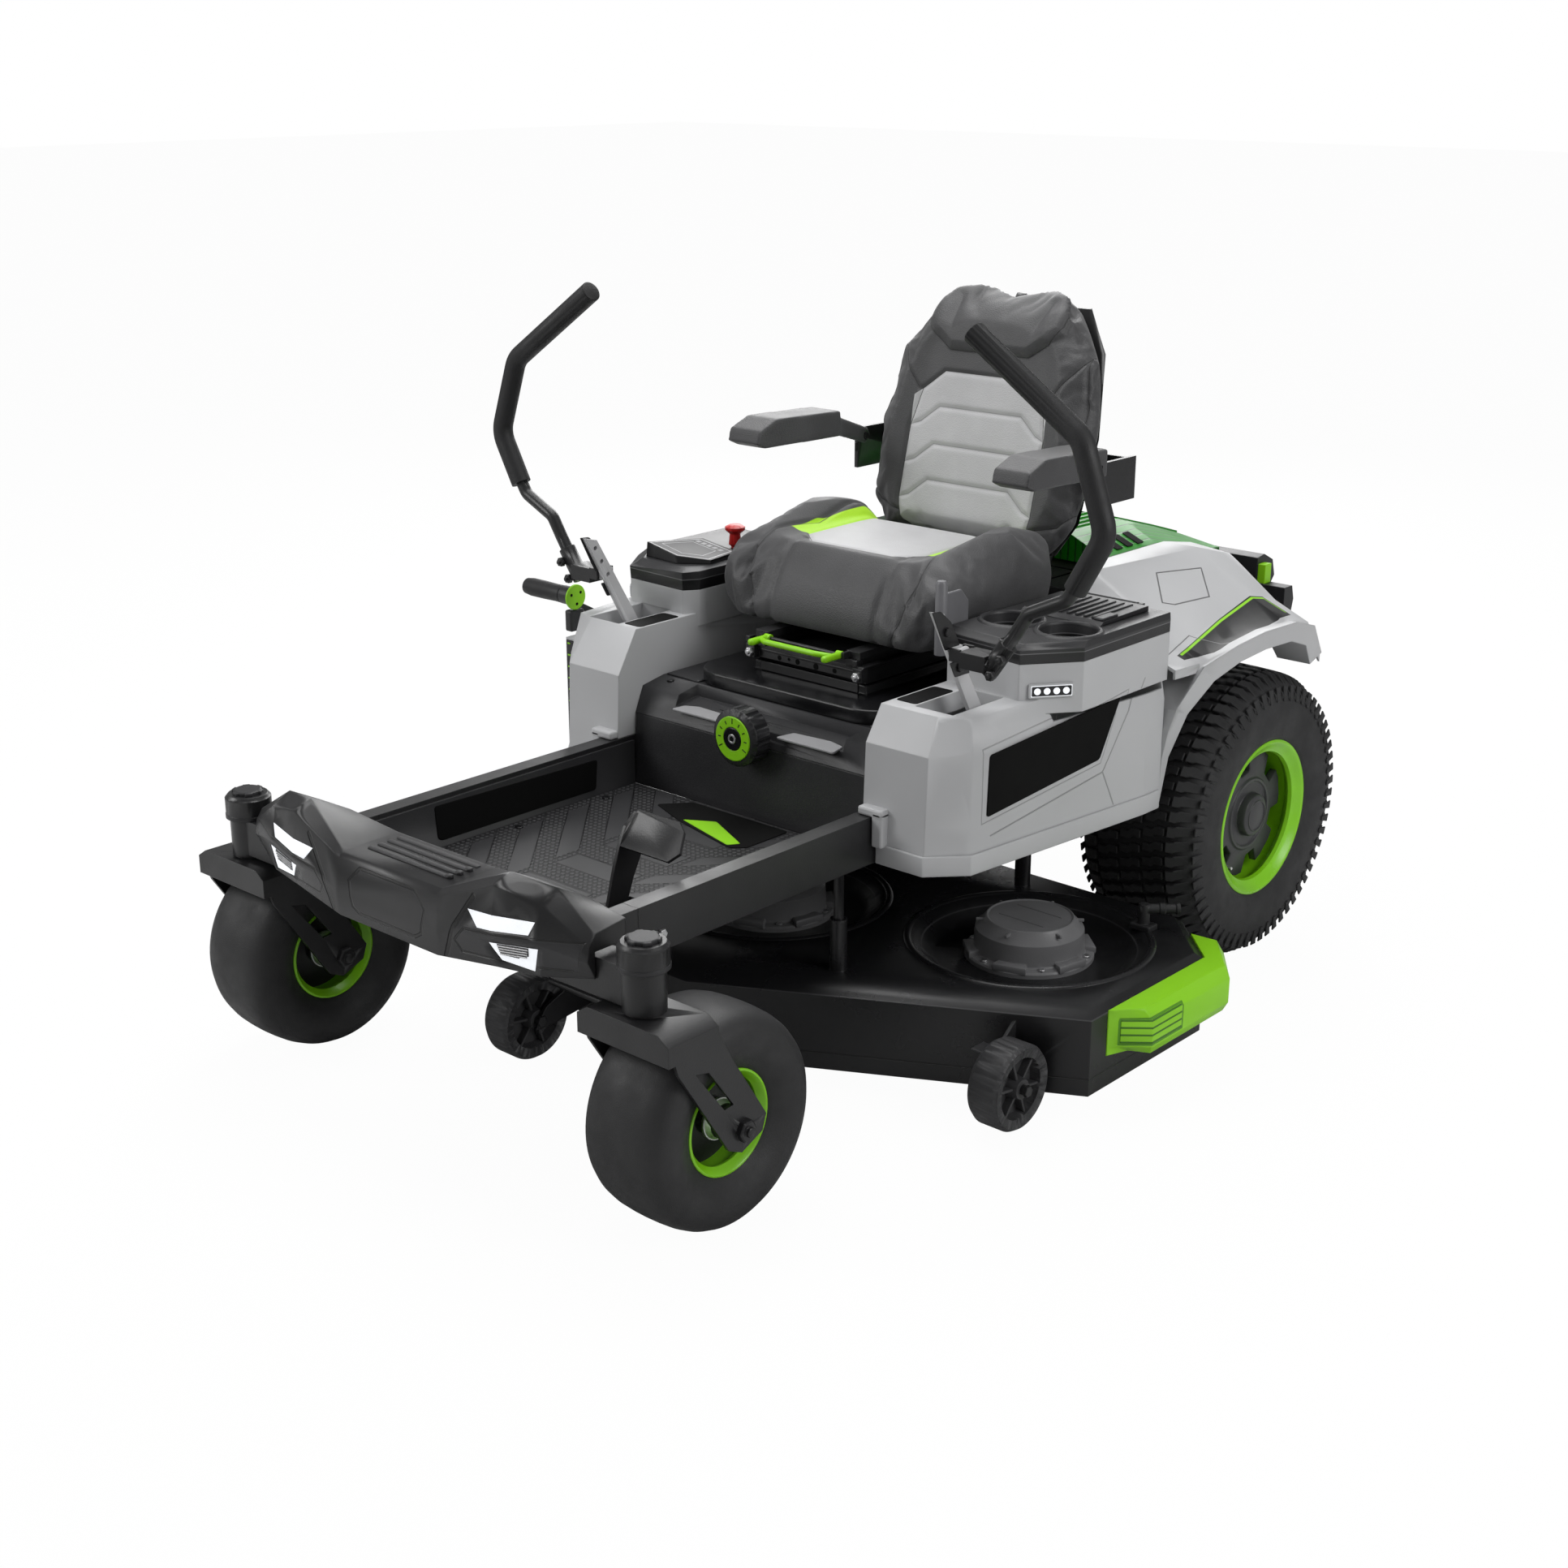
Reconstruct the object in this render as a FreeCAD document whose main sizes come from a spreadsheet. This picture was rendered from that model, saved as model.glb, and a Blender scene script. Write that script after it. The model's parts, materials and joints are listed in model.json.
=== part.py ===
"""Zero turn mower, built as a parametric FreeCAD document.

Millimetres. +Z is up, the machine faces -Y, and +X is the operator's left.
The origin is on the ground, under the middle of the machine's bounding box.
"""
import FreeCAD, Part
import math
import os
import re
import Sketcher
from FreeCAD import Placement, Rotation, Vector

os.makedirs("parts", exist_ok=True)
doc = FreeCAD.newDocument("zero_turn_mower")

# ---------------------------------------------------------------- sizes
# A text that starts with = is a size that follows others.
SIZES = {
    # clearances
    "seat_gap": 0.3, "run_gap": 0.06, "move_gap": 3.0,
    # wheels
    "rear_axle_y": 578.0, "rear_wheel_x": 439.0, "rear_tyre_r": 264.0, "arch_gap": 14.0,
    "rear_tyre_w": 242.0,
    "rear_rim_r": 137.5, "rear_rim_w": 226.0, "drive_shaft_r": 15.0,
    "caster_x": 450.0, "caster_y": -883.0, "caster_trail": 100.0,
    "front_tyre_r": 165.0, "front_tyre_w": 160.0, "front_rim_r": 80.0, "front_rim_w": 112.0,
    "axle_bolt_r": 9.5, "stem_r": 12.5,
    # caster fork
    "fork_leg_x": 82.0, "fork_leg_t": 6.0, "crown_top_z": 352.0, "crown_bottom_z": 335.0,
    "barrel_r": 31.0, "barrel_bottom_z": 355.0, "barrel_top_z": 440.0, "cap_r": 36.5, "cap_top_z": 456.0,
    "cap_skirt_z": 418.0,
    # frame
    "rail_in_x": 279.0, "rail_out_x": "=rail_in_x + 32", "rail_bottom_z": 345.5, "rail_top_z": 425.5,
    "rail_front_y": -758.0, "rail_rear_y": 700.0, "rail_wall": 4.0,
    "beam_front_y": -905.0, "beam_rear_y": -861.0, "beam_bottom_z": 360.0, "beam_top_z": 418.0,
    "shelf_front_y": 490.0, "shelf_top_z": 437.0, "shelf_t": 6.0,
    "drop_front_y": 500.0, "drop_rear_y": 656.0, "drop_bottom_z": 180.0, "drop_in_x": "=rail_in_x + 10",
    "drop_t": 10.0, "hitch_y": 775.0, "hitch_t": 8.0, "hitch_hole_r": 9.5, "hitch_half_x": 60.0,
    # front bumper
    "bumper_front_y": -965.0, "bumper_rear_y": -848.0, "bumper_half_x": 380.0, "bumper_wall": 9.0,
    "bumper_bottom_z": 362.0, "plateau_top_z": 460.0, "hump_top_z": 510.0, "hump_back_z": 471.0,
    "plateau_half_x": 112.0,
    "hump_in_x": 228.0, "hump_out_x": 305.0, "lens_depth": 8.0,
    # foot platform and pedal
    "floor_bottom_z": 333.0, "floor_t": 5.0, "floor_front_y": -858.0, "floor_side_top_z": 418.0,
    "mat_t": 6.0, "mat_half_x": "=rail_in_x - 17", "mat_front_y": -790.0,
    "pedal_x": 130.0, "pedal_t": 6.0, "pedal_pivot_y": -630.0, "pedal_pivot_z": 319.0,
    "pedal_pin_r": 5.0, "pedal_top_z": 484.0,
    # seat box and its cover
    "box_front_y": -195.0, "box_rear_y": 470.0, "box_top_z": 465.0, "box_wall": 4.0,
    "box_half_x": "=rail_in_x - seat_gap",
    "cover_half_x": "=pod_in_x - 0.6", "cover_front_z": 511.0, "cover_top_z": 520.0,
    "cover_front_y": -164.0,
    "knob_z": 487.0, "knob_r": 50.0, "knob_len": 42.0, "knob_spindle_r": 8.0,
    # seat and suspension
    "pan_half_x": 222.0, "pan_front_y": -112.0, "pan_rear_y": 330.0, "pan_h": 25.0, "pan_corner_r": 70.0,
    "tower_half_x": 128.0, "tower_front_y": -38.0, "tower_rear_y": 300.0,
    "tower_top_z": "=cover_top_z + 42",
    "slider_top_z": "=tower_top_z + 44", "slide_rail_x": "=tower_half_x - 24", "slide_rail_h": 12.0,
    "slide_pin_r": 3.0, "bar_pin_z": "=slider_top_z + 5.5",
    "seat_plate_t": 6.0, "cushion_half_x": 270.0, "cushion_front_y": -26.0, "cushion_rear_y": 372.0,
    "cushion_mid_z": "=slider_top_z + 126", "bolster_top_z": "=cushion_mid_z + 52",
    "back_half_x": 258.0, "back_low_y": 378.0, "back_low_z": 705.0, "back_lean": 0.27,
    "back_thick": 78.0, "back_top_z": 1172.0, "shell_t": 14.0,
    "arm_in_x": 284.0, "arm_out_x": 338.0, "arm_front_y": 116.0, "arm_rear_y": 364.0,
    "arm_bottom_z": 893.0, "arm_top_z": 944.0, "arm_pivot_y": 424.0, "arm_pivot_z": 880.0,
    "arm_pin_r": 7.0,
    # body pods
    "pod_in_x": "=rail_in_x + 3", "pod_bottom_z": 345.0, "pod_out_x": 502.0, "pod_wall": 4.0,
    "column_out_x": "=pod_out_x + 3",
    "pod_front_y": -230.0, "pod_crease_z": 540.0, "pod_top_z": 598.0, "pod_top_right_z": 614.0,
    "column_front_y": -14.0, "column_top_z": 657.0, "pod_rear_y": 300.0,
    "tray_h": 33.0, "tray_pin_r": 2.0, "switch_x": 360.0, "switch_y": 160.0, "cup_r": 48.0,
    "cup_wall": 3.0, "console_h": 36.7,
    # lap bars
    "lever_x": 388.0, "lever_t": 8.0, "lever_w": 28.0, "lever_pivot_y": -21.0, "lever_pivot_z": 470.0,
    "lever_top_z": 762.0, "lever_lean": 0.557, "lever_pin_r": 9.0, "bar_y": -141.0,
    "bar_hinge_x": 404.0, "bar_hinge_z": 692.0, "bar_pin_r": 4.5, "tube_r": 11.0, "grip_r": 18.0,
    # height of cut lever
    "height_x": "=pod_out_x + 10", "height_t": 8.0, "height_pivot_y": 120.0, "height_pivot_z": 470.0,
    "height_hub_y": -115.0, "height_hub_z": 625.0, "height_hub_r": 21.0,
    "scale_out_x": "=pod_out_x - 1.5", "scale_bottom_z": 352.0, "scale_top_z": 556.0,
    # rear body
    "lid_pin_z": 662.0, "lid_pin_r": 3.0, "lid_half_x": 262.0, "lid_front_y": 492.0,
    "lid_rear_y": 892.0, "tail_rear_y": 965.0,
    "battery_w": 130.0, "battery_l": 150.0, "battery_h": 200.0,
    # deck
    "deck_half_x": 698.0, "deck_corner_y": -172.0, "deck_nose_y": -484.0, "deck_nose_x": 130.0,
    "deck_rear_y": 262.0, "deck_bottom_z": 38.0, "deck_top_z": 178.0, "deck_wall": 4.0,
    "deck_travel": 76.0, "guide_r": 8.0,
    "spindle_x": "=deck_half_x - 250", "spindle_y": 10.0, "nose_spindle_y": -130.0,
    "well_r": 195.0, "well_floor_z": 150.0, "motor_r": 107.0, "motor_cap_z": 226.0,
    "blade_len": 436.0, "blade_w": 62.0, "blade_t": 5.0, "blade_z": 62.0, "spindle_r": 12.5,
    "roller_r": 70.0, "roller_w": 56.0, "roller_z": 80.0, "roller_pin_r": 8.0,
    "side_roller_x": "=deck_half_x - 70", "side_roller_y": -288.0, "nose_roller_x": 108.0,
    "nose_roller_y": -614.0,
    "guard_out_x": "=deck_half_x + 52", "guard_front_y": -128.0,
    "chute_front_y": -150.0, "chute_rear_y": 130.0, "chute_pin_r": 4.0, "chute_top_z": 160.0,
}

sheet = doc.addObject("Spreadsheet::Sheet", "Sizes")
for row, word in enumerate(SIZES, 1):
    sheet.set(f"A{row}", word)
    sheet.setAlias(f"B{row}", word)
for row, value in enumerate(SIZES.values(), 1):
    sheet.set(f"B{row}", str(value))
doc.recompute()

WORD = re.compile(r"\b([a-z]+_[a-z_]+)\b")


def size(word):
    """The number in the sheet's cell of that name."""
    return float(getattr(sheet, word))


def cell(text):
    """An expression in which each size's name is its cell in the sheet."""
    return WORD.sub(r"Sizes.\1", str(text))


# ---------------------------------------------------------------- feature helpers
NODES = {}


def node(name, obj):
    """Names a finished sub-part: its label is its file's name."""
    obj.Label = name
    NODES[name] = obj
    return obj


def place(obj, x="0", y="0", z="0"):
    for axis, value in zip("xyz", (x, y, z)):
        obj.setExpression(f".Placement.Base.{axis}", cell(value))


def flip(side, low, high):
    """The two ends of a stretch along X, on the left (1) or mirrored on the right (-1)."""
    return (low, high) if side > 0 else (f"-({high})", f"-({low})")


def block(name, x0, x1, y0, y1, z0, z1):
    box = doc.addObject("Part::Box", name)
    box.setExpression("Length", cell(f"({x1}) - ({x0})"))
    box.setExpression("Width", cell(f"({y1}) - ({y0})"))
    box.setExpression("Height", cell(f"({z1}) - ({z0})"))
    place(box, x0, y0, z0)
    return box


TURN = {"X": Rotation(Vector(0, 1, 0), 90), "Y": Rotation(Vector(1, 0, 0), -90), "Z": Rotation()}


def rod(name, axis, radius, start, end, u, v):
    """A cylinder along an axis; u and v are its centre in the other two axes, in order."""
    pin = doc.addObject("Part::Cylinder", name)
    pin.setExpression("Radius", cell(radius))
    pin.setExpression("Height", cell(f"({end}) - ({start})"))
    pin.Placement = Placement(Vector(), TURN[axis])
    centre = {"X": (start, u, v), "Y": (u, start, v), "Z": (u, v, start)}[axis]
    place(pin, *centre)
    return pin


def origin_plane(body, role):
    return next(f for f in body.Origin.OriginFeatures if f.Role == role)


def profile(body, name, role, points):
    """A closed sketch of straight edges; every corner's place is an expression."""
    sketch = body.newObject("Sketcher::SketchObject", name)
    sketch.AttachmentSupport = [(origin_plane(body, role), "")]
    sketch.MapMode = "FlatFace"
    count = len(points)
    start = [Vector(9 * math.cos(2 * math.pi * k / count), 9 * math.sin(2 * math.pi * k / count), 0)
             for k in range(count)]
    for k in range(count):
        sketch.addGeometry(Part.LineSegment(start[k], start[(k + 1) % count]), False)
    for k in range(count):
        sketch.addConstraint(Sketcher.Constraint("Coincident", k, 2, (k + 1) % count, 1))
    for k, (u, v) in enumerate(points):
        for kind, value, at in (("DistanceX", u, start[k].x), ("DistanceY", v, start[k].y)):
            index = sketch.addConstraint(Sketcher.Constraint(kind, -1, 1, k, 1, at))
            sketch.setExpression(f"Constraints[{index}]", cell(value))
    return sketch


def prism(name, role, points, low, high):
    """A body padded from low to high along the plane's axis, X, Y or Z."""
    body = doc.addObject("PartDesign::Body", name)
    sketch = profile(body, name + "_profile", role, points)
    pad = body.newObject("PartDesign::Pad", name + "_pad")
    pad.Profile = sketch
    pad.setExpression("Length", cell(f"({high}) - ({low})"))
    offset = f"-({high})" if role == "XZ_Plane" else low
    sketch.setExpression(".AttachmentOffset.Base.z", cell(offset))
    body.Tip = pad
    return body


def turned(name, axis, points, x="0", y="0", z="0"):
    """A body turned about an axis; points are (radius, place along the axis)."""
    body = doc.addObject("PartDesign::Body", name)
    sketch = profile(body, name + "_profile", "XZ_Plane", points)
    lathe = body.newObject("PartDesign::Revolution", name + "_lathe")
    lathe.Profile = sketch
    lathe.ReferenceAxis = (sketch, ["V_Axis"])
    lathe.Angle = 360.0
    body.Tip = lathe
    body.Placement = Placement(Vector(), TURN[axis])
    place(body, x, y, z)
    return body


def cut(name, base, *tools):
    for step, tool in enumerate(tools):
        feature = doc.addObject("Part::Cut", f"{name}_cut{step}")
        feature.Base = base
        feature.Tool = tool
        base = feature
    return base


def fuse(name, *parts):
    feature = doc.addObject("Part::MultiFuse", name + "_fuse")
    feature.Shapes = list(parts)
    return feature


def group(name, *parts):
    feature = doc.addObject("Part::Compound", name + "_group")
    feature.Links = list(parts)
    return feature


def common(name, *parts):
    feature = doc.addObject("Part::MultiCommon", name + "_common")
    feature.Shapes = list(parts)
    return feature


def mirrored(name, source):
    """The same piece on the other side of the machine's middle plane."""
    feature = doc.addObject("Part::Mirroring", name + "_mirror")
    feature.Source = source
    feature.Normal = Vector(1, 0, 0)
    return feature


def solid(name, shape):
    """A feature for a lofted or piped form."""
    feature = doc.addObject("Part::Feature", name)
    feature.Shape = shape
    feature.Placement = shape.Placement
    return feature


def loft(sections):
    """A ruled solid through closed sections, each a list of corners."""
    wires = [Part.makePolygon([Vector(*p) for p in s + s[:1]]) for s in sections]
    return Part.makeLoft(wires, True, True)


def tube(points, radius, bend):
    """A round bar along straight runs joined by arcs of the bend radius."""
    corners = [Vector(*p) for p in points]
    edges = []
    start = corners[0]
    for before, corner, after in zip(corners, corners[1:], corners[2:]):
        back = (before - corner).normalize()
        ahead = (after - corner).normalize()
        half = back.getAngle(ahead) / 2
        reach = bend / math.tan(half)
        middle = (back + ahead).normalize() * (bend / math.sin(half) - bend)
        edges.append(Part.LineSegment(start, corner + back * reach).toShape())
        edges.append(Part.Arc(corner + back * reach, corner + middle, corner + ahead * reach).toShape())
        start = corner + ahead * reach
    edges.append(Part.LineSegment(start, corners[-1]).toShape())
    path = Part.Wire(edges)
    ring = Part.Wire([Part.makeCircle(radius, corners[0], corners[1] - corners[0])])
    return path.makePipeShell([ring], True, True)


# ---------------------------------------------------------------- frame
def make_main_frame():
    """Welded frame: two box rails with motor plates and lever brackets, the battery shelf and the hitch."""
    sides = []
    for side in (1, -1):
        tag = "left" if side > 0 else "right"
        x0, x1 = flip(side, "rail_in_x", "rail_out_x")
        h0, h1 = flip(side, "rail_in_x + rail_wall", "rail_out_x - rail_wall")
        p0, p1 = flip(side, "drop_in_x", "drop_in_x + drop_t")
        outer = block(f"rail_{tag}", x0, x1, "rail_front_y", "rail_rear_y", "rail_bottom_z", "rail_top_z")
        hollow = block(f"rail_{tag}_hollow", h0, h1, "rail_front_y - 1", "rail_rear_y + 1",
                       "rail_bottom_z + rail_wall", "rail_top_z - rail_wall")
        plate = block(f"rail_{tag}_plate", p0, p1, "drop_front_y", "drop_rear_y",
                      "drop_bottom_z", "rail_bottom_z + 1")
        shaft = rod(f"rail_{tag}_bore", "X", "drive_shaft_r + move_gap", f"{p0} - 1", f"{p1} + 1",
                    "rear_axle_y", "rear_tyre_r")
        tube_rail = cut(f"rail_{tag}", outer, hollow)
        sides.append(cut(f"rail_{tag}_done", fuse(f"rail_{tag}", tube_rail, plate), shaft))
    body = fuse("main_frame", *sides, *lever_brackets(), *shelf_parts(), *deck_guides())
    hole = rod("hitch_hole", "Z", "hitch_hole_r", "rail_bottom_z - 1", "rail_bottom_z + hitch_t + 1",
               "0", "hitch_y")
    node("main_frame", cut("main_frame", body, hole))


def lever_brackets():
    """Feet on the rails that carry the drive levers' pivot pins."""
    parts = []
    for side in (1, -1):
        f0, f1 = flip(side, "rail_out_x - 14", "lever_x - lever_t / 2 - 1.2")
        parts.append(block(f"bracket_foot{side}", f0, f1, "lever_pivot_y - 24", "lever_pivot_y + 24",
                           "rail_top_z - 1", "rail_top_z + 8"))
        u0, u1 = flip(side, "lever_x - lever_t / 2 - 9", "lever_x - lever_t / 2 - 1.2")
        parts.append(block(f"bracket_wall{side}", u0, u1, "lever_pivot_y - 24", "lever_pivot_y + 24",
                           "rail_top_z + 7", "lever_pivot_z + 22"))
        p0, p1 = flip(side, "lever_x - lever_t / 2 - 2", "lever_x + lever_t / 2 + 6")
        parts.append(rod(f"bracket_pin{side}", "X", "lever_pin_r", p0, p1, "lever_pivot_y",
                         "lever_pivot_z"))
    return parts


def deck_guides():
    """Pins below the rails on which the deck's sleeves slide up and down."""
    low = "deck_top_z + deck_travel + 2"
    return [rod(f"guide{k}", "Z", "guide_r", low, "rail_bottom_z + 1", str(x), str(y))
            for k, (x, y) in enumerate(guide_places())]


def shelf_parts():
    """Battery shelf across the rails, with the cross plate and hitch tongue behind it."""
    return [
        block("shelf", "-(rail_out_x)", "rail_out_x", "shelf_front_y", "rail_rear_y + 120",
              "rail_top_z - 0.5", "rail_top_z + seat_gap + shelf_t"),
        block("shelf_drop", "-(rail_in_x + 1)", "rail_in_x + 1", "rail_rear_y - 40",
              "rail_rear_y - 40 + hitch_t", "rail_bottom_z", "rail_top_z + 2"),
        block("hitch", "-(hitch_half_x)", "hitch_half_x", "rail_rear_y - 40", "hitch_y + 40",
              "rail_bottom_z", "rail_bottom_z + hitch_t")]


def make_front_beam():
    """Cross beam with the two caster barrels and the stubs that plug into the rails."""
    parts = [block("beam", "-(caster_x)", "caster_x", "beam_front_y", "beam_rear_y",
                   "beam_bottom_z", "beam_top_z")]
    bores = []
    for side in (1, -1):
        tag = "left" if side > 0 else "right"
        sign = "" if side > 0 else "-"
        parts.append(rod(f"barrel_{tag}", "Z", "barrel_r", "barrel_bottom_z", "barrel_top_z",
                         f"{sign}caster_x", "caster_y"))
        x0, x1 = flip(side, "rail_in_x", "rail_out_x")
        parts.append(block(f"stub_{tag}", x0, x1, "beam_rear_y - 1", "rail_front_y - seat_gap",
                           "beam_bottom_z", "rail_top_z"))
        t0, t1 = flip(side, "rail_in_x + rail_wall + seat_gap", "rail_out_x - rail_wall - seat_gap")
        parts.append(block(f"tongue_{tag}", t0, t1, "rail_front_y - 1", "rail_front_y + 60",
                           "beam_bottom_z", "rail_top_z - rail_wall - seat_gap"))
        bores.append(rod(f"barrel_{tag}_bore", "Z", "stem_r + run_gap", "barrel_bottom_z - 1",
                         "barrel_top_z + 1", f"{sign}caster_x", "caster_y"))
    return cut("front_beam", fuse("front_beam", *parts), *bores)


def make_front():
    """The front beam with the dust caps over the top of its caster barrels."""
    caps = [make_front_beam()]
    for sign in ("", "-"):
        caps.append(turned(f"cap{sign}", "Z", [
            ("0", "cap_top_z"), ("cap_r - 5", "cap_top_z"), ("cap_r", "cap_top_z - 6"),
            ("cap_r", "cap_skirt_z + seat_gap"), ("barrel_r + seat_gap", "cap_skirt_z + seat_gap"),
            ("barrel_r + seat_gap", "cap_top_z - 4"), ("0", "cap_top_z - 4")], f"{sign}caster_x", "caster_y"))
    node("front_beam", group("front_beam", *caps))


def make_drive_motors():
    """Gear motors bolted to the inside of the rail plates, with their shafts."""
    motors = []
    for side in (1, -1):
        axis_x = "drop_in_x - seat_gap"
        points = [("0", "-150"), ("58", "-150"), ("58", "-45"), ("74", "-40"), ("74", "0"),
                  ("drive_shaft_r", "0"), ("drive_shaft_r", "rear_wheel_x + 20 - drop_in_x"),
                  ("0", "rear_wheel_x + 20 - drop_in_x")]
        if side < 0:
            points = [(r, f"-({h})") for r, h in points]
        sign = "" if side > 0 else "-"
        motors.append(turned(f"drive_motor{side}", "X", points, f"{sign}({axis_x})",
                             "rear_axle_y", "rear_tyre_r"))
    node("drive_motors", group("drive_motors", *motors))


# ---------------------------------------------------------------- bumper and lamps
def bumper_sections(inset):
    """Outlines of the bumper from one end to the other, pulled in by the inset."""
    front, rear = size("bumper_front_y") + inset, size("bumper_rear_y") + inset * 0.2
    low, plateau, hump = size("bumper_bottom_z"), size("plateau_top_z") - inset, size("hump_top_z") - inset
    back = size("hump_back_z") - inset
    ends = [
        (size("plateau_half_x"), (2, low), (0, 400), (6, plateau - 8), (16, plateau), plateau + 2),
        (size("hump_in_x"), (14, low + 12), (4, 424), (14, hump - 16), (46, hump - 3), back),
        (size("hump_out_x"), (26, low + 16), (20, 428), (30, hump - 28), (62, hump - 12), back - 2),
        (size("bumper_half_x") - inset, (58, low + 24), (44, 414), (48, plateau - 24),
         (60, plateau - 8), plateau - 2),
    ]
    full = [(-e[0],) + e[1:] for e in reversed(ends)] + ends
    return [[(x, front + a[0], a[1]), (x, front + b[0], b[1]), (x, front + c[0], c[1]),
             (x, front + d[0], d[1]), (x, rear, top), (x, rear, a[1])]
            for x, a, b, c, d, top in full]


def make_bumper():
    """Moulded front bumper, hollow behind, with the lamp lenses let into its face."""
    outer = loft(bumper_sections(0))
    inner = loft(bumper_sections(size("bumper_wall")))
    slack = size("move_gap") / 2
    room_top = size("beam_top_z") + 7.8
    room = Part.makeBox(2 * size("caster_x"), 200, 200,
                        Vector(-size("caster_x"), size("beam_front_y") - slack, room_top - 200))
    low_room = Part.makeBox(2 * size("bumper_half_x") + 20, 300, 60,
                            Vector(-size("bumper_half_x") - 10, size("beam_front_y") - slack,
                                  size("bumper_bottom_z") - 62))
    skin = outer.cut(outer.translated(Vector(0, size("lens_depth"), 0)))
    lenses = []
    for side in (1, -1):
        for outline in LAMP_OUTLINES:
            corners = [Vector(side * x, size("bumper_front_y") - 40, z) for x, z in outline]
            face = Part.Face(Part.makePolygon(corners + corners[:1]))
            lenses.append(face.extrude(Vector(0, 130, 0)).common(skin))
    shell = outer.cut(inner).cut(room).cut(low_room)
    for lens in lenses:
        shell = shell.cut(lens)
    depth = size("beam_front_y") - size("seat_gap") - size("bumper_front_y")
    for side in (1, -1):
        boss = Part.makeBox(44, depth, 38, Vector(side * 142 - 22, size("bumper_front_y"),
                                                  size("bumper_bottom_z") + 14))
        shell = shell.fuse(boss.common(outer))
    node("front_bumper", solid("front_bumper", shell))
    return lenses


LAMP_OUTLINES = (
    ((178.0, 450.0), (299.0, 457.0), (290.0, 437.0), (199.0, 428.0)),
    ((222.0, 412.0), (306.0, 420.0), (296.0, 384.0), (240.0, 388.0)),
)


# ---------------------------------------------------------------- floor and pedal
def make_floor():
    """Folded floor pan between the rails, and the rubber mat on it."""
    half = "rail_in_x - seat_gap"
    tray = prism("floor_pan", "XZ_Plane", [
        (f"-({half})", "floor_bottom_z"), (half, "floor_bottom_z"), (half, "floor_side_top_z"),
        (f"{half} - floor_t", "floor_side_top_z"), (f"{half} - floor_t", "floor_bottom_z + floor_t"),
        (f"-({half} - floor_t)", "floor_bottom_z + floor_t"), (f"-({half} - floor_t)", "floor_side_top_z"),
        (f"-({half})", "floor_side_top_z")], "floor_front_y", "box_front_y - seat_gap")
    opening = block("floor_slot", "pedal_x - pedal_t - 1", "pedal_x + pedal_t + 1", "pedal_pivot_y - 48",
                    "pedal_pivot_y + 36", "floor_bottom_z - 1", "floor_bottom_z + floor_t + 1")
    node("foot_platform", cut("foot_platform", fuse("foot_platform", tray, *pedal_ears()), opening))
    mat = prism("mat", "XY_Plane", [
        ("-mat_half_x", "mat_front_y"), ("mat_half_x", "mat_front_y"), ("mat_half_x", "box_front_y - 14"),
        ("-mat_half_x", "box_front_y - 14")], "floor_bottom_z + floor_t", "floor_bottom_z + floor_t + mat_t")
    slot = block("mat_slot", "pedal_x - pedal_t - 3", "pedal_x + pedal_t + 3", "pedal_pivot_y - 50",
                 "pedal_pivot_y + 38", "floor_bottom_z + floor_t - 1", "floor_bottom_z + floor_t + mat_t + 1")
    node("floor_mat", cut("floor_mat", mat, slot))


def pedal_ears():
    """Two ears welded under the floor pan, and the pin across them."""
    ears = []
    for tag, low, high in (("inner", "pedal_x - 13", "pedal_x - 8"),
                           ("outer", "pedal_x + 8", "pedal_x + 13")):
        ears.append(prism(f"ear_{tag}", "YZ_Plane", [
            ("pedal_pivot_y - 11", "pedal_pivot_z - 11"), ("pedal_pivot_y + 11", "pedal_pivot_z - 11"),
            ("pedal_pivot_y + 18", "floor_bottom_z + 1"), ("pedal_pivot_y - 18", "floor_bottom_z + 1")],
            low, high))
    pin = rod("pedal_pin", "X", "pedal_pin_r", "pedal_x - 9", "pedal_x + 9", "pedal_pivot_y",
              "pedal_pivot_z")
    return [*ears, pin]


def make_pedal():
    """Deck lift pedal: a curved plate on the pin below the floor, with a foot pad across its top."""
    arm = prism("pedal_arm", "YZ_Plane", [
        ("pedal_pivot_y - 9", "pedal_pivot_z - 9"), ("pedal_pivot_y + 9", "pedal_pivot_z - 9"),
        ("pedal_pivot_y + 22", "pedal_pivot_z + 26"), ("pedal_pivot_y + 36", "pedal_pivot_z + 62"),
        ("pedal_pivot_y + 54", "pedal_pivot_z + 96"), ("pedal_pivot_y + 56", "pedal_top_z - 6"),
        ("pedal_pivot_y + 44", "pedal_top_z - 2"), ("pedal_pivot_y + 22", "pedal_top_z - 18"),
        ("pedal_pivot_y + 8", "pedal_top_z - 46"), ("pedal_pivot_y - 6", "pedal_top_z - 88"),
        ("pedal_pivot_y - 20", "pedal_pivot_z + 26")],
        "pedal_x - pedal_t / 2", "pedal_x + pedal_t / 2")
    pad = prism("pedal_pad", "XY_Plane", [
        ("-pedal_t / 2", "0"), ("104", "0"), ("118", "18"), ("104", "52"), ("86", "64.5"),
        ("-pedal_t / 2", "64.5")], "-5.6", "0")
    pad.Placement = Placement(Vector(), Rotation(Vector(1, 0, 0), 45.6))
    place(pad, "pedal_x", "pedal_pivot_y + 8", "pedal_top_z - 46")
    bore = rod("pedal_bore", "X", "pedal_pin_r + run_gap", "pedal_x - pedal_t", "pedal_x + pedal_t",
               "pedal_pivot_y", "pedal_pivot_z")
    node("deck_lift_pedal", cut("deck_lift_pedal", fuse("deck_lift_pedal", arm, pad), bore))


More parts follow.
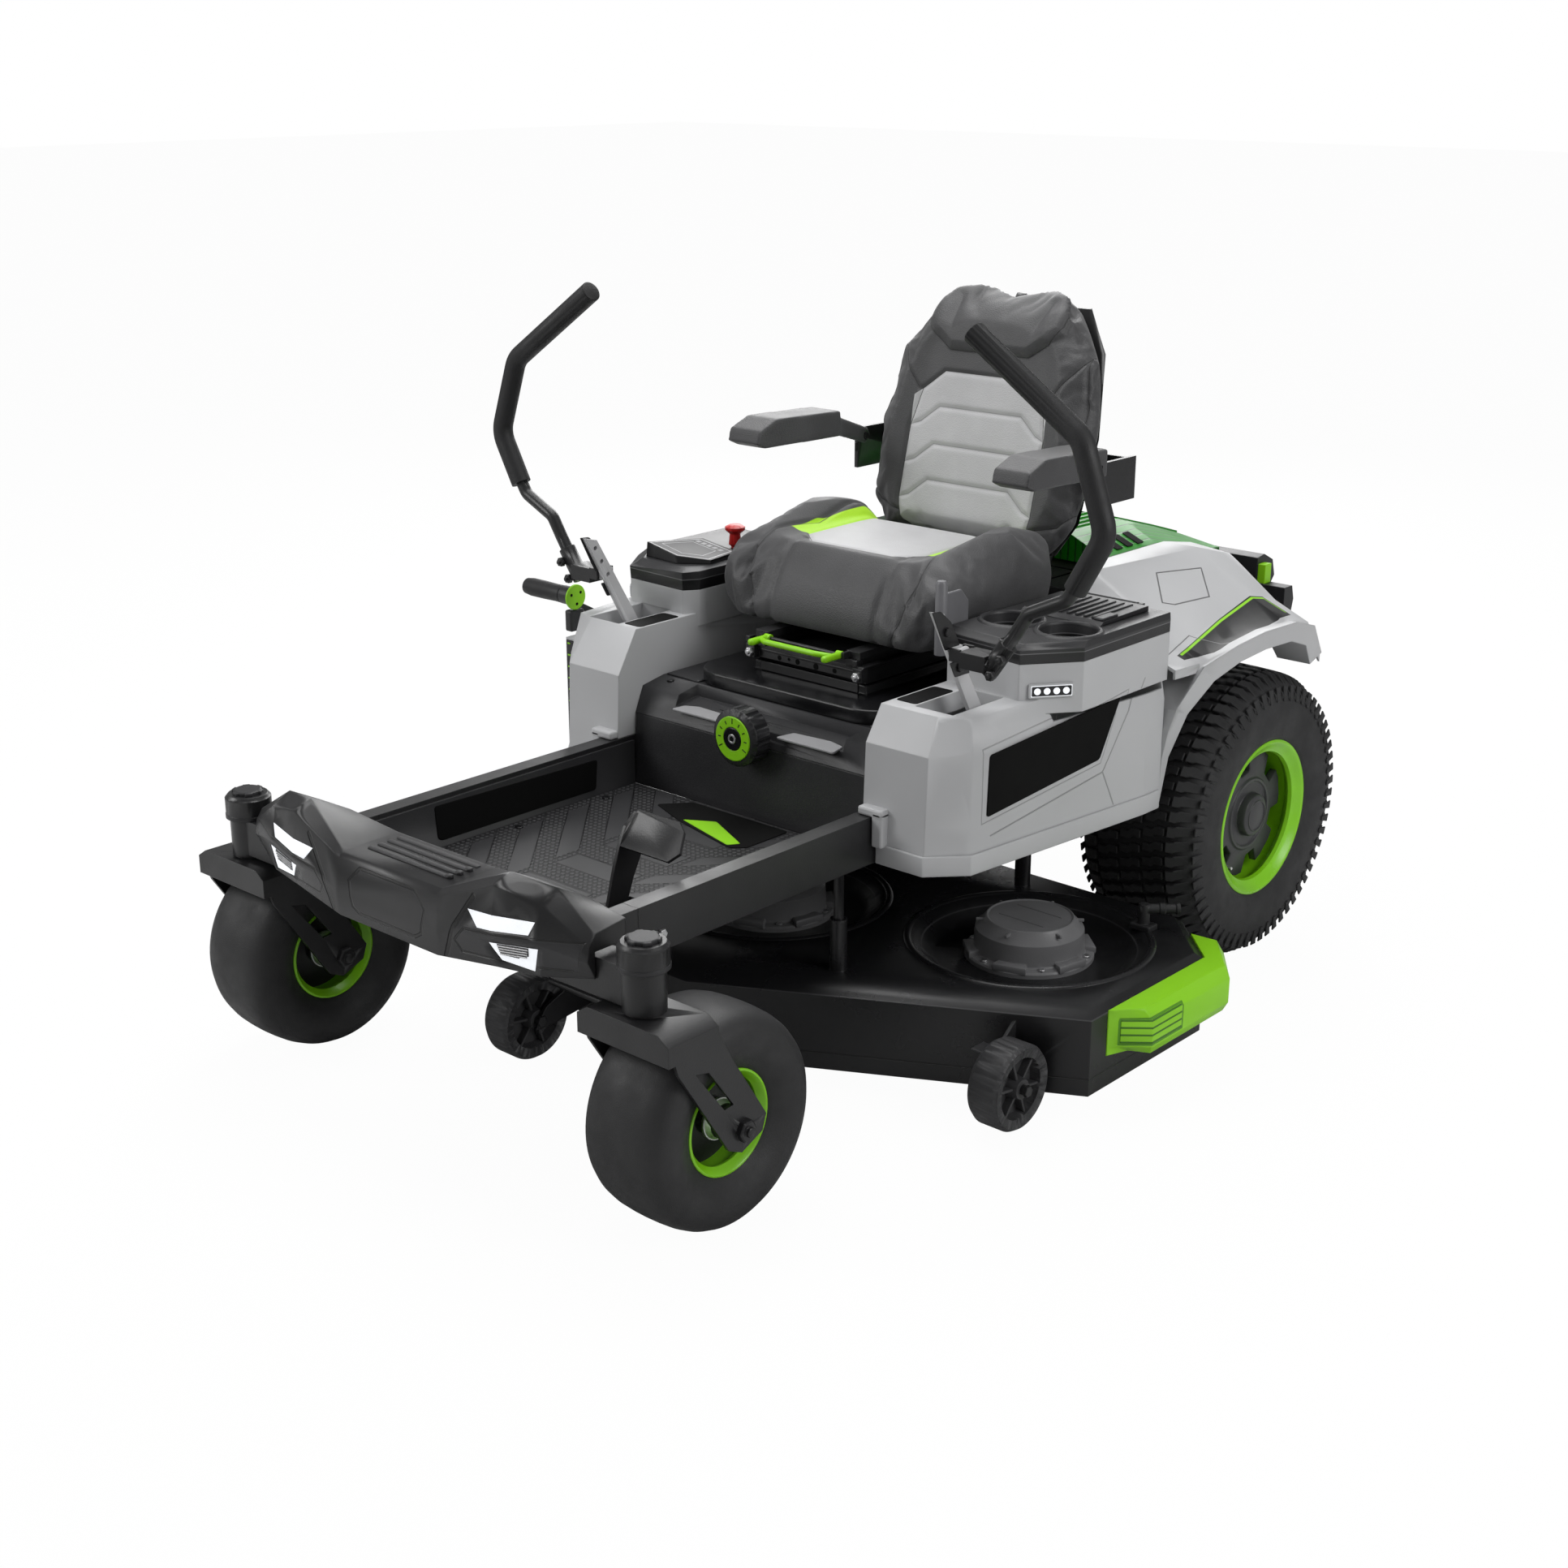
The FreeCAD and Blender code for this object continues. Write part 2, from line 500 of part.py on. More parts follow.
# ---------------------------------------------------------------- seat box
def make_seat_box():
    """Box under the seat between the rails, open below, and its moulded cover."""
    base = "floor_bottom_z + floor_t + seat_gap"
    outer = prism("box", "YZ_Plane", [
        ("box_front_y", base), ("box_front_y + 11", "box_top_z"), ("box_rear_y", "box_top_z"),
        ("box_rear_y", base)], "-(box_half_x)", "box_half_x")
    inner = prism("box_room", "YZ_Plane", [
        ("box_front_y + box_wall", f"{base} - 1"), ("box_front_y + 11 + box_wall", "box_top_z + 1"),
        ("box_rear_y - box_wall", "box_top_z + 1"), ("box_rear_y - box_wall", f"{base} - 1")],
        "-(box_half_x - box_wall)", "box_half_x - box_wall")
    node("seat_box", cut("seat_box", outer, inner))
    top = prism("cover", "YZ_Plane", [
        ("box_front_y + 11", "box_top_z + seat_gap"), ("cover_front_y", "cover_front_z"),
        ("pan_front_y", "cover_top_z"), ("box_rear_y", "cover_top_z"),
        ("box_rear_y", "box_top_z + seat_gap")], "-(cover_half_x)", "cover_half_x")
    room = prism("cover_room", "YZ_Plane", [
        ("box_front_y + 17", "box_top_z - 1"), ("cover_front_y + 60", "cover_front_z - 26"),
        ("pan_front_y + 30", "cover_top_z - 5"), ("box_rear_y - 5", "cover_top_z - 5"),
        ("box_rear_y - 5", "box_top_z - 1")], "-(cover_half_x - 5)", "cover_half_x - 5")
    well = prism("cover_well", "YZ_Plane", [
        ("cover_front_y - 30", "cover_front_z - 22"), ("pan_front_y - 8", "cover_front_z - 12"),
        ("pan_front_y - 2", "cover_top_z + 5"), ("cover_front_y - 30", "cover_top_z + 5")], "-192", "192")
    spindle = rod("knob_hole", "Y", "knob_spindle_r + run_gap", "box_front_y - 20", "cover_front_y + 40",
                  "0", "knob_z")
    node("seat_box_cover", cut("seat_box_cover", top, room, well, spindle))


def make_knob():
    """Weight knob of the seat suspension on its spindle."""
    face = "cover_front_y - 24 - knob_len"
    knob = turned("knob", "Y", [
        ("0", "0"), ("knob_r - 8", "0"), ("knob_r", "6"), ("knob_r", "knob_len - 4"),
        ("knob_r - 6", "knob_len"), ("knob_spindle_r", "knob_len"),
        ("knob_spindle_r", "knob_len + 56"), ("0", "knob_len + 56")], "0", face, "knob_z")
    notches = []
    for k in range(12):
        angle = math.radians(360 / 12 * k)
        notch = rod(f"knob_notch{k}", "Y", "4", f"{face} + 8", f"{face} + knob_len + 1",
                    f"(knob_r + 1) * {math.cos(angle):.5f}", f"knob_z + (knob_r + 1) * {math.sin(angle):.5f}")
        notches.append(notch)
    node("suspension_knob", cut("suspension_knob", knob, fuse("knob_notches", *notches)))


# ---------------------------------------------------------------- seat
def rounded_slab(name, half_x, y0, y1, z0, z1, corner):
    """A plate with rounded upright corners."""
    slab = block(name, f"-({half_x})", half_x, y0, y1, z0, z1)
    doc.recompute()
    soft = doc.addObject("Part::Fillet", name + "_round")
    soft.Base = slab
    upright = [k + 1 for k, e in enumerate(slab.Shape.Edges)
               if abs(e.Vertexes[0].Z - e.Vertexes[1].Z) > 0.9 * slab.Shape.BoundBox.ZLength]
    soft.Edges = [(k, corner, corner) for k in upright]
    return soft


def make_suspension():
    """Seat suspension: a tray on the cover, a tower on it, and the carriage that rises and sinks."""
    tray_z = "cover_top_z + seat_gap"
    tray = rounded_slab("tray", "pan_half_x", "pan_front_y", "pan_rear_y", tray_z, f"{tray_z} + pan_h",
                        size("pan_corner_r"))
    tower = block("tower", "-(tower_half_x)", "tower_half_x", "tower_front_y", "tower_rear_y",
                  f"{tray_z} + pan_h - 1", "tower_top_z")
    room = block("tower_room", "-(tower_half_x - 6)", "tower_half_x - 6", "tower_front_y + 6",
                 "tower_rear_y - 6", f"{tray_z} + 6", "tower_top_z + 1")
    node("suspension_base", cut("suspension_base", fuse("suspension_base", tray, tower), room))
    half = "tower_half_x - 6 - seat_gap"
    front, rear = "tower_front_y + 6 + seat_gap", "tower_rear_y - 6 - seat_gap"
    top = block("carriage", f"-({half})", half, front, rear,
                "tower_top_z - 9", "slider_top_z - 18")
    inside = block("carriage_room", "-(tower_half_x - 12)", "tower_half_x - 12", "tower_front_y + 12",
                   "tower_rear_y - 12", "tower_top_z - 10", "slider_top_z - 24")
    lid = block("carriage_lid", "-(slide_rail_x + 20)", "slide_rail_x + 20", "tower_front_y - 8",
                "tower_rear_y + 8", "slider_top_z - 19", "slider_top_z - slide_rail_h")
    parts = [cut("carriage", top, inside), lid]
    for sign in ("", "-"):
        x0, x1 = flip(1 if sign == "" else -1, "slide_rail_x - 12", "slide_rail_x + 12")
        parts.append(block(f"slide_rail{sign}", x0, x1, "tower_front_y - 12", "tower_rear_y + 20",
                           "slider_top_z - slide_rail_h - 1", "slider_top_z"))
    node("suspension_carriage", fuse("suspension_carriage", *parts))


def make_seat_pan():
    """Seat base plate with the runners that slide on the carriage's rails."""
    plate = block("seat_plate", "-(cushion_half_x - 60)", "cushion_half_x - 60", "cushion_front_y + 72",
                  "cushion_rear_y + 40", "slider_top_z + 12", "slider_top_z + 12 + seat_plate_t")
    parts = [plate]
    for side in (1, -1):
        x0, x1 = flip(side, "slide_rail_x - 15", "slide_rail_x + 15")
        parts.append(block(f"runner{side}", x0, x1, "tower_front_y - 6", "tower_rear_y + 40",
                           "slider_top_z + seat_gap", "slider_top_z + 13"))
        l0, l1 = flip(side, "slide_rail_x - 14", "slide_rail_x - 8")
        parts.append(block(f"pin_lug{side}", l0, l1, "tower_front_y - 21", "tower_front_y - 5",
                           "slider_top_z + seat_gap", "slider_top_z + 12"))
    parts.append(rod("slide_pin", "X", "slide_pin_r", "-(slide_rail_x - 10)", "slide_rail_x - 10",
                     "tower_front_y - 15", "bar_pin_z"))
    node("seat_pan", fuse("seat_pan", *parts))


def make_slide_bar():
    """Loop handle under the front of the seat, on a cross pin, that frees the slide."""
    z = size("bar_pin_z")
    back = size("tower_front_y") - 15
    front = back - 30
    half = size("slide_rail_x") - 22
    bar = tube([(-half, back, z), (-half, front + 12, z), (-half + 20, front, z + 2),
                (half - 30, front, z + 2),
                (half, front + 18, z - 2), (half, back, z)], 5.0, 9.0)
    pin_r = size("slide_pin_r")
    for side in (1, -1):
        boss = Part.makeCylinder(6.5, 13, Vector(side * half - 6.5, back, z), Vector(1, 0, 0))
        bar = bar.fuse(boss)
    bore = Part.makeCylinder(pin_r + size("run_gap"), 4 * half, Vector(-2 * half, back, z), Vector(1, 0, 0))
    node("seat_slide_bar", solid("seat_slide_bar", bar.cut(bore)))


def make_cushion():
    """Seat cushion with raised side bolsters."""
    half, low = size("cushion_half_x"), size("slider_top_z") + 12 + size("seat_plate_t") + size("seat_gap")
    mid, top = size("cushion_mid_z"), size("bolster_top_z")
    front, rear = size("cushion_front_y"), size("cushion_rear_y")

    def section(y, width, base, flat, bolster):
        right = [(width * 0.84, base), (width * 0.97, base + 22), (width, (base + bolster) / 2),
                 (width * 0.96, bolster - 14), (width * 0.86, bolster), (width * 0.73, bolster - 8),
                 (width * 0.58, flat)]
        return [(x, y, z) for x, z in right] + [(-x, y, z) for x, z in reversed(right)]

    shape = loft([
        section(front, half * 0.80, low + 8, mid - 48, mid - 42),
        section(front + 22, half * 0.95, low + 2, mid - 14, mid - 6),
        section(front + 70, half, low, mid - 2, mid + 20),
        section(front + 250, half, low, mid, top),
        section(rear - 34, half * 0.93, low, mid, top - 10),
        section(rear, half * 0.82, low + 6, mid - 6, top - 40),
    ])
    node("seat_cushion", solid("seat_cushion", shape))


# share of the back's height, share of its half width, bolster depth
BACK_STATIONS = ((0.0, 0.78, 0), (0.13, 0.96, 4), (0.45, 1.0, 16), (0.76, 0.90, 12), (0.92, 0.66, 4),
                 (1.0, 0.50, 0))


def back_section(share, width, ahead, behind, bolster, taper):
    """Outline of the backrest at one height: its front face, bolster, thickness and rear taper."""
    z = size("back_low_z") + share * (size("back_top_z") - size("back_low_z"))
    y = size("back_low_y") + (z - size("back_low_z")) * size("back_lean")
    w = size("back_half_x") * width
    span = behind - ahead
    right = [(w * taper, y + behind), (w * (0.4 + taper * 0.6), y + ahead + span * 0.6),
             (w, y + ahead + span * 0.24),
             (w * 0.95, y + ahead - bolster * 0.4), (w * 0.78, y + ahead - bolster), (w * 0.56, y + ahead)]
    return [(x, v, z) for x, v in right] + [(-x, v, z) for x, v in reversed(right)]


def make_back():
    """Backrest cushion with side bolsters, and the shell behind it."""
    thick = size("back_thick")
    cushion = loft([back_section(s, w, 0 if s < 0.99 else 24, thick if s < 0.99 else thick - 22,
                                 bolster, 0.76)
                    for s, w, bolster in BACK_STATIONS])
    node("seat_back_cushion", solid("seat_back_cushion", cushion))
    gap = thick + size("seat_gap") * 1.4
    shell = loft([back_section(s, w * 0.78, gap, gap + size("shell_t"), 0, 0.95)
                  for s, w, bolster in BACK_STATIONS[:-1]])
    foot_y = size("cushion_rear_y") + 26
    plate_z = size("slider_top_z") + 12 + size("seat_plate_t") + size("seat_gap")
    parts = [shell]
    for side in (1, -1):
        x0 = side * (size("slide_rail_x") + 30) - 18
        rise = [(size("back_low_y") + (z - size("back_low_z")) * size("back_lean") + gap, z)
                for z in (715, 860)]
        corners = [(foot_y - 18, plate_z), (foot_y + 12, plate_z), (rise[0][0] + 7, rise[0][1]),
                   (rise[1][0] + 7, rise[1][1]), (rise[1][0] - 2, rise[1][1]),
                   (rise[0][0] - 16, rise[0][1] - 12)]
        face = Part.Face(Part.makePolygon([Vector(x0, y, z) for y, z in corners + corners[:1]]))
        parts.append(face.extrude(Vector(36, 0, 0)))
    shape = parts[0].fuse(parts[1:])
    node("seat_back_shell", solid("seat_back_shell", shape.cut(cushion_clearance(cushion))))


def cushion_clearance(cushion):
    """The cushion's space, moved back a little, which the shell's brackets stay out of."""
    return cushion.fuse([cushion.translated(Vector(0, size("seat_gap"), 0))])


def make_armrests():
    """Padded armrests that swing up on pins carried by the back shell."""
    for side in (1, -1):
        tag = "left" if side > 0 else "right"
        x0, x1 = flip(side, "arm_in_x - 24", "arm_out_x - 2")
        pad = prism(f"armrest_{tag}_pad", "YZ_Plane", [
            ("arm_front_y", "arm_bottom_z + 10"), ("arm_front_y + 22", "arm_bottom_z"),
            ("arm_rear_y - 18", "arm_bottom_z - 4"), ("arm_rear_y - 18", "arm_top_z - 6"),
            ("arm_front_y + 54", "arm_top_z"), ("arm_front_y + 6", "arm_top_z - 18")], x0, x1)
        s0, s1 = flip(side, "arm_in_x - 22", "arm_in_x - 11.3")
        strap = prism(f"armrest_{tag}_strap", "YZ_Plane", [
            ("arm_rear_y - 30", "arm_bottom_z"), ("arm_pivot_y", "arm_pivot_z - 15"),
            ("arm_pivot_y + 14", "arm_pivot_z"), ("arm_pivot_y + 4", "arm_pivot_z + 16"),
            ("arm_rear_y - 30", "arm_top_z - 14")], s0, s1)
        b0, b1 = flip(side, "arm_in_x - 30", "arm_in_x")
        bore = rod(f"armrest_{tag}_bore", "X", "arm_pin_r + run_gap", b0, b1, "arm_pivot_y", "arm_pivot_z")
        node(f"armrest_{tag}", cut(f"armrest_{tag}", fuse(f"armrest_{tag}", pad, strap), bore))
    lugs = []
    reach = "back_low_y + (arm_pivot_z - back_low_z) * back_lean + back_thick"
    for side in (1, -1):
        l0, l1 = flip(side, "arm_in_x - 11", "arm_in_x - 3")
        lugs.append(block(f"lug{side}", l0, l1, "arm_pivot_y - 14", f"{reach} + 14",
                          "arm_pivot_z - 60", "arm_pivot_z + 16"))
        w0, w1 = flip(side, "back_half_x * 0.6", "arm_in_x - 4")
        lugs.append(block(f"lug_foot{side}", w0, w1, f"{reach} + 7", f"{reach} + 14",
                          "arm_pivot_z - 30", "arm_pivot_z + 12"))
        p0, p1 = flip(side, "arm_in_x - 22", "arm_in_x - 10")
        lugs.append(rod(f"lug_pin{side}", "X", "arm_pin_r", p0, p1, "arm_pivot_y", "arm_pivot_z"))
    return lugs


# ---------------------------------------------------------------- body pods
def pod_plan(side, z, front, nose_x, corner, out_x, inner_x):
    """Outline of a pod at one height."""
    rear = size("pod_rear_y")
    plan = [(inner_x, front), (nose_x, front), corner, (out_x, size("pod_rear_y") - 50), (out_x, rear),
            (inner_x, rear)]
    return [(side * x, y, z) for x, y in plan]


def pod_shape(side, top, inset):
    """A pod's solid form, pulled in all round by the inset."""
    low = size("pod_bottom_z")
    split = size("rail_top_z") + size("seat_gap") + inset
    front, out = size("pod_front_y") + inset, size("pod_out_x") - inset
    crease = size("pod_crease_z") - inset
    rail_side = size("rail_out_x") + size("seat_gap") + inset
    inner = size("pod_in_x") + inset
    nose, corner_x = out - 94, out - 44

    def corner(shift):
        return (corner_x - shift, front + 58 + shift)

    lower = loft([pod_plan(side, low, front, nose, corner(0), out, rail_side),
                  pod_plan(side, split, front + 3, nose, corner(0), out, rail_side)])
    upper = loft([pod_plan(side, split, front + 3, nose, corner(0), out, inner),
                  pod_plan(side, crease, front + 8, nose, corner(0), out, inner),
                  pod_plan(side, top - inset, front + top - size("pod_crease_z") - 18, nose - 8,
                           corner(14), out - 12,
                           inner + 4)])
    return lower.fuse(upper)


def column_plan(side, inset):
    """Outline of the raised column behind a pod's top."""
    out, inner = size("column_out_x") - inset, size("pod_in_x") + inset
    front = size("column_front_y") + inset
    rear = size("pod_rear_y")
    plan = [(inner, front - 2), (out - 65, front - 21), (out, front + 64), (out, rear), (inner, rear)]
    if side < 0:
        plan.insert(1, (inner + 18, front - 28))
    return [(side * x, y) for x, y in plan]


def column_shape(side, low, high, inset):
    plan = column_plan(side, inset)
    return loft([[(x, y, z) for x, y in plan] for z in (low, high)])


def make_pods():
    """Moulded side pods: hollow shells over the rails with a well for each drive lever."""
    for side in (1, -1):
        tag = "left" if side > 0 else "right"
        top = size("pod_top_z") if side > 0 else size("pod_top_right_z")
        wall, roof = size("pod_wall"), size("column_top_z")
        outer = pod_shape(side, top, 0).fuse(column_shape(side, top - 24, roof, 0))
        inner = pod_shape(side, top, wall).fuse(column_shape(side, top - 40, roof - wall, wall))
        shell = outer.cut(inner)
        shell = shell.cut(inner.translated(Vector(0, 8, 0)))
        shell = shell.cut(pod_shape(side, top, wall).translated(Vector(0, 0, -8)).common(floor_zone()))
        shell = shell.fuse(outer.common(rear_zone()))
        well_in, well_out = size("lever_x") - 52, size("lever_x") + 24
        corner = Vector(min(side * well_in, side * well_out), size("lever_pivot_y") - 146, top - 40)
        well = Part.makeBox(well_out - well_in, 132, 41, corner)
        lip = Part.makeBox(well_out - well_in + 6, 138, 38, corner + Vector(-3, -3, 8))
        shell = shell.fuse(lip.common(pod_shape(side, top, 0)))
        foot_x = min(side * (size("rail_in_x") + 8), side * (size("rail_out_x") + 14))
        foot = Part.makeBox(size("rail_out_x") - size("rail_in_x") + 6, 54, 16,
                            Vector(foot_x, size("lever_pivot_y") - 27, size("rail_top_z") - 4))
        shell = shell.cut(well).cut(foot)
        for x, y in cup_places():
            if side > 0:
                shell = shell.cut(Part.makeCylinder(size("cup_r") + size("cup_wall") + 1, 30,
                                                    Vector(x, y, size("column_top_z") - 15)))
        if side < 0:
            shell = shell.fuse(height_scale().cut(inner)).fuse(height_stud())
        node(f"body_pod_{tag}", solid(f"body_pod_{tag}", shell))


def rear_zone():
    """The last few millimetres of the pods, where their closed rear wall stands."""
    reach, wall = size("pod_out_x") * 2, size("pod_wall")
    return Part.makeBox(2 * reach, wall, reach, Vector(-reach, size("pod_rear_y") - wall, 0))


def height_scale():
    """Raised strip on the right pod that the height lever's pointer passes over."""
    out, low = size("scale_out_x"), size("scale_bottom_z")
    return Part.makeBox(60, 42, size("scale_top_z") - low, Vector(-out, size("height_hub_y") - 30, low))


def height_stud():
    """Stud on the right pod that the height lever turns on."""
    start = Vector(-(size("height_x") + size("height_t") + 4), size("height_pivot_y"),
                   size("height_pivot_z"))
    return Part.makeCylinder(8, 42, start, Vector(1, 0, 0))


def floor_zone():
    """The space just above and below the pods' open bottom."""
    reach, low = size("height_x"), size("pod_bottom_z")
    return Part.makeBox(2 * reach, 2 * reach, 16, Vector(-reach, -reach, low - 8))


def make_tray():
    """Cup holder tray on the left column, and the storage lid behind the cups."""
    low = size("column_top_z") + size("seat_gap")
    high = low + size("tray_h")
    plan = column_plan(1, 0)
    tray = loft([[(x, y, low) for x, y in plan],
                 [(x * 1.004, y - 3, high - 10) for x, y in plan],
                 [(x - 0.01 * (x - 390), y + (8 if y < 100 else 0), high) for x, y in plan]])
    radius, wall, cup_low = size("cup_r"), size("cup_wall"), low - 46
    for x, y in cup_places():
        cup = Part.makeCone(radius + wall - 6, radius + wall, 46 + wall, Vector(x, y, cup_low))
        tray = tray.fuse(cup)
    for x, y in cup_places():
        room = Part.makeCone(radius - 7, radius, high - cup_low, Vector(x, y, cup_low + wall))
        tray = tray.cut(room)
    x0, y0 = size("pod_in_x") + 36, size("column_front_y") + 156
    hollow = Part.makeBox(size("column_out_x") - 37 - x0, size("pod_rear_y") - 20 - y0, 40,
                          Vector(x0, y0, low + 6))
    tray = tray.cut(hollow)
    hinge_y, hinge_z = size("pod_rear_y") - 12, high + 5.7
    first, last = size("pod_in_x") + 44, size("column_out_x") - 47
    for x in (first, last - 8):
        tray = tray.fuse(Part.makeBox(8, 9, hinge_z + 4.5 - high, Vector(x, hinge_y - 4.5, high - 1)))
    pin = Part.makeCylinder(size("tray_pin_r"), last - first, Vector(first, hinge_y, hinge_z),
                            Vector(1, 0, 0))
    tray = tray.fuse(pin)
    node("cup_holder_tray", solid("cup_holder_tray", tray))
    make_storage_lid()


def make_storage_lid():
    """Flat lid over the tray's bin, with the knuckle at its rear edge."""
    top = "column_top_z + seat_gap + tray_h"
    y, z = "pod_rear_y - 12", f"{top} + 5.7"
    flap = prism("lid", "YZ_Plane", [
        ("column_front_y + 154", f"{top} + seat_gap"), ("pod_rear_y - 18", f"{top} + seat_gap"),
        ("pod_rear_y - 18", f"{top} + 8.7"), ("column_front_y + 164", f"{top} + 6.7")],
        "pod_in_x + 30", "pod_out_x - 30")
    knuckle = rod("tray_knuckle", "X", "4.3", "pod_in_x + 54", "column_out_x - 57", y, z)
    web = block("tray_knuckle_web", "pod_in_x + 54", "column_out_x - 57", "pod_rear_y - 19", y, f"{z} - 4",
                f"{z} + 1")
    bore = rod("tray_bore", "X", "tray_pin_r + run_gap", "pod_in_x + 40", "column_out_x - 40", y, z)
    node("storage_lid", cut("storage_lid", fuse("storage_lid", flap, knuckle, web), bore))


def cup_places():
    """Centres of the two cups."""
    front = size("column_front_y")
    return ((size("pod_in_x") + 55, front + 98), (size("column_out_x") - 57, front + 100))


def make_console():
    """Right-hand console with its sloping display and the blade switch."""
    low = size("column_top_z") + size("seat_gap")
    high = low + size("console_h")
    outside, inside, front = size("column_out_x"), size("pod_in_x"), size("column_front_y")
    switch = (-size("switch_x"), size("switch_y"))
    band = [(x, y, high - 4 - (-x - inside - 18) * 0.07) for x, y in column_plan(-1, -1)]
    body = loft([[(x, y, low) for x, y in column_plan(-1, 0)], band,
                 [(x, y + (6 if y < 200 else -14), high) for x, y in column_plan(-1, 14)]])
    hole = Part.makeCylinder(7 + size("run_gap"), 60, Vector(*switch, low - 5))
    node("control_console", solid("control_console", body.cut(hole)))
    outline = [(75 - outside, front + 10), (-inside - 64, front + 2), (-inside - 14, front + 40),
               (-inside - 24, front + 118), (113 - outside, front + 118)]
    base = high + size("seat_gap")
    display = loft([[(x, y, base) for x, y in outline],
                    [(x * 0.99 - 3, y + 2, base + 6 + (-x - inside - 6) * 0.145) for x, y in outline]])
    node("control_display", solid("control_display", display))
    knob = turned("pto_knob", "Z", [
        ("0", "column_top_z + 4"), ("7", "column_top_z + 4"), ("7", "column_top_z + console_h + 2"),
        ("12", "column_top_z + console_h + 6"), ("10", "column_top_z + console_h + 26"),
        ("19", "column_top_z + console_h + 34"), ("19", "column_top_z + console_h + 39"),
        ("12", "column_top_z + console_h + 43"), ("0", "column_top_z + console_h + 44")],
        "-switch_x", "switch_y")
    node("blade_switch_knob", knob)


def make_side_lamps():
    """Strip lamps on the chamfered front corners of the two columns."""
    lamps = []
    for side in (1, -1):
        low = (size("pod_top_z") if side > 0 else size("pod_top_right_z")) + 6
        ends = [Vector(x, y, low) for x, y in column_plan(side, 0) if abs(x) > 420 and y < 200]
        along = (ends[1] - ends[0]).normalize()
        out = Vector(along.y, -along.x, 0) * side
        middle = (ends[0] + ends[1]) / 2 + out * (size("seat_gap") / 2)
        corners = [middle - along * 34, middle + along * 34, middle + along * 34 + out * 5,
                   middle - along * 34 + out * 5]
        face = Part.Face(Part.makePolygon(corners + corners[:1]))
        lamps.append(face.extrude(Vector(0, 0, 18)))
    return lamps


# ---------------------------------------------------------------- rear body
FENDER_STATIONS = (
    (300.0, (284, 655), (330, 655), (470, 610), (520, 592)),
    (365.0, (284, 717), (300, 717), (482, 610), (527, 592)),
    (380.0, (284, 717), (301, 717), (481, 611), (526, 592)),
    (388.0, (264, 717), (302, 717), (480, 612), (526, 593)),
    (650.0, (264, 717), (338, 717), (452, 644), (520, 612)),
    (745.0, (264, 700), (348, 692), (445, 622), (520, 590)),
    (800.0, (264, 676), (340, 662), (440, 590), (520, 520)),
)
# wheel arch band: inner and outer edge as (angle round the axle, gap outside the tyre), then outer x
ARCH_STATIONS = (
    ((162.5, 22.2), (163.9, 45.2), 500), ((147.0, 41.1), (149.9, 71.1), 503),
    ((133.7, 69.1), (136.3, 106.6), 520), ((121.2, 76.1), (123.2, 123.2), 536),
    ((107.5, 61.1), (107.8, 95.3), 540), ((92.5, 51.3), (93.0, 84.5), 540),
    ((76.1, 56.4), (75.3, 91.6), 539), ((63.1, 58.9), (61.5, 100.2), 531),
    ((52.3, 41.8), (48.3, 78.8), 520),
)


def arch_point(spot):
    """Place (y, z) of the wheel arch at an angle round the axle and a gap outside the tyre."""
    angle, gap = spot
    radius = size("rear_tyre_r") + gap
    return (size("rear_axle_y") + radius * math.cos(math.radians(angle)),
            size("rear_tyre_r") + radius * math.sin(math.radians(angle)))


def tyre_room():
    """The space round the rear tyres that the body keeps clear of."""
    reach = size("tail_rear_y")
    centre = Vector(-reach, size("rear_axle_y"), size("rear_tyre_r"))
    return Part.makeCylinder(size("rear_tyre_r") + size("arch_gap"), 2 * reach, centre, Vector(1, 0, 0))


def make_fenders():
    """Rear body mouldings: a hollow hood side with the wheel arch band, left and right."""
    wall = size("pod_wall")
    for side in (1, -1):
        tag = "left" if side > 0 else "right"
        outer, inner = [], []
        for y, crest_in, crest, crease, edge in FENDER_STATIONS:
            line = (crest_in, crest, crease, edge)
            outer.append([(side * x, y, z) for x, z in line]
                         + [(side * edge[0], y, edge[1] - 16), (side * crest_in[0], y, edge[1] - 16)])
            low = [(side * (crest_in[0] + wall), y, crest_in[1] - wall),
                   (side * (crest[0] - 1), y, crest[1] - wall),
                   (side * (crease[0] - 2), y, crease[1] - wall),
                   (side * (edge[0] - wall), y, edge[1] - wall - 1)]
            inner.append(low + [(side * (edge[0] - wall), y, edge[1] - 17),
                                (side * (crest_in[0] + wall), y, edge[1] - 17)])
        hood = loft(outer).cut(loft(inner))
        root = 452
        band = loft([[(side * root, *arch_point(near)), (side * reach, *arch_point(near)),
                      (side * reach, *arch_point(far)), (side * root, *arch_point(far))]
                     for near, far, reach in ARCH_STATIONS])
        filled = loft(outer)
        body = hood.fuse(band.cut(filled))
        start = size("pod_rear_y") + size("seat_gap")
        reach = size("tail_rear_y")
        keep = Part.makeBox(2 * reach, reach, reach, Vector(-reach, start, 0))
        body = body.common(keep).cut(tyre_room())
        node(f"fender_{tag}", solid(f"fender_{tag}", body))


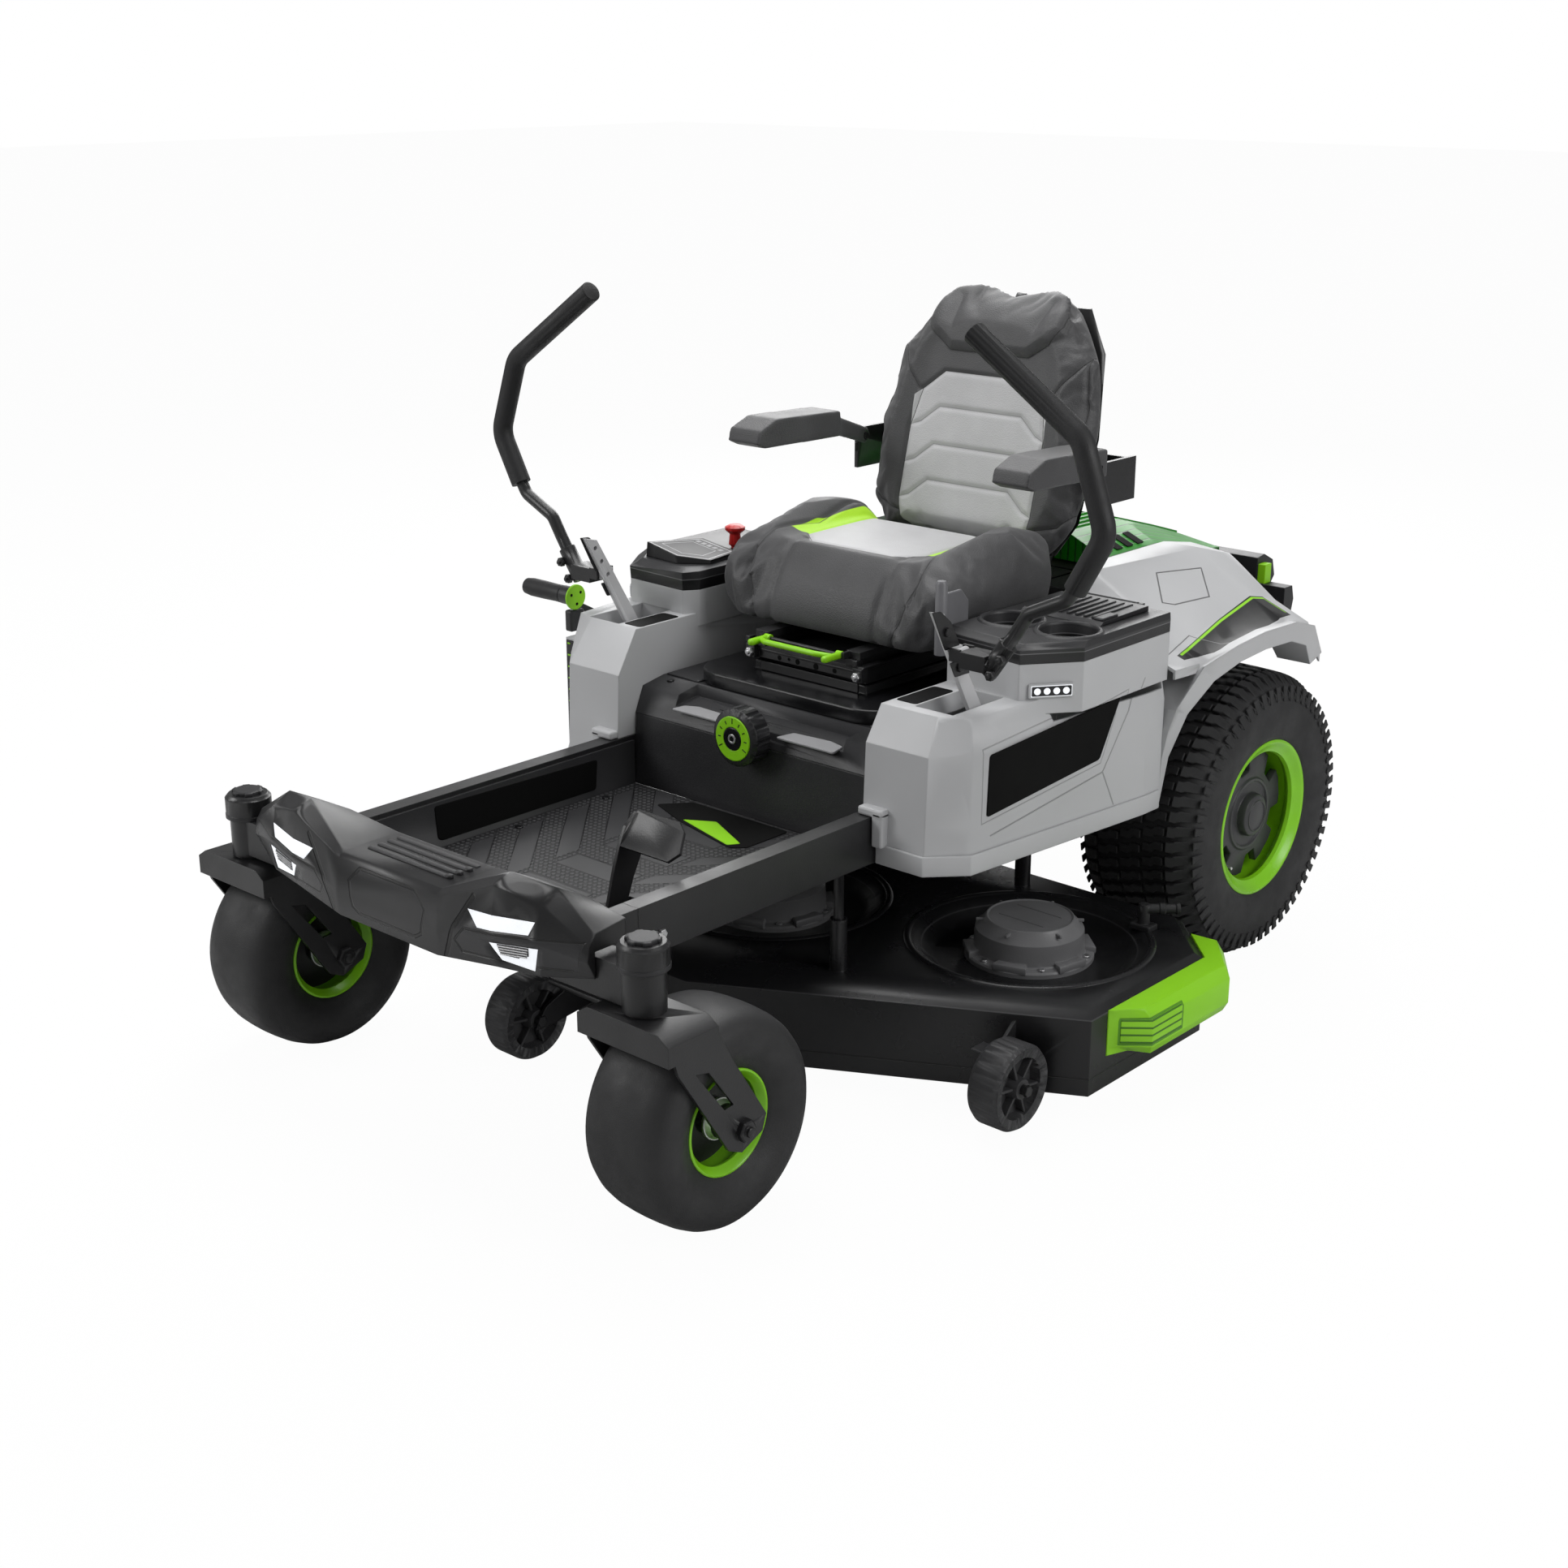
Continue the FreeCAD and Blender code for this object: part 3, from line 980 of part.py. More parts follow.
def make_rear_body():
    """Tail panel between the fenders, the batteries on the shelf, and the hinged lid over them."""
    panel = prism("tail", "YZ_Plane", [
        ("lid_rear_y + 6", "598"), ("tail_rear_y - 14", "592"), ("tail_rear_y", "608"),
        ("tail_rear_y - 10", "640"), ("lid_rear_y + 30", "656"), ("lid_rear_y + 6", "652")], "-322", "322")
    beam = prism("tail_beam", "YZ_Plane", [
        ("lid_rear_y + 6", "550"), ("lid_rear_y + 36", "552"), ("lid_rear_y + 42", "576"),
        ("lid_rear_y + 34", "603"), ("lid_rear_y + 6", "603")], "-384", "384")
    arm = block("tail_arms", "-(rail_out_x - 60)", "rail_out_x - 60", "rail_rear_y + 112", "lid_rear_y + 6",
                "rail_top_z + seat_gap + shelf_t + 0.3", "rail_top_z + 26")
    upright = block("tail_upright", "-(rail_out_x - 60)", "rail_out_x - 60", "lid_rear_y - 4",
                    "lid_rear_y + 7", "rail_top_z + 12", "600")
    node("tail_panel", fuse("tail_panel", panel, beam, arm, upright, *lid_ears()))
    lamps = []
    for side in (1, -1):
        x0, x1 = flip(side, "322.3", "338")
        lamps.append(block(f"tail_lamp{side}", x0, x1, "lid_rear_y + 8", "lid_rear_y + 30", "603.3", "640"))
    packs = []
    for row in range(2):
        for column in range(3):
            x0 = f"({column} - 1.5) * (battery_l + 6) + 3"
            y0 = f"shelf_front_y + 24 + {row} * (battery_w + 8)"
            packs.append(block(f"battery{row}{column}", x0, f"{x0} + battery_l", y0, f"{y0} + battery_w",
                               "shelf_top_z - shelf_t + 1.1", "shelf_top_z - shelf_t + 1.1 + battery_h"))
    node("battery_packs", group("battery_packs", *packs))
    f, r = size("lid_front_y"), size("lid_rear_y")
    half = size("lid_half_x") - 1.5

    def lid_section(y, top, edge, narrow):
        w = half * narrow
        return [(-w, y, edge - 8), (-w, y, edge), (-w * 0.62, y, top), (w * 0.62, y, top), (w, y, edge),
                (w, y, edge - 8)]

    outer = [lid_section(f, 744, 700, 1.0), lid_section(f + 170, 742, 700, 1.0),
             lid_section(f + 300, 706, 676, 0.98),
             lid_section(r, 676, 662, 0.92)]
    inner = [[(x * 0.985, y + (4 if y < f + 1 else -4 if y > r - 1 else 0), z - 4) for x, y, z in s]
             for s in outer]
    skin = loft(outer).cut(loft(inner))
    return lamps, skin


def lid_ears():
    """Two ears on the tail panel with the pin that the battery lid turns on."""
    y, z = "lid_rear_y + 5.5", "lid_pin_z"
    parts = [rod("lid_pin", "X", "lid_pin_r", "-46", "46", y, z)]
    for side in (1, -1):
        x0, x1 = flip(side, "40", "52")
        parts.append(rod(f"lid_ear{side}", "X", "lid_pin_r + 2", x0, x1, y, z))
        parts.append(block(f"lid_ear_foot{side}", x0, x1, f"{y} - 4", f"{y} + 5", "lid_pin_z - 24",
                           "lid_pin_z"))
    return parts


def make_lid(skin):
    """The translucent battery lid with the knuckle at its rear edge."""
    y, z = size("lid_rear_y") + 5.5, size("lid_pin_z")
    knuckle = Part.makeCylinder(size("lid_pin_r") + 2.5, 78, Vector(-39, y, z), Vector(1, 0, 0))
    knuckle = knuckle.fuse(Part.makeBox(78, 8, 9, Vector(-39, y - 8.5, z - 3)))
    bore = Part.makeCylinder(size("lid_pin_r") + size("run_gap"), 90, Vector(-45, y, z), Vector(1, 0, 0))
    node("battery_lid", solid("battery_lid", skin.fuse(knuckle).cut(bore)))


# ---------------------------------------------------------------- controls
def make_lap_levers():
    """Steel drive levers on pins beside the rails; each carries the hinge of its lap bar."""
    for side in (1, -1):
        tag = "left" if side > 0 else "right"
        x0, x1 = flip(side, "lever_x - lever_t / 2", "lever_x + lever_t / 2")
        run = "(lever_top_z - lever_pivot_z) * lever_lean"
        plate = prism(f"lever_{tag}_plate", "YZ_Plane", [
            ("lever_pivot_y - lever_w / 2", "lever_pivot_z - 14"), ("lever_pivot_y + lever_w / 2",
                                                                    "lever_pivot_z - 14"),
            ("lever_pivot_y + lever_w / 2 + 2", "lever_pivot_z + 14"),
            (f"lever_pivot_y + lever_w / 2 - {run}", "lever_top_z - 4"),
            (f"lever_pivot_y - lever_w / 2 - {run}", "lever_top_z + 3"),
            ("lever_pivot_y - lever_w / 2 - 2", "lever_pivot_z + 8")], x0, x1)
        b0, b1 = flip(side, "lever_x + lever_t / 2 - 1", "bar_hinge_x - bar_pin_r - 3")
        boss = block(f"lever_{tag}_boss", b0, b1, "bar_y - 14", "bar_y + 14", "bar_hinge_z - 9",
                     "bar_hinge_z + 9")
        barrel = rod(f"lever_{tag}_barrel", "Y", "bar_pin_r + 4", "bar_y - 14", "bar_y + 14",
                     "bar_hinge_x" if side > 0 else "-bar_hinge_x", "bar_hinge_z")
        holes = [rod(f"lever_{tag}_bore", "X", "lever_pin_r + run_gap", f"{x0} - 2", f"{x1} + 2",
                     "lever_pivot_y", "lever_pivot_z"),
                 rod(f"lever_{tag}_hinge", "Y", "bar_pin_r + run_gap", "bar_y - 20", "bar_y + 20",
                     "bar_hinge_x" if side > 0 else "-bar_hinge_x", "bar_hinge_z")]
        for k in range(3):
            drop = 18 + 26 * k
            holes.append(rod(f"lever_{tag}_hole{k}", "X", "4", f"{x0} - 2", f"{x1} + 2",
                             f"lever_pivot_y - (lever_top_z - {drop} - lever_pivot_z) * lever_lean",
                             f"lever_top_z - {drop}"))
        node(f"lap_lever_{tag}", cut(f"lap_lever_{tag}", fuse(f"lap_lever_{tag}", plate, boss, barrel),
                                     *holes))


def make_lap_bars():
    """Bent lap bars in their clamps, each with a foam grip, hinged on the drive levers."""
    y, hx, hz = size("bar_y"), size("bar_hinge_x"), size("bar_hinge_z")
    pin_r, bar_r, grip_r = size("bar_pin_r"), size("tube_r"), size("grip_r")
    path = [(hx + 58, y, hz - 16), (hx + 104, y, hz + 50), (hx + 126, y, hz + 84), (hx + 194, y, hz + 116)]
    core_end = (hx + 216, y, hz + 150)
    grip_path = [(hx + 208, y, hz + 134), (hx + 257, y, hz + 222), (hx + 208, y, hz + 358),
                 (hx + 8, y, hz + 492)]
    for side in (1, -1):
        tag = "left" if side > 0 else "right"
        route = [(side * px, py, pz) for px, py, pz in path + [core_end]]
        bar = tube(route, bar_r, 26)
        grip = tube([(side * px, py, pz) for px, py, pz in grip_path], grip_r, 46)
        start = Vector(side * path[0][0], y, path[0][2])
        aim = Vector(side * (path[1][0] - path[0][0]), 0, path[1][2] - path[0][2]).normalize()
        sleeve = Part.makeCylinder(bar_r + 4, 62, start - aim * 6, aim)
        arm_low, arm_high = hx + pin_r + 6.5, path[0][0] + 2
        web = Part.makeBox(arm_high - arm_low, 40, 26, Vector(arm_low, y - 20, hz - 18))
        ears = [Part.makeBox(arm_low - hx + pin_r + 4.5, 5.5, 20, Vector(hx - pin_r - 3.5, y + at, hz - 10))
                for at in (-20, 14.5)]
        pin = Part.makeCylinder(pin_r, 40, Vector(hx, y - 20, hz), Vector(0, 1, 0))
        clamp = web.fuse(ears + [pin])
        if side < 0:
            clamp = clamp.mirror(Vector(), Vector(1, 0, 0))
        shape = clamp.fuse([sleeve, bar]).cut(grip)
        node(f"lap_bar_{tag}", solid(f"lap_bar_{tag}", shape))
        node(f"lap_grip_{tag}", solid(f"lap_grip_{tag}", grip))


def make_height_lever():
    """Height-of-cut lever beside the right pod, and the thumb button in its hub."""
    arm = prism("height_arm", "YZ_Plane", [
        ("height_pivot_y - 14", "height_pivot_z - 16"), ("height_pivot_y + 16", "height_pivot_z - 12"),
        ("height_pivot_y + 12", "height_pivot_z + 16"), ("height_hub_y + 14", "height_hub_z - 12"),
        ("height_hub_y + 6", "height_hub_z + 12"), ("height_hub_y - 12", "height_hub_z - 4")],
        "-(height_x + height_t)", "-(height_x)")
    hub = rod("height_hub", "X", "height_hub_r - 4", "-(height_x + 22)", "-(height_x)", "height_hub_y",
              "height_hub_z")
    grip = rod("height_grip", "X", "15", "-(height_x + 122)", "-(height_x + 20)", "height_hub_y",
               "height_hub_z")
    bore = rod("height_bore", "X", "8 + run_gap", "-(height_x + 12)", "-(height_x - 2)", "height_pivot_y",
               "height_pivot_z")
    button_bore = rod("height_button_bore", "X", "9 + run_gap", "-(height_x + 14)", "-(height_x - 2)",
                      "height_hub_y", "height_hub_z")
    lever = fuse("height_lever", arm, hub, grip)
    node("height_lever", cut("height_lever", lever, bore, button_bore))
    button = turned("height_button", "X", [
        ("0", "-9"), ("9", "-9"), ("9", "3.2"), ("height_hub_r", "3.2"), ("height_hub_r", "7"),
        ("height_hub_r - 5", "8.5"), ("0", "8.5")], "-(height_x)", "height_hub_y", "height_hub_z")
    node("height_button", button)


# ---------------------------------------------------------------- wheels
def tyre(name, x, y, z, radius, half, rim, bead, shoulder, drop):
    """A tyre turned from arcs; shoulder is the tread's share of the half width, drop its fall there."""
    mid = rim + (radius - rim) * 0.46

    def at(r, across):
        return Vector(x + across, y, z + r)

    left_bead, left_mid, left_shoulder = at(rim, -bead), at(mid, -half), at(radius - drop, -half * shoulder)
    right_bead, right_mid, right_shoulder = at(rim, bead), at(mid, half), at(radius - drop, half * shoulder)
    wire = Part.Wire([
        Part.LineSegment(right_bead, left_bead).toShape(),
        Part.Arc(left_bead, left_mid, left_shoulder).toShape(),
        Part.Arc(left_shoulder, at(radius, 0), right_shoulder).toShape(),
        Part.Arc(right_shoulder, right_mid, right_bead).toShape()])
    ring = Part.Face(wire).revolve(Vector(x, y, z), Vector(1, 0, 0), 360)
    node(name, solid(name, ring))


def make_rear_wheels():
    for side in (1, -1):
        tag = "left" if side > 0 else "right"
        sign = "" if side > 0 else "-"
        tyre(f"rear_tyre_{tag}", side * size("rear_wheel_x"), size("rear_axle_y"), size("rear_tyre_r"),
             size("rear_tyre_r"), size("rear_tyre_w") / 2, size("rear_rim_r") + size("seat_gap"),
             size("rear_rim_w") / 2 - 8, 0.87, 5)
        points = [("drive_shaft_r + run_gap", "-10"), ("drive_shaft_r + run_gap", "40"), ("48", "40"),
                  ("48", "58"), ("96", "58"), ("120", "40"), ("124", "rear_rim_w / 2"),
                  ("rear_rim_r", "rear_rim_w / 2"), ("rear_rim_r", "-rear_rim_w / 2"),
                  ("rear_rim_r - 8", "-rear_rim_w / 2"), ("rear_rim_r - 14", "20"), ("96", "30"), ("60",
                                                                                                   "28"),
                  ("44", "-10")]
        if side < 0:
            points = [(r, f"-({h})") for r, h in points]
        node(f"rear_rim_{tag}", turned(f"rear_rim_{tag}", "X", points, f"{sign}rear_wheel_x", "rear_axle_y",
                                       "rear_tyre_r"))


def make_casters():
    """Caster forks with their axle bolts, and the front wheels."""
    axle_y = "caster_y + caster_trail"
    for side in (1, -1):
        tag = "left" if side > 0 else "right"
        sign = "" if side > 0 else "-"
        post = f"{sign}caster_x"
        leg = "fork_leg_x + fork_leg_t"
        crown = prism(f"crown_{tag}", "XZ_Plane", [
            (f"{post} - ({leg})", "crown_bottom_z - 26"), (f"{post} - fork_leg_x", "crown_bottom_z - 26"),
            (f"{post} - fork_leg_x", "crown_bottom_z"), (f"{post} + fork_leg_x", "crown_bottom_z"),
            (f"{post} + fork_leg_x", "crown_bottom_z - 26"), (f"{post} + ({leg})", "crown_bottom_z - 26"),
            (f"{post} + ({leg})", "crown_top_z - 13"), (f"{post} + fork_leg_x - 14", "crown_top_z"),
            (f"{post} - fork_leg_x + 14", "crown_top_z"), (f"{post} - ({leg})", "crown_top_z - 13")],
            "caster_y - 44", "caster_y + 52")
        apron = block(f"apron_{tag}", f"{post} - fork_leg_x", f"{post} + fork_leg_x", "caster_y - 44",
                      "caster_y - 38", "crown_bottom_z - 26", "crown_bottom_z + 1")
        stem = rod(f"stem_{tag}", "Z", "stem_r", "crown_top_z - 2", "barrel_top_z + 10", post, "caster_y")
        nut = rod(f"stem_{tag}_nut", "Z", "stem_r + 6", "barrel_top_z + 0.4", "cap_top_z - 5.5", post,
                  "caster_y")
        washer = rod(f"stem_{tag}_washer", "Z", "barrel_r - 4", "crown_top_z - 1",
                     "barrel_bottom_z - seat_gap",
                     post, "caster_y")
        parts = [crown, apron, stem, nut, washer]
        for hand in (1, -1):
            x0 = f"{post} + fork_leg_x" if hand > 0 else f"{post} - ({leg})"
            x1 = f"{post} + {leg}" if hand > 0 else f"{post} - fork_leg_x"
            parts.append(prism(f"leg_{tag}{hand}", "YZ_Plane", [
                ("caster_y - 38", "crown_bottom_z - 4"), ("caster_y + 52", "crown_bottom_z - 4"),
                ("caster_y + 82", "front_tyre_r + 110"), (f"{axle_y} + 46", "front_tyre_r + 8"),
                (f"{axle_y} + 38", "front_tyre_r - 16"), (f"{axle_y} - 4", "front_tyre_r - 34"),
                (f"{axle_y} - 30", "front_tyre_r - 22"), ("caster_y - 26", "front_tyre_r + 128")], x0, x1))
        window = prism(f"window_{tag}", "YZ_Plane", [
            ("caster_y + 6", "front_tyre_r + 118"), ("caster_y + 32", "front_tyre_r + 112"),
            (f"{axle_y} - 20", "front_tyre_r + 46"), (f"{axle_y} - 38", "front_tyre_r + 44")],
            f"{post} - 100", f"{post} + 100")
        bore = rod(f"fork_{tag}_bore", "X", "axle_bolt_r", f"{post} - 100", f"{post} + 100", axle_y,
                   "front_tyre_r")
        fork = cut(f"fork_{tag}", fuse(f"fork_{tag}", *parts), window, bore)
        shank = rod(f"axle_{tag}", "X", "axle_bolt_r", f"{post} - ({leg})", f"{post} + {leg}", axle_y,
                    "front_tyre_r")
        head = rod(f"axle_{tag}_head", "X", "axle_bolt_r + 5", f"{post} + {leg}", f"{post} + {leg} + 9",
                   axle_y,
                   "front_tyre_r")
        tail = rod(f"axle_{tag}_nut", "X", "axle_bolt_r + 5", f"{post} - ({leg}) - 9",
                   f"{post} - ({leg})", axle_y,
                   "front_tyre_r")
        node(f"caster_fork_{tag}", fuse(f"caster_fork_{tag}", fork, shank, head, tail))
        tyre(f"front_tyre_{tag}", side * size("caster_x"), size("caster_y") + size("caster_trail"),
             size("front_tyre_r"), size("front_tyre_r"), size("front_tyre_w") / 2,
             size("front_rim_r") + size("seat_gap"), size("front_rim_w") / 2, 0.70, 14)
        rim = turned(f"front_rim_{tag}", "X", [
            ("axle_bolt_r + run_gap", "-(fork_leg_x - 2)"), ("axle_bolt_r + run_gap", "fork_leg_x - 2"),
            ("20", "fork_leg_x - 2"), ("22", "10"), ("62", "8"), ("70", "front_rim_w / 2 - 16"),
            ("72", "front_rim_w / 2 - 2"), ("front_rim_r", "front_rim_w / 2 - 2"),
            ("front_rim_r", "-(front_rim_w / 2 - 2)"), ("72", "-(front_rim_w / 2 - 2)"),
            ("70", "-(front_rim_w / 2 - 16)"), ("62", "-8"), ("22", "-10"), ("20", "-(fork_leg_x - 2)")],
            post, axle_y, "front_tyre_r")
        node(f"front_rim_{tag}", rim)


# ---------------------------------------------------------------- deck
def deck_plan(inset):
    half, rear = size("deck_half_x") - inset, size("deck_rear_y") - inset
    corner = size("deck_corner_y") + inset
    nose_y, nose_x = size("deck_nose_y") + inset, size("deck_nose_x") - inset * 0.5
    return [(-nose_x, nose_y), (nose_x, nose_y), (half, corner), (half, rear - 110), (half - 110, rear),
            (-half + 110, rear), (-half, rear - 110), (-half, corner)]


def spindles():
    return ((size("spindle_x"), size("spindle_y")), (0.0, size("nose_spindle_y")),
            (-size("spindle_x"), size("spindle_y")))


def guide_places():
    """Where the deck's guide sleeves run on the pins below the rails."""
    x = (size("rail_in_x") + size("rail_out_x")) / 2
    return [(side * x, y) for side in (1, -1) for y in (-300.0, 200.0)]


def roller_pocket(side, margin):
    """Room for a side roller in the deck's front skirt, grown by the margin."""
    half = size("roller_w") / 2 + 2 + margin
    start = Vector(side * size("side_roller_x") - half, size("side_roller_y"), size("roller_z"))
    return Part.makeCylinder(size("roller_r") + 1 + margin, 2 * half, start, Vector(1, 0, 0))


def make_deck():
    """Mower deck: pressed shell with three motor wells, roller arms and the side discharge."""
    low, top, wall = size("deck_bottom_z"), size("deck_top_z"), size("deck_wall")
    outer = loft([[(x, y, z) for x, y in deck_plan(0)] for z in (low, top - 12)]).fuse(
        loft([[(x, y, z) for x, y in deck_plan(step)] for z, step in ((top - 12, 0), (top, 12))]))
    inner = loft([[(x, y, z) for x, y in deck_plan(wall)] for z in (low - 1, top - 14)]).fuse(
        loft([[(x, y, z) for x, y in deck_plan(step)] for z, step in ((top - 14, wall), (top - wall, 13))]))
    shell = outer.cut(inner)
    floor = size("well_floor_z")
    for x, y in spindles():
        cone = Part.makeCone(size("well_r") - 38, size("well_r"), top - floor, Vector(x, y, floor))
        cup = Part.makeCone(size("well_r") - 34, size("well_r") + 4, top - floor,
                            Vector(x, y, floor - wall))
        rough = cup.common(outer)
        shell = shell.fuse(rough).cut(cone.translated(Vector(0, 0, 0.01)))
        shell = shell.cut(Part.makeCylinder(size("motor_r") - 25, 60, Vector(x, y, floor - 30)))
    mouth = Part.makeBox(60, size("chute_rear_y") - size("chute_front_y"), top - 34 - low,
                         Vector(-size("deck_half_x") - 30, size("chute_front_y"), low + 6))
    shell = shell.cut(mouth)
    for side in (1, -1):
        shell = shell.fuse(roller_pocket(side, 9).common(outer)).cut(roller_pocket(side, 4))
    parts = []
    pin_r = size("roller_pin_r")
    for side in (1, -1):
        x, y = side * size("side_roller_x"), size("side_roller_y")
        edge = x - side * (size("roller_w") / 2 + 4)
        arm_x = min(edge, edge - side * 6)
        arm = [(y - 14, size("roller_z") - 14), (y + 14, size("roller_z") - 14), (y + 64, 96),
               (y + 96, 150),
               (y + 60, 156), (y - 14, size("roller_z") + 16)]
        face = Part.Face(Part.makePolygon([Vector(arm_x, v, w) for v, w in arm + arm[:1]]))
        parts.append(face.extrude(Vector(6, 0, 0)))
        first = x - side * (size("roller_w") / 2 + 8)
        parts.append(Part.makeCylinder(pin_r, size("roller_w") + 14, Vector(first, y, size("roller_z")),
                                       Vector(side, 0, 0)))
    x, y = -size("nose_roller_x"), size("nose_roller_y")
    for shift in (-1, 1):
        left = x + shift * (size("roller_w") / 2 + 4 + 3) - 3
        arm = [(y - 14, size("roller_z") - 12), (y + 14, size("roller_z") - 14),
               (size("deck_nose_y") + 1, 78), (size("deck_nose_y") + 1, 150), (y + 10, size("roller_z") + 22)]
        face = Part.Face(Part.makePolygon([Vector(left, v, w) for v, w in arm + arm[:1]]))
        parts.append(face.extrude(Vector(6, 0, 0)))
    parts.append(Part.makeCylinder(pin_r, size("roller_w") + 20, Vector(x - size("roller_w") / 2 - 10, y,
                                                                        size("roller_z")), Vector(1, 0, 0)))
    hinge_z = size("chute_top_z")
    for y0 in (size("chute_front_y") - 16, size("chute_rear_y") + 4):
        parts.append(Part.makeBox(16, 12, 16, Vector(-size("deck_half_x") - 14, y0, hinge_z - 8)))
    parts.append(Part.makeCylinder(size("chute_pin_r"), size("chute_rear_y") - size("chute_front_y") + 24,
                                   Vector(-size("deck_half_x") - 7, size("chute_front_y") - 12, hinge_z),
                                   Vector(0, 1, 0)))
    sleeve_h = size("rail_bottom_z") - size("deck_travel") - top - 3.5
    sleeves, bores = [], []
    for x, y in guide_places():
        sleeves.append(Part.makeCylinder(size("guide_r") + 6, sleeve_h + 3, Vector(x, y, top - 3)))
        bores.append(Part.makeCylinder(size("guide_r") + size("run_gap"), sleeve_h + 1, Vector(x, y, top)))
    parts += sleeves
    shape = shell
    for piece in parts:
        shape = shape.fuse(piece)
    for bore in bores:
        shape = shape.cut(bore)
    node("deck_shell", solid("deck_shell", shape))


def guard_shape():
    """Bumper strip along the deck's left side, wrapping round its rear corner."""
    near, far = size("deck_half_x") + size("seat_gap"), size("guard_out_x")
    front, turn, rear = size("guard_front_y"), size("deck_rear_y") - 110, size("deck_rear_y")
    inside = [(near, front), (near, turn + 0.2), (near - 70, turn + 70.2)]
    low = [(near + 14, front + 40), (far - 6, front + 56), (far - 6, turn - 10), (near - 14, rear - 34)]
    high = [(near + 6, front + 4), (far - 14, front + 44), (far - 10, turn - 6), (near - 22, rear - 36)]
    wide = [(near + 12, front + 16), (far, front + 50), (far, turn - 4), (near - 12, rear - 28)]

    def section(outside, z):
        return [(x, y, z) for x, y in inside + outside[::-1]]

    return loft([section(low, 92), section(wide, 106), section(wide, 148), section(high, 170)])


def make_deck_fittings():
    """Blade motors in the wells, blades, rollers, side guard and discharge chute."""
    motors = []
    floor = "well_floor_z + seat_gap"
    for tag, (x, y) in zip(("left", "centre", "right"), spindles()):
        motors.append(turned(f"motor_{tag}", "Z", [
            ("spindle_r + 1", floor), ("motor_r", floor), ("motor_r", "well_floor_z + 10"),
            ("motor_r - 14", "well_floor_z + 14"), ("motor_r - 22", "motor_cap_z - 26"),
            ("motor_r - 34", "motor_cap_z - 6"), ("motor_r - 42", "motor_cap_z"), ("0", "motor_cap_z"),
            ("0", "motor_cap_z - 20"), ("spindle_r + 1", "motor_cap_z - 20")], str(x), str(y)))
        half = "blade_len / 2"
        bar = block(f"blade_{tag}_bar", f"{x} - {half}", f"{x} + {half}", f"{y} - blade_w / 2",
                    f"{y} + blade_w / 2",
                    "blade_z", "blade_z + blade_t")
        shaft = rod(f"blade_{tag}_shaft", "Z", "spindle_r", "blade_z - 8", "motor_cap_z - 22", str(x),
                    str(y))
        disc = rod(f"blade_{tag}_disc", "Z", "34", "blade_z + blade_t - 1", "blade_z + blade_t + 8",
                   str(x), str(y))
        node(f"blade_{tag}", fuse(f"blade_{tag}", bar, shaft, disc))
    node("deck_motors", group("deck_motors", *motors))
    for tag, x, y in (("left", "side_roller_x", "side_roller_y"),
                      ("right", "-side_roller_x", "side_roller_y"),
                      ("nose", "-nose_roller_x", "nose_roller_y")):
        half = "roller_w / 2"
        points = [("roller_pin_r + run_gap", f"-({half})"), ("roller_pin_r + run_gap", half), ("16", half),
                  ("20", "8"), ("46", "8"), ("50", f"{half} - 3"), ("roller_r - 5", half), ("roller_r",
                                                                                            f"{half} - 8"),
                  ("roller_r", f"-({half} - 8)"), ("roller_r - 5", f"-({half})"), ("50", f"-({half} - 3)"),
                  ("46", "-8"), ("20", "-8"), ("16", f"-({half})")]
        node(f"scalp_roller_{tag}", turned(f"scalp_roller_{tag}", "X", points, x, y, "roller_z"))
    node("deck_side_guard", solid("deck_side_guard", guard_shape()))
    hx, hz = "-(deck_half_x + 7)", "chute_top_z"
    knuckle = rod("chute_knuckle", "Y", "chute_pin_r + 2.5", "chute_front_y + 2", "chute_rear_y - 2",
                  hx, hz)
    flap = prism("chute_flap", "XZ_Plane", [
        (f"{hx} - 4", f"{hz} - 3"), (f"{hx} - 4", f"{hz} + 3"), ("-(guard_out_x - 14)",
                                                                 "140"), ("-guard_out_x", "104"),
        ("-guard_out_x", "62"), ("-(guard_out_x - 5)", "62"), ("-(guard_out_x - 5)", "102"),
        ("-(guard_out_x - 18)", "135")], "chute_front_y + 2", "chute_rear_y - 2")
    bore = rod("chute_bore", "Y", "chute_pin_r + run_gap", "chute_front_y", "chute_rear_y", hx, hz)
    node("discharge_chute", cut("discharge_chute", fuse("discharge_chute", knuckle, flap), bore))


# ---------------------------------------------------------------- assembly
make_main_frame()
make_front()
make_drive_motors()
lenses = make_bumper()
make_floor()
make_pedal()
make_seat_box()
make_knob()
make_suspension()
make_seat_pan()
make_slide_bar()
make_cushion()
make_back()
arm_lugs = make_armrests()
make_pods()
make_tray()
make_console()
make_fenders()
tail_lamps, lid_skin = make_rear_body()
make_lid(lid_skin)
lamp_solids = [solid(f"lamp{k}", s) for k, s in enumerate(lenses + make_side_lamps())]
node("lamp_lenses", group("lamp_lenses", *lamp_solids, *tail_lamps))
make_lap_levers()
make_lap_bars()
make_height_lever()
make_rear_wheels()
make_casters()
make_deck()
make_deck_fittings()

shell = NODES["seat_back_shell"]
shell.Label = "seat_back_plate"
node("seat_back_shell", fuse("seat_back", shell, *arm_lugs))

doc.recompute()

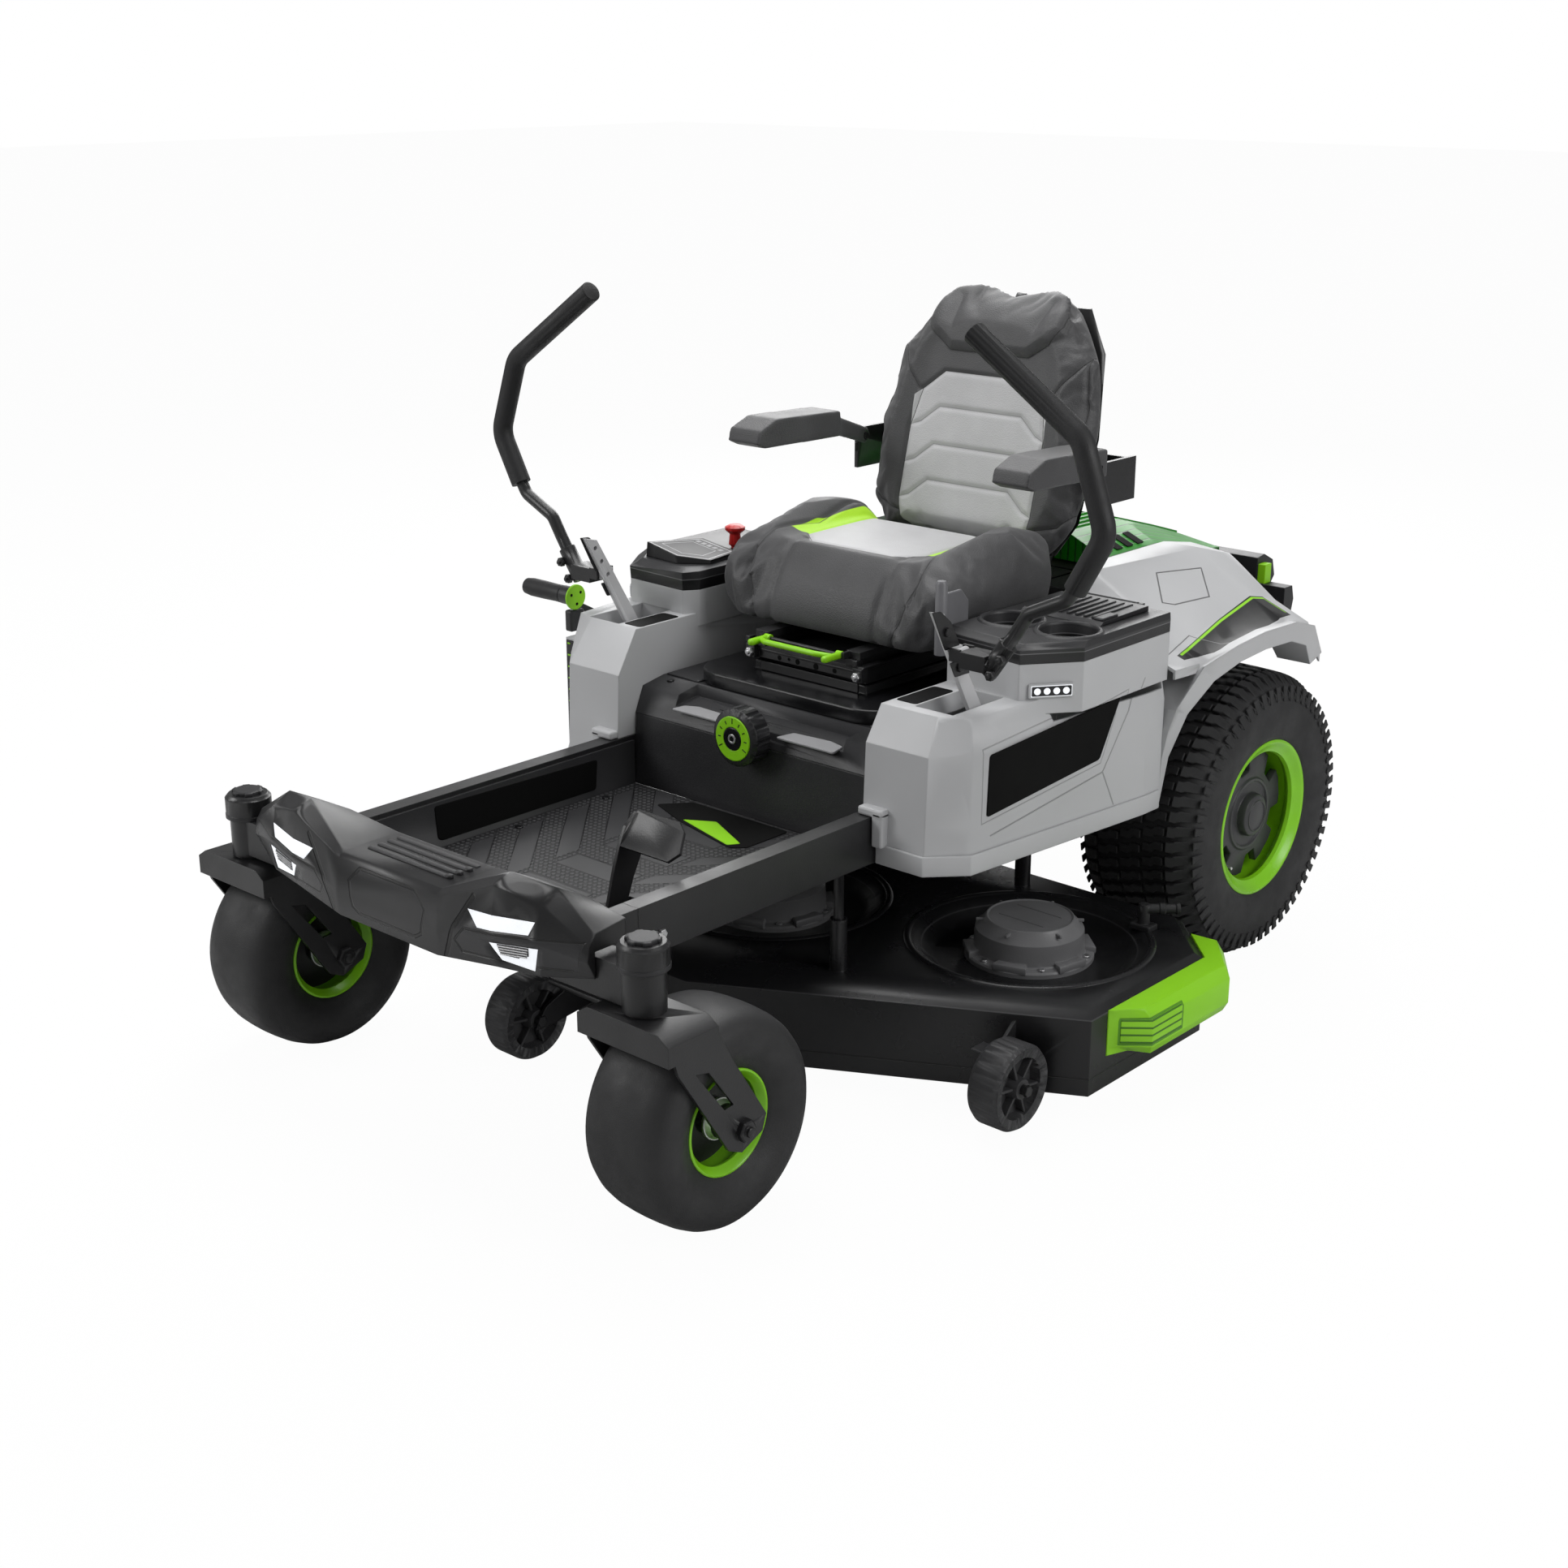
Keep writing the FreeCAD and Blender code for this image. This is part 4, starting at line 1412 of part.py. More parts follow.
# ---------------------------------------------------------------- check and write
faults = [f"{obj.Label}: {obj.State}" for obj in doc.Objects
          if "Invalid" in obj.State or "Error" in obj.State]
for name, obj in NODES.items():
    if obj.Shape.isNull() or not obj.Shape.isValid() or not obj.Shape.Solids:
        faults.append(f"{name}: no valid solid")
if faults:
    raise RuntimeError("; ".join(faults))
for name, obj in NODES.items():
    obj.Shape.exportStep(f"parts/{name}.step")
print(len(NODES), "nodes,", sum(len(obj.Shape.Solids) for obj in NODES.values()), "solids")
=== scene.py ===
import json
import math

import bpy
from mathutils import Matrix, Vector

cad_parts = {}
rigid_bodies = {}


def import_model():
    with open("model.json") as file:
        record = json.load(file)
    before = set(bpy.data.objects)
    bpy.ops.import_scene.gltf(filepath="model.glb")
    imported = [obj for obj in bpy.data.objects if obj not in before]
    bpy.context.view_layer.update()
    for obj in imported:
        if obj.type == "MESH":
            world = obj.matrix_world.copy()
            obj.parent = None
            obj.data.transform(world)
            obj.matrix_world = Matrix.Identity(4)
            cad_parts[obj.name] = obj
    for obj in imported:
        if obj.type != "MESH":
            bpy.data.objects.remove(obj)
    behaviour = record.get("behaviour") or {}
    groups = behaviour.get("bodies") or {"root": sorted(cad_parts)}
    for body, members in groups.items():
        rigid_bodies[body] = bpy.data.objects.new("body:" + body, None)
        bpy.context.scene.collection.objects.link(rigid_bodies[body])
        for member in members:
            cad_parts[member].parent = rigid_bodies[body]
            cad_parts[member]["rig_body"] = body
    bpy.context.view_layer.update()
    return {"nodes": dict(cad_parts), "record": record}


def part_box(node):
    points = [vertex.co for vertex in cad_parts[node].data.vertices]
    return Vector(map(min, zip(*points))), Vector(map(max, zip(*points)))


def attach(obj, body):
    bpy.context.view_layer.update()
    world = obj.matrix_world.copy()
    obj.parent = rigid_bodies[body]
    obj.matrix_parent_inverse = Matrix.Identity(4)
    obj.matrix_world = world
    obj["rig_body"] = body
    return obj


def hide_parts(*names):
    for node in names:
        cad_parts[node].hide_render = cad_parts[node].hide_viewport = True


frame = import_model()
NODES = frame["nodes"]
SLOTS = {part["node"]: part["material_slot"] for part in frame["record"]["subparts"]}


# ---------------------------------------------------------------- shader wiring
def operator(operation, swap=False):
    def run(self, *others):
        values = (*others, self) if swap else (self, *others)
        return self.paint.node("ShaderNodeMath", {"operation": operation}, dict(enumerate(values)))
    return run


class Wire:
    """A shader socket that adds, multiplies and compares like a number."""

    def __init__(self, paint, socket):
        self.paint = paint
        self.socket = socket

    __add__ = __radd__ = operator("ADD")
    __sub__ = operator("SUBTRACT")
    __rsub__ = operator("SUBTRACT", swap=True)
    __mul__ = __rmul__ = operator("MULTIPLY")
    __gt__ = operator("GREATER_THAN")
    __lt__ = operator("LESS_THAN")
    __abs__ = operator("ABSOLUTE")
    least = operator("MINIMUM")
    most = operator("MAXIMUM")
    wave = operator("SINE")
    root = operator("SQRT")
    repeat = operator("FLOORED_MODULO")

    def ramp(self, low, high):
        """0 below low and 1 above high, with a soft step between."""
        return self.paint.node("ShaderNodeMapRange", {"interpolation_type": "SMOOTHSTEP", "clamp": True},
                               {"Value": self, "From Min": low, "From Max": high})


class Paint:
    """A finish: one principled surface and the nodes that vary it."""

    def __init__(self, name, color, roughness=0.5, **sockets):
        self.material = bpy.data.materials.new(name)
        self.material.use_nodes = True
        self.tree = self.material.node_tree
        self.surface = self.tree.nodes["Principled BSDF"]
        self.output = self.tree.nodes["Material Output"]
        self.surface.inputs["Base Color"].default_value = (*color, 1)
        self.surface.inputs["Roughness"].default_value = roughness
        for word, value in sockets.items():
            self.surface.inputs[word.replace("_", " ")].default_value = value

    def node(self, kind, settings=None, inputs=None, output=0):
        new = self.tree.nodes.new(kind)
        for word, value in (settings or {}).items():
            setattr(new, word, value)
        for place, value in (inputs or {}).items():
            socket = new.inputs[place]
            if isinstance(value, Wire):
                self.tree.links.new(value.socket, socket)
            elif isinstance(value, tuple) and len(value) == 3 and socket.type == "RGBA":
                socket.default_value = (*value, 1)
            else:
                socket.default_value = value
        return Wire(self, new.outputs[output])

    def link(self, **wires):
        for word, wire in wires.items():
            self.tree.links.new(wire.socket, self.surface.inputs[word.replace("_", " ")])
        return self

    def place(self):
        """Object coordinates, whole and split in three."""
        whole = self.node("ShaderNodeTexCoord", output="Object")
        parts = [self.node("ShaderNodeSeparateXYZ", None, {0: whole}, axis) for axis in "XYZ"]
        return whole, *parts

    def noise(self, size, detail=3, at=None):
        inputs = {"Scale": 1 / size, "Detail": detail, "Roughness": 0.55}
        inputs["Vector"] = at or self.node("ShaderNodeTexCoord", output="Object")
        return self.node("ShaderNodeTexNoise", None, inputs)

    def cells(self, size, at):
        return self.node("ShaderNodeTexVoronoi", None, {"Scale": 1 / size, "Vector": at})

    def blend(self, mask, below, above):
        return self.node("ShaderNodeMix", {"data_type": "RGBA"}, {0: mask, 6: below, 7: above}, 2)

    def bump(self, height, depth, edge=0.0):
        """Relief from a height of 0 to 1, on edges that are rounded by the given radius."""
        inputs = {"Height": height, "Distance": depth, "Strength": 1.0}
        if edge:
            inputs["Normal"] = self.node("ShaderNodeBevel", {"samples": 4}, {"Radius": edge})
        return self.link(Normal=self.node("ShaderNodeBump", None, inputs))


def shade(paint, color, spread, size, edge, grain, depth, rough, rough_spread):
    """The usual build of a finish: slow colour drift, fine grain relief, and uneven gloss."""
    drift = paint.noise(size, 3)
    light = tuple(min(1, c * (1 + spread)) for c in color)
    dark = tuple(c * (1 - spread) for c in color)
    fine = paint.noise(grain, 2)
    paint.link(Base_Color=paint.blend(drift.ramp(0.3, 0.7), dark, light),
               Roughness=paint.noise(size * 0.4, 4).ramp(0.25, 0.75) * rough_spread + rough)
    paint.bump(fine, depth, edge)
    return paint


# ---------------------------------------------------------------- modelling helpers
UP, FRONT, LEFT, RIGHT = (0, 0, 1), (0, -1, 0), (1, 0, 0), (-1, 0, 0)
SIDES = ((1, "left"), (-1, "right"))


def only(obj):
    for other in list(bpy.context.selected_objects):
        other.select_set(False)
    obj.select_set(True)
    bpy.context.view_layer.objects.active = obj
    return obj


def editing(obj, *steps):
    """Runs operators on a piece in edit mode."""
    only(obj)
    bpy.ops.object.mode_set(mode="EDIT")
    for step in steps:
        step()
    bpy.ops.object.mode_set(mode="OBJECT")
    return obj


def everything():
    bpy.ops.mesh.select_all(action="SELECT")


def outward():
    """Turns all faces of the piece being edited to the outside."""
    everything()
    bpy.ops.mesh.normals_make_consistent(inside=False)


def named(obj, name):
    obj.name = name
    obj.data.name = name
    return obj


def settle(obj, name):
    """Puts a piece's place into its mesh."""
    only(obj)
    bpy.ops.object.transform_apply(location=True, rotation=True, scale=True)
    return named(obj, name)


def finish_with(obj, kind, **settings):
    """Adds a modifier and applies it."""
    only(obj)
    modifier = obj.modifiers.new(kind.title(), kind)
    for word, value in settings.items():
        setattr(modifier, word, value)
    bpy.ops.object.modifier_apply(modifier=modifier.name)
    return obj


def rounded(obj, width, segments=2):
    return finish_with(obj, "BEVEL", width=width, segments=segments, limit_method="ANGLE",
                       angle_limit=math.radians(30), use_clamp_overlap=True)


def smooth(obj, angle=35):
    only(obj)
    bpy.ops.object.shade_smooth_by_angle(angle=math.radians(angle))
    return obj


def cube(name, low, high, edge=0.0, segments=2):
    """A block between two corners, with rounded edges."""
    low, high = Vector(low), Vector(high)
    bpy.ops.mesh.primitive_cube_add(size=1, location=(low + high) / 2)
    obj = bpy.context.object
    obj.scale = high - low
    settle(obj, name)
    if edge:
        rounded(obj, edge, segments)
    return obj


def beam(name, x, half, y, z, edge=0.0, segments=2):
    """A block with its middle at x, from its first to its second y and z."""
    return cube(name, (x - half, y[0], z[0]), (x + half, y[1], z[1]), edge, segments)


def turned_to(obj, start, end):
    """Stands a piece made along Z from the origin on a line from start to end."""
    run = Vector(end) - Vector(start)
    turn = run.to_track_quat("Z", "Y").to_matrix().to_4x4()
    obj.data.transform(Matrix.Translation(Vector(start)) @ turn)
    return obj


def drawn(name, spots, *steps):
    """A piece that starts as a line through spots in space and is finished by edit steps."""
    bpy.ops.mesh.primitive_plane_add(size=0.001)
    obj = bpy.context.object
    spots = [Vector(spot) for spot in spots]

    def draw():
        bpy.ops.mesh.merge(type="CENTER")
        bpy.ops.transform.translate(value=spots[0])
        for start, end in zip(spots, spots[1:]):
            bpy.ops.mesh.extrude_vertices_move(TRANSFORM_OT_translate={"value": end - start})

    editing(obj, everything, draw, everything, *steps)
    return settle(obj, name)


def lathe(name, points, start, end, steps=32, smooth_angle=35):
    """A turned piece: (radius, distance along) points spun round the line from start towards end."""
    def spin():
        bpy.ops.mesh.spin(steps=steps, angle=math.tau, center=(0, 0, 0), axis=(0, 0, 1))
        everything()
        bpy.ops.mesh.remove_doubles(threshold=0.00002)

    obj = drawn(name, [(radius, 0, along) for radius, along in points], spin, outward)
    turned_to(obj, start, end)
    return smooth(obj, smooth_angle)


def slab(name, outline, to_place, thickness, edge=0.0, segments=2):
    """A plate: a flat outline, pushed out by its thickness, with each corner put in place by a function."""
    def thicken():
        bpy.ops.mesh.edge_face_add()
        everything()
        bpy.ops.mesh.extrude_region_move(TRANSFORM_OT_translate={"value": (0, 0, thickness)})

    obj = drawn(name, [(*spot, 0) for spot in outline], thicken, outward)
    if edge:
        rounded(obj, edge, segments)
    for vertex in obj.data.vertices:
        vertex.co = to_place(vertex.co)
    return editing(obj, outward)


def merged(name, *objs):
    """Joins pieces into one."""
    only(objs[0])
    for obj in objs:
        obj.select_set(True)
    if len(objs) > 1:
        bpy.ops.object.join()
    return named(bpy.context.view_layer.objects.active, name)


def copy_of(obj, matrix):
    """A copy of a piece with its own mesh, moved by a matrix."""
    new = obj.copy()
    new.data = obj.data.copy()
    bpy.context.scene.collection.objects.link(new)
    new.data.transform(matrix)
    if matrix.determinant() < 0:
        editing(new, everything, bpy.ops.mesh.flip_normals)
    return new


def shift(x=0.0, y=0.0, z=0.0):
    return Matrix.Translation((x, y, z))


def turn_about(axis, degrees, centre):
    centre = Vector(centre)
    return shift(*centre) @ Matrix.Rotation(math.radians(degrees), 4, axis) @ shift(*-centre)


def turned(obj, axis, degrees, place=(0, 0, 0)):
    """Turns a piece about an axis through the origin, then moves it."""
    obj.data.transform(shift(*place) @ Matrix.Rotation(math.radians(degrees), 4, axis))
    return obj


MIRROR = Matrix.Scale(-1, 4, (1, 0, 0))


def closed(points):
    return (*points, points[0])


def paint_on(obj, paint):
    obj.data.materials.clear()
    obj.data.materials.append(paint.material)
    return obj


def dress(obj, paint, node, slot=None):
    """Paints a new piece and lets it ride with a node's body."""
    paint_on(obj, paint)
    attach(obj, NODES[node]["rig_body"])
    slot or SLOTS[node]
    return obj


def group(name, parts, paint, node, slot=None):
    """Joins small pieces into one that rides with a node's body."""
    return dress(merged(name, *parts), paint, node, slot)


def form(node, paint, edge=0.0, segments=2, flats=True):
    """A clean copy of a node's solids, its edges rounded, that stands for it."""
    obj = NODES[node].copy()
    obj.data = NODES[node].data.copy()
    for word in list(obj.keys()):
        del obj[word]
    obj.parent = None
    bpy.context.scene.collection.objects.link(obj)
    obj.name = node + "_form"

    def clean():
        everything()
        bpy.ops.mesh.remove_doubles(threshold=0.00001)
        if flats:
            bpy.ops.mesh.dissolve_limited(angle_limit=math.radians(0.6))

    editing(obj, clean)
    if edge:
        rounded(obj, edge, segments)
    smooth(obj, 30)
    dress(obj, paint, node)
    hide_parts(node)
    return obj


def mm(*values):
    return Vector(values) / 1000


# ---------------------------------------------------------------- camera, light and floor
LIGHTS = (("top_light", (-0.6, 0.2, 4.0), 2.6, 84), ("front_light", (-3.2, -3.8, 3.0), 2.2, 92),
          ("side_light", (4.4, 0.4, 2.6), 2.2, 76), ("back_light", (-2.3, 3.4, 2.7), 3.0, 110))
LIGHT_TARGET = Vector((0, 0, 0.4))
SKY_LIGHT = 0.24
FLOOR_GLOW = 0.95


def placed(name, data):
    obj = bpy.data.objects.new(name, data)
    bpy.context.scene.collection.objects.link(obj)
    return obj


def set_stage():
    data = bpy.data.cameras.new("camera")
    data.lens = 50
    data.sensor_width = 36
    camera = placed("camera", data)
    camera.location = (2.386, -2.751, 1.595)
    camera.rotation_euler = (math.radians(71.1), 0, math.radians(42.02))
    bpy.context.scene.camera = camera
    bpy.context.scene.view_settings.view_transform = "Standard"

    for name, place, size, power in LIGHTS:
        light = bpy.data.lights.new(name, "AREA")
        light.size = size
        light.energy = power
        lamp = placed(name, light)
        lamp.location = place
        lamp.rotation_euler = (LIGHT_TARGET - Vector(place)).to_track_quat("-Z", "Y").to_euler()

    world = bpy.data.worlds.new("studio")
    bpy.context.scene.world = world
    world.use_nodes = True
    tree = world.node_tree
    sky = tree.nodes["Background"]
    sky.inputs[0].default_value = (1, 1, 1, 1)
    path = tree.nodes.new("ShaderNodeLightPath")
    seen = tree.nodes.new("ShaderNodeMath")
    seen.operation = "MAXIMUM"
    tree.links.new(path.outputs["Is Camera Ray"], seen.inputs[0])
    tree.links.new(path.outputs["Is Transmission Ray"], seen.inputs[1])
    level = tree.nodes.new("ShaderNodeMapRange")
    level.inputs["To Min"].default_value = SKY_LIGHT
    level.inputs["To Max"].default_value = 1.0
    tree.links.new(seen.outputs[0], level.inputs["Value"])
    tree.links.new(level.outputs[0], sky.inputs["Strength"])

    bpy.ops.mesh.primitive_plane_add(size=60)
    floor = bpy.context.object
    floor.name = "studio_floor"
    pale = Paint("floor", (0.6, 0.6, 0.6), 0.7)
    glow = pale.node("ShaderNodeEmission", None, {"Color": (1.0, 1.0, 1.0), "Strength": 1.02})
    ray = pale.node("ShaderNodeLightPath", output="Is Camera Ray") * FLOOR_GLOW
    mixed = pale.node("ShaderNodeMixShader", None, {0: ray, 1: Wire(pale, pale.surface.outputs[0]), 2: glow})
    pale.tree.links.new(mixed.socket, pale.output.inputs["Surface"])
    paint_on(floor, pale)


# ---------------------------------------------------------------- finishes
def moulded(name, color, grain=0.0009, depth=0.00022, rough=0.42):
    """Moulded plastic with a fine spark grain."""
    return shade(Paint(name, color, rough), color, 0.05, 0.35, 0.003, grain, depth, rough, 0.12)


def coated(name, color, rough=0.34, coat=0.15):
    """Powder-coated steel: slight orange peel, a little dust in the gloss."""
    paint = Paint(name, color, rough, Coat_Weight=coat, Coat_Roughness=0.25)
    return shade(paint, color, 0.12, 0.2, 0.002, 0.0028, 0.00018, rough, 0.16)


def rubbery(name, color, rough=0.62):
    paint = Paint(name, color, rough)
    return shade(paint, color, 0.14, 0.12, 0.0015, 0.0016, 0.0004, rough, 0.2)


body_grey = moulded("light_grey_moulding", (0.56, 0.565, 0.575), rough=0.36)
charcoal = moulded("charcoal_moulding", (0.023, 0.023, 0.025), grain=0.0012, depth=0.0003, rough=0.34)
gloss_black = moulded("gloss_black_moulding", (0.008, 0.008, 0.009), depth=0.0001, rough=0.16)
black_steel = coated("black_powder_coat", (0.014, 0.014, 0.015), rough=0.3)
grey_steel = coated("dark_grey_powder_coat", (0.03, 0.03, 0.032), rough=0.3)
deck_black = coated("deck_paint", (0.01, 0.01, 0.011), rough=0.22, coat=0.3)
lime_gloss = moulded("lime_moulding", (0.31, 0.76, 0.01), depth=0.0001, rough=0.3)
lime_paint = coated("lime_wheel_paint", (0.27, 0.72, 0.01), rough=0.26, coat=0.3)
tyre_black = rubbery("tyre_rubber", (0.02, 0.02, 0.021), 0.46)
soft_black = rubbery("black_rubber", (0.013, 0.013, 0.014), 0.44)
red_gloss = moulded("red_moulding", (0.62, 0.012, 0.012), depth=0.0001, rough=0.25)


def metal(name, color, rough, streak=0.0):
    """Bare metal: fine tool marks or cast grain, and smudged gloss."""
    paint = Paint(name, color, rough, Metallic=1.0)
    place = paint.place()[0]
    if streak:
        place = paint.node("ShaderNodeMapping", None, {"Vector": place, "Scale": (1.0, 1.0, streak)})
    fine = paint.noise(0.0016, 3, at=place)
    paint.link(Roughness=paint.noise(0.05, 4).ramp(0.3, 0.7) * 0.16 + rough,
               Base_Color=paint.blend(fine, tuple(c * 0.86 for c in color), color))
    paint.bump(fine, 0.00025, 0.0015)
    return paint


plated = metal("plated_steel", (0.74, 0.74, 0.75), 0.3, 0.05)
cast_alloy = metal("cast_alloy", (0.3, 0.3, 0.31), 0.42)

set_stage()

# ---------------------------------------------------------------- soft parts
CLOTH_STEPS = 20


def stuffed(node, name, margin=0.0, pressure=0, cap=0.0, hold=None, voxel=0.006):
    """A node's solid as a filled cover: rounded, then swollen by a cloth simulation where it has pressure."""
    obj = form(node, charcoal, flats=False)
    obj.name = name
    low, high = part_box(node)
    centre, half = (low + high) / 2, (high - low) / 2
    for vertex in obj.data.vertices:
        for axis in range(3):
            part = (vertex.co[axis] - centre[axis]) / half[axis]
            vertex.co[axis] = centre[axis] + part * (half[axis] - margin)
    finish_with(obj, "REMESH", mode="VOXEL", voxel_size=voxel)
    finish_with(obj, "SMOOTH", factor=0.5, iterations=10)
    start = [v.co.copy() for v in obj.data.vertices]
    if pressure:
        held = obj.vertex_groups.new(name="held")
        held.add([v.index for v in obj.data.vertices if hold(v.co)], 1.0, "REPLACE")
        only(obj)
        cloth = obj.modifiers.new("Cloth", "CLOTH")
        settings = cloth.settings
        settings.use_pressure = True
        settings.uniform_pressure_force = pressure
        settings.effector_weights.gravity = 0
        settings.quality = 5
        settings.vertex_group_mass = "held"
        for step in range(1, CLOTH_STEPS + 1):
            bpy.context.scene.frame_set(step)
        bpy.ops.object.modifier_apply(modifier="Cloth")
        bpy.context.scene.frame_set(1)
        for vertex, before in zip(obj.data.vertices, start):
            move = vertex.co - before
            if move.length > cap:
                vertex.co = before + move * (cap / move.length)
    finish_with(obj, "SMOOTH", factor=0.5, iterations=3)
    finish_with(obj, "SUBSURF", levels=1, render_levels=1)
    for vertex in obj.data.vertices:
        for axis in range(3):
            vertex.co[axis] = min(max(vertex.co[axis], low[axis]), high[axis])
    for polygon in obj.data.polygons:
        polygon.use_smooth = True
    return obj


def pressed(obj, depth_at):
    """Moves each corner of a cover along its normal: seams go in, padding comes out."""
    obj.data.update()
    normals = [v.normal.copy() for v in obj.data.vertices]
    for vertex, normal in zip(obj.data.vertices, normals):
        vertex.co += normal * depth_at(vertex.co, normal)
    obj.data.update()


def line_gap(x, z, points):
    """Distance in a plane from a spot to a bent line."""
    best = 9.0
    for (x0, z0), (x1, z1) in zip(points, points[1:]):
        run_x, run_z = x1 - x0, z1 - z0
        t = ((x - x0) * run_x + (z - z0) * run_z) / (run_x * run_x + run_z * run_z)
        t = min(1.0, max(0.0, t))
        best = min(best, math.hypot(x - x0 - t * run_x, z - z0 - t * run_z))
    return best


def line_mask(x, z, points, width):
    """1 along a bent line in the plane of two coordinates, 0 away from it."""
    nearest = None
    for (x0, z0), (x1, z1) in zip(points, points[1:]):
        run_x, run_z = x1 - x0, z1 - z0
        scale = 1 / (run_x * run_x + run_z * run_z)
        t = ((x - x0) * (run_x * scale) + (z - z0) * (run_z * scale)).most(0.0).least(1.0)
        off_x, off_z = x - x0 - t * run_x, z - z0 - t * run_z
        gap = (off_x * off_x + off_z * off_z).root()
        nearest = gap if nearest is None else nearest.least(gap)
    return 1 - nearest.ramp(width * 0.5, width)


CUSHION_RISE = 1.09
NOSE_DROP = 0.014
CUSHION_SEAM = ((0.152, 0.6), (0.156, 0.64), (0.176, 0.7), (0.186, 0.745))
CUSHION_SEAM_TOP = ((0.186, -0.03), (0.184, 0.03), (0.172, 0.11), (0.16, 0.17), (0.172, 0.26), (0.172, 0.4))
PANEL_EDGE = ((0.072, 0.0), (0.072, 0.092), (0.108, 0.132), (0.4, 0.132))
CHEVRONS = (0.954, 0.887, 0.823)
BACK_FOOT = (0.378, 0.705)
BACK_LEAN = 0.27
SHARP = (-0.0004, 0.0004)
SHOULDER = ((0.205, 1.06), (0.143, 0.982))
SIDE_PIPING = ((0.205, 1.062), (0.236, 0.83), (0.226, 0.795), (0.2, 0.772), (0.146, 0.762))
BACK_PANEL = ((0.0, 1.017), (0.092, 1.017), (0.136, 0.982), (0.15, 0.915), (0.15, 0.785), (0.14, 0.733),
              (0.138, 0.69))
HEADREST = ((0.0, 1.056), (0.088, 1.056), (0.128, 1.082), (0.147, 1.112), (0.15, 1.19))


def chevron(height, reach):
    """A sewn line across the backrest that drops at its ends."""
    return (0.0, height), (0.092, height), (0.13, height - 0.03), (reach, height - 0.037)


def behind_face(y, z):
    """How far a place lies behind the leaning front of the backrest."""
    return y - BACK_FOOT[0] - (z - BACK_FOOT[1]) * BACK_LEAN


def seam_dent(gap):
    """How deep a sewn line pulls the cover in at a distance from it."""
    return -0.0034 * math.exp(-(gap / 0.0042) ** 2)


def seat_leather(name, seams, panel_mask, lime_mask=None):
    """Grained vinyl in charcoal, with pale panels, lime accents and dark sewn lines."""
    paint = Paint(name, (0.06, 0.06, 0.062), 0.5, Sheen_Weight=0.15)
    place, x, y, z = paint.place()
    wide = abs(x)
    pores = paint.cells(0.0022, place)
    folds = paint.noise(0.09, 4, at=place)
    dark = paint.blend(folds.ramp(0.3, 0.7), (0.05, 0.05, 0.052), (0.066, 0.066, 0.069))
    pale = paint.blend(folds.ramp(0.3, 0.7), (0.5, 0.5, 0.51), (0.56, 0.56, 0.57))
    color = paint.blend(panel_mask(wide, y, z), dark, pale)
    if lime_mask:
        color = paint.blend(lime_mask(wide, y, z), color, (0.44, 0.82, 0.01))
    seam = seams(wide, y, z)
    color = paint.blend(seam * 0.82, color, (0.012, 0.012, 0.012))
    paint.link(Base_Color=color, Roughness=folds.ramp(0.2, 0.8) * 0.12 + 0.44)
    paint.bump(pores.ramp(0.1, 0.75) * 0.35 + folds * 0.3 - seam, 0.0006)
    return paint


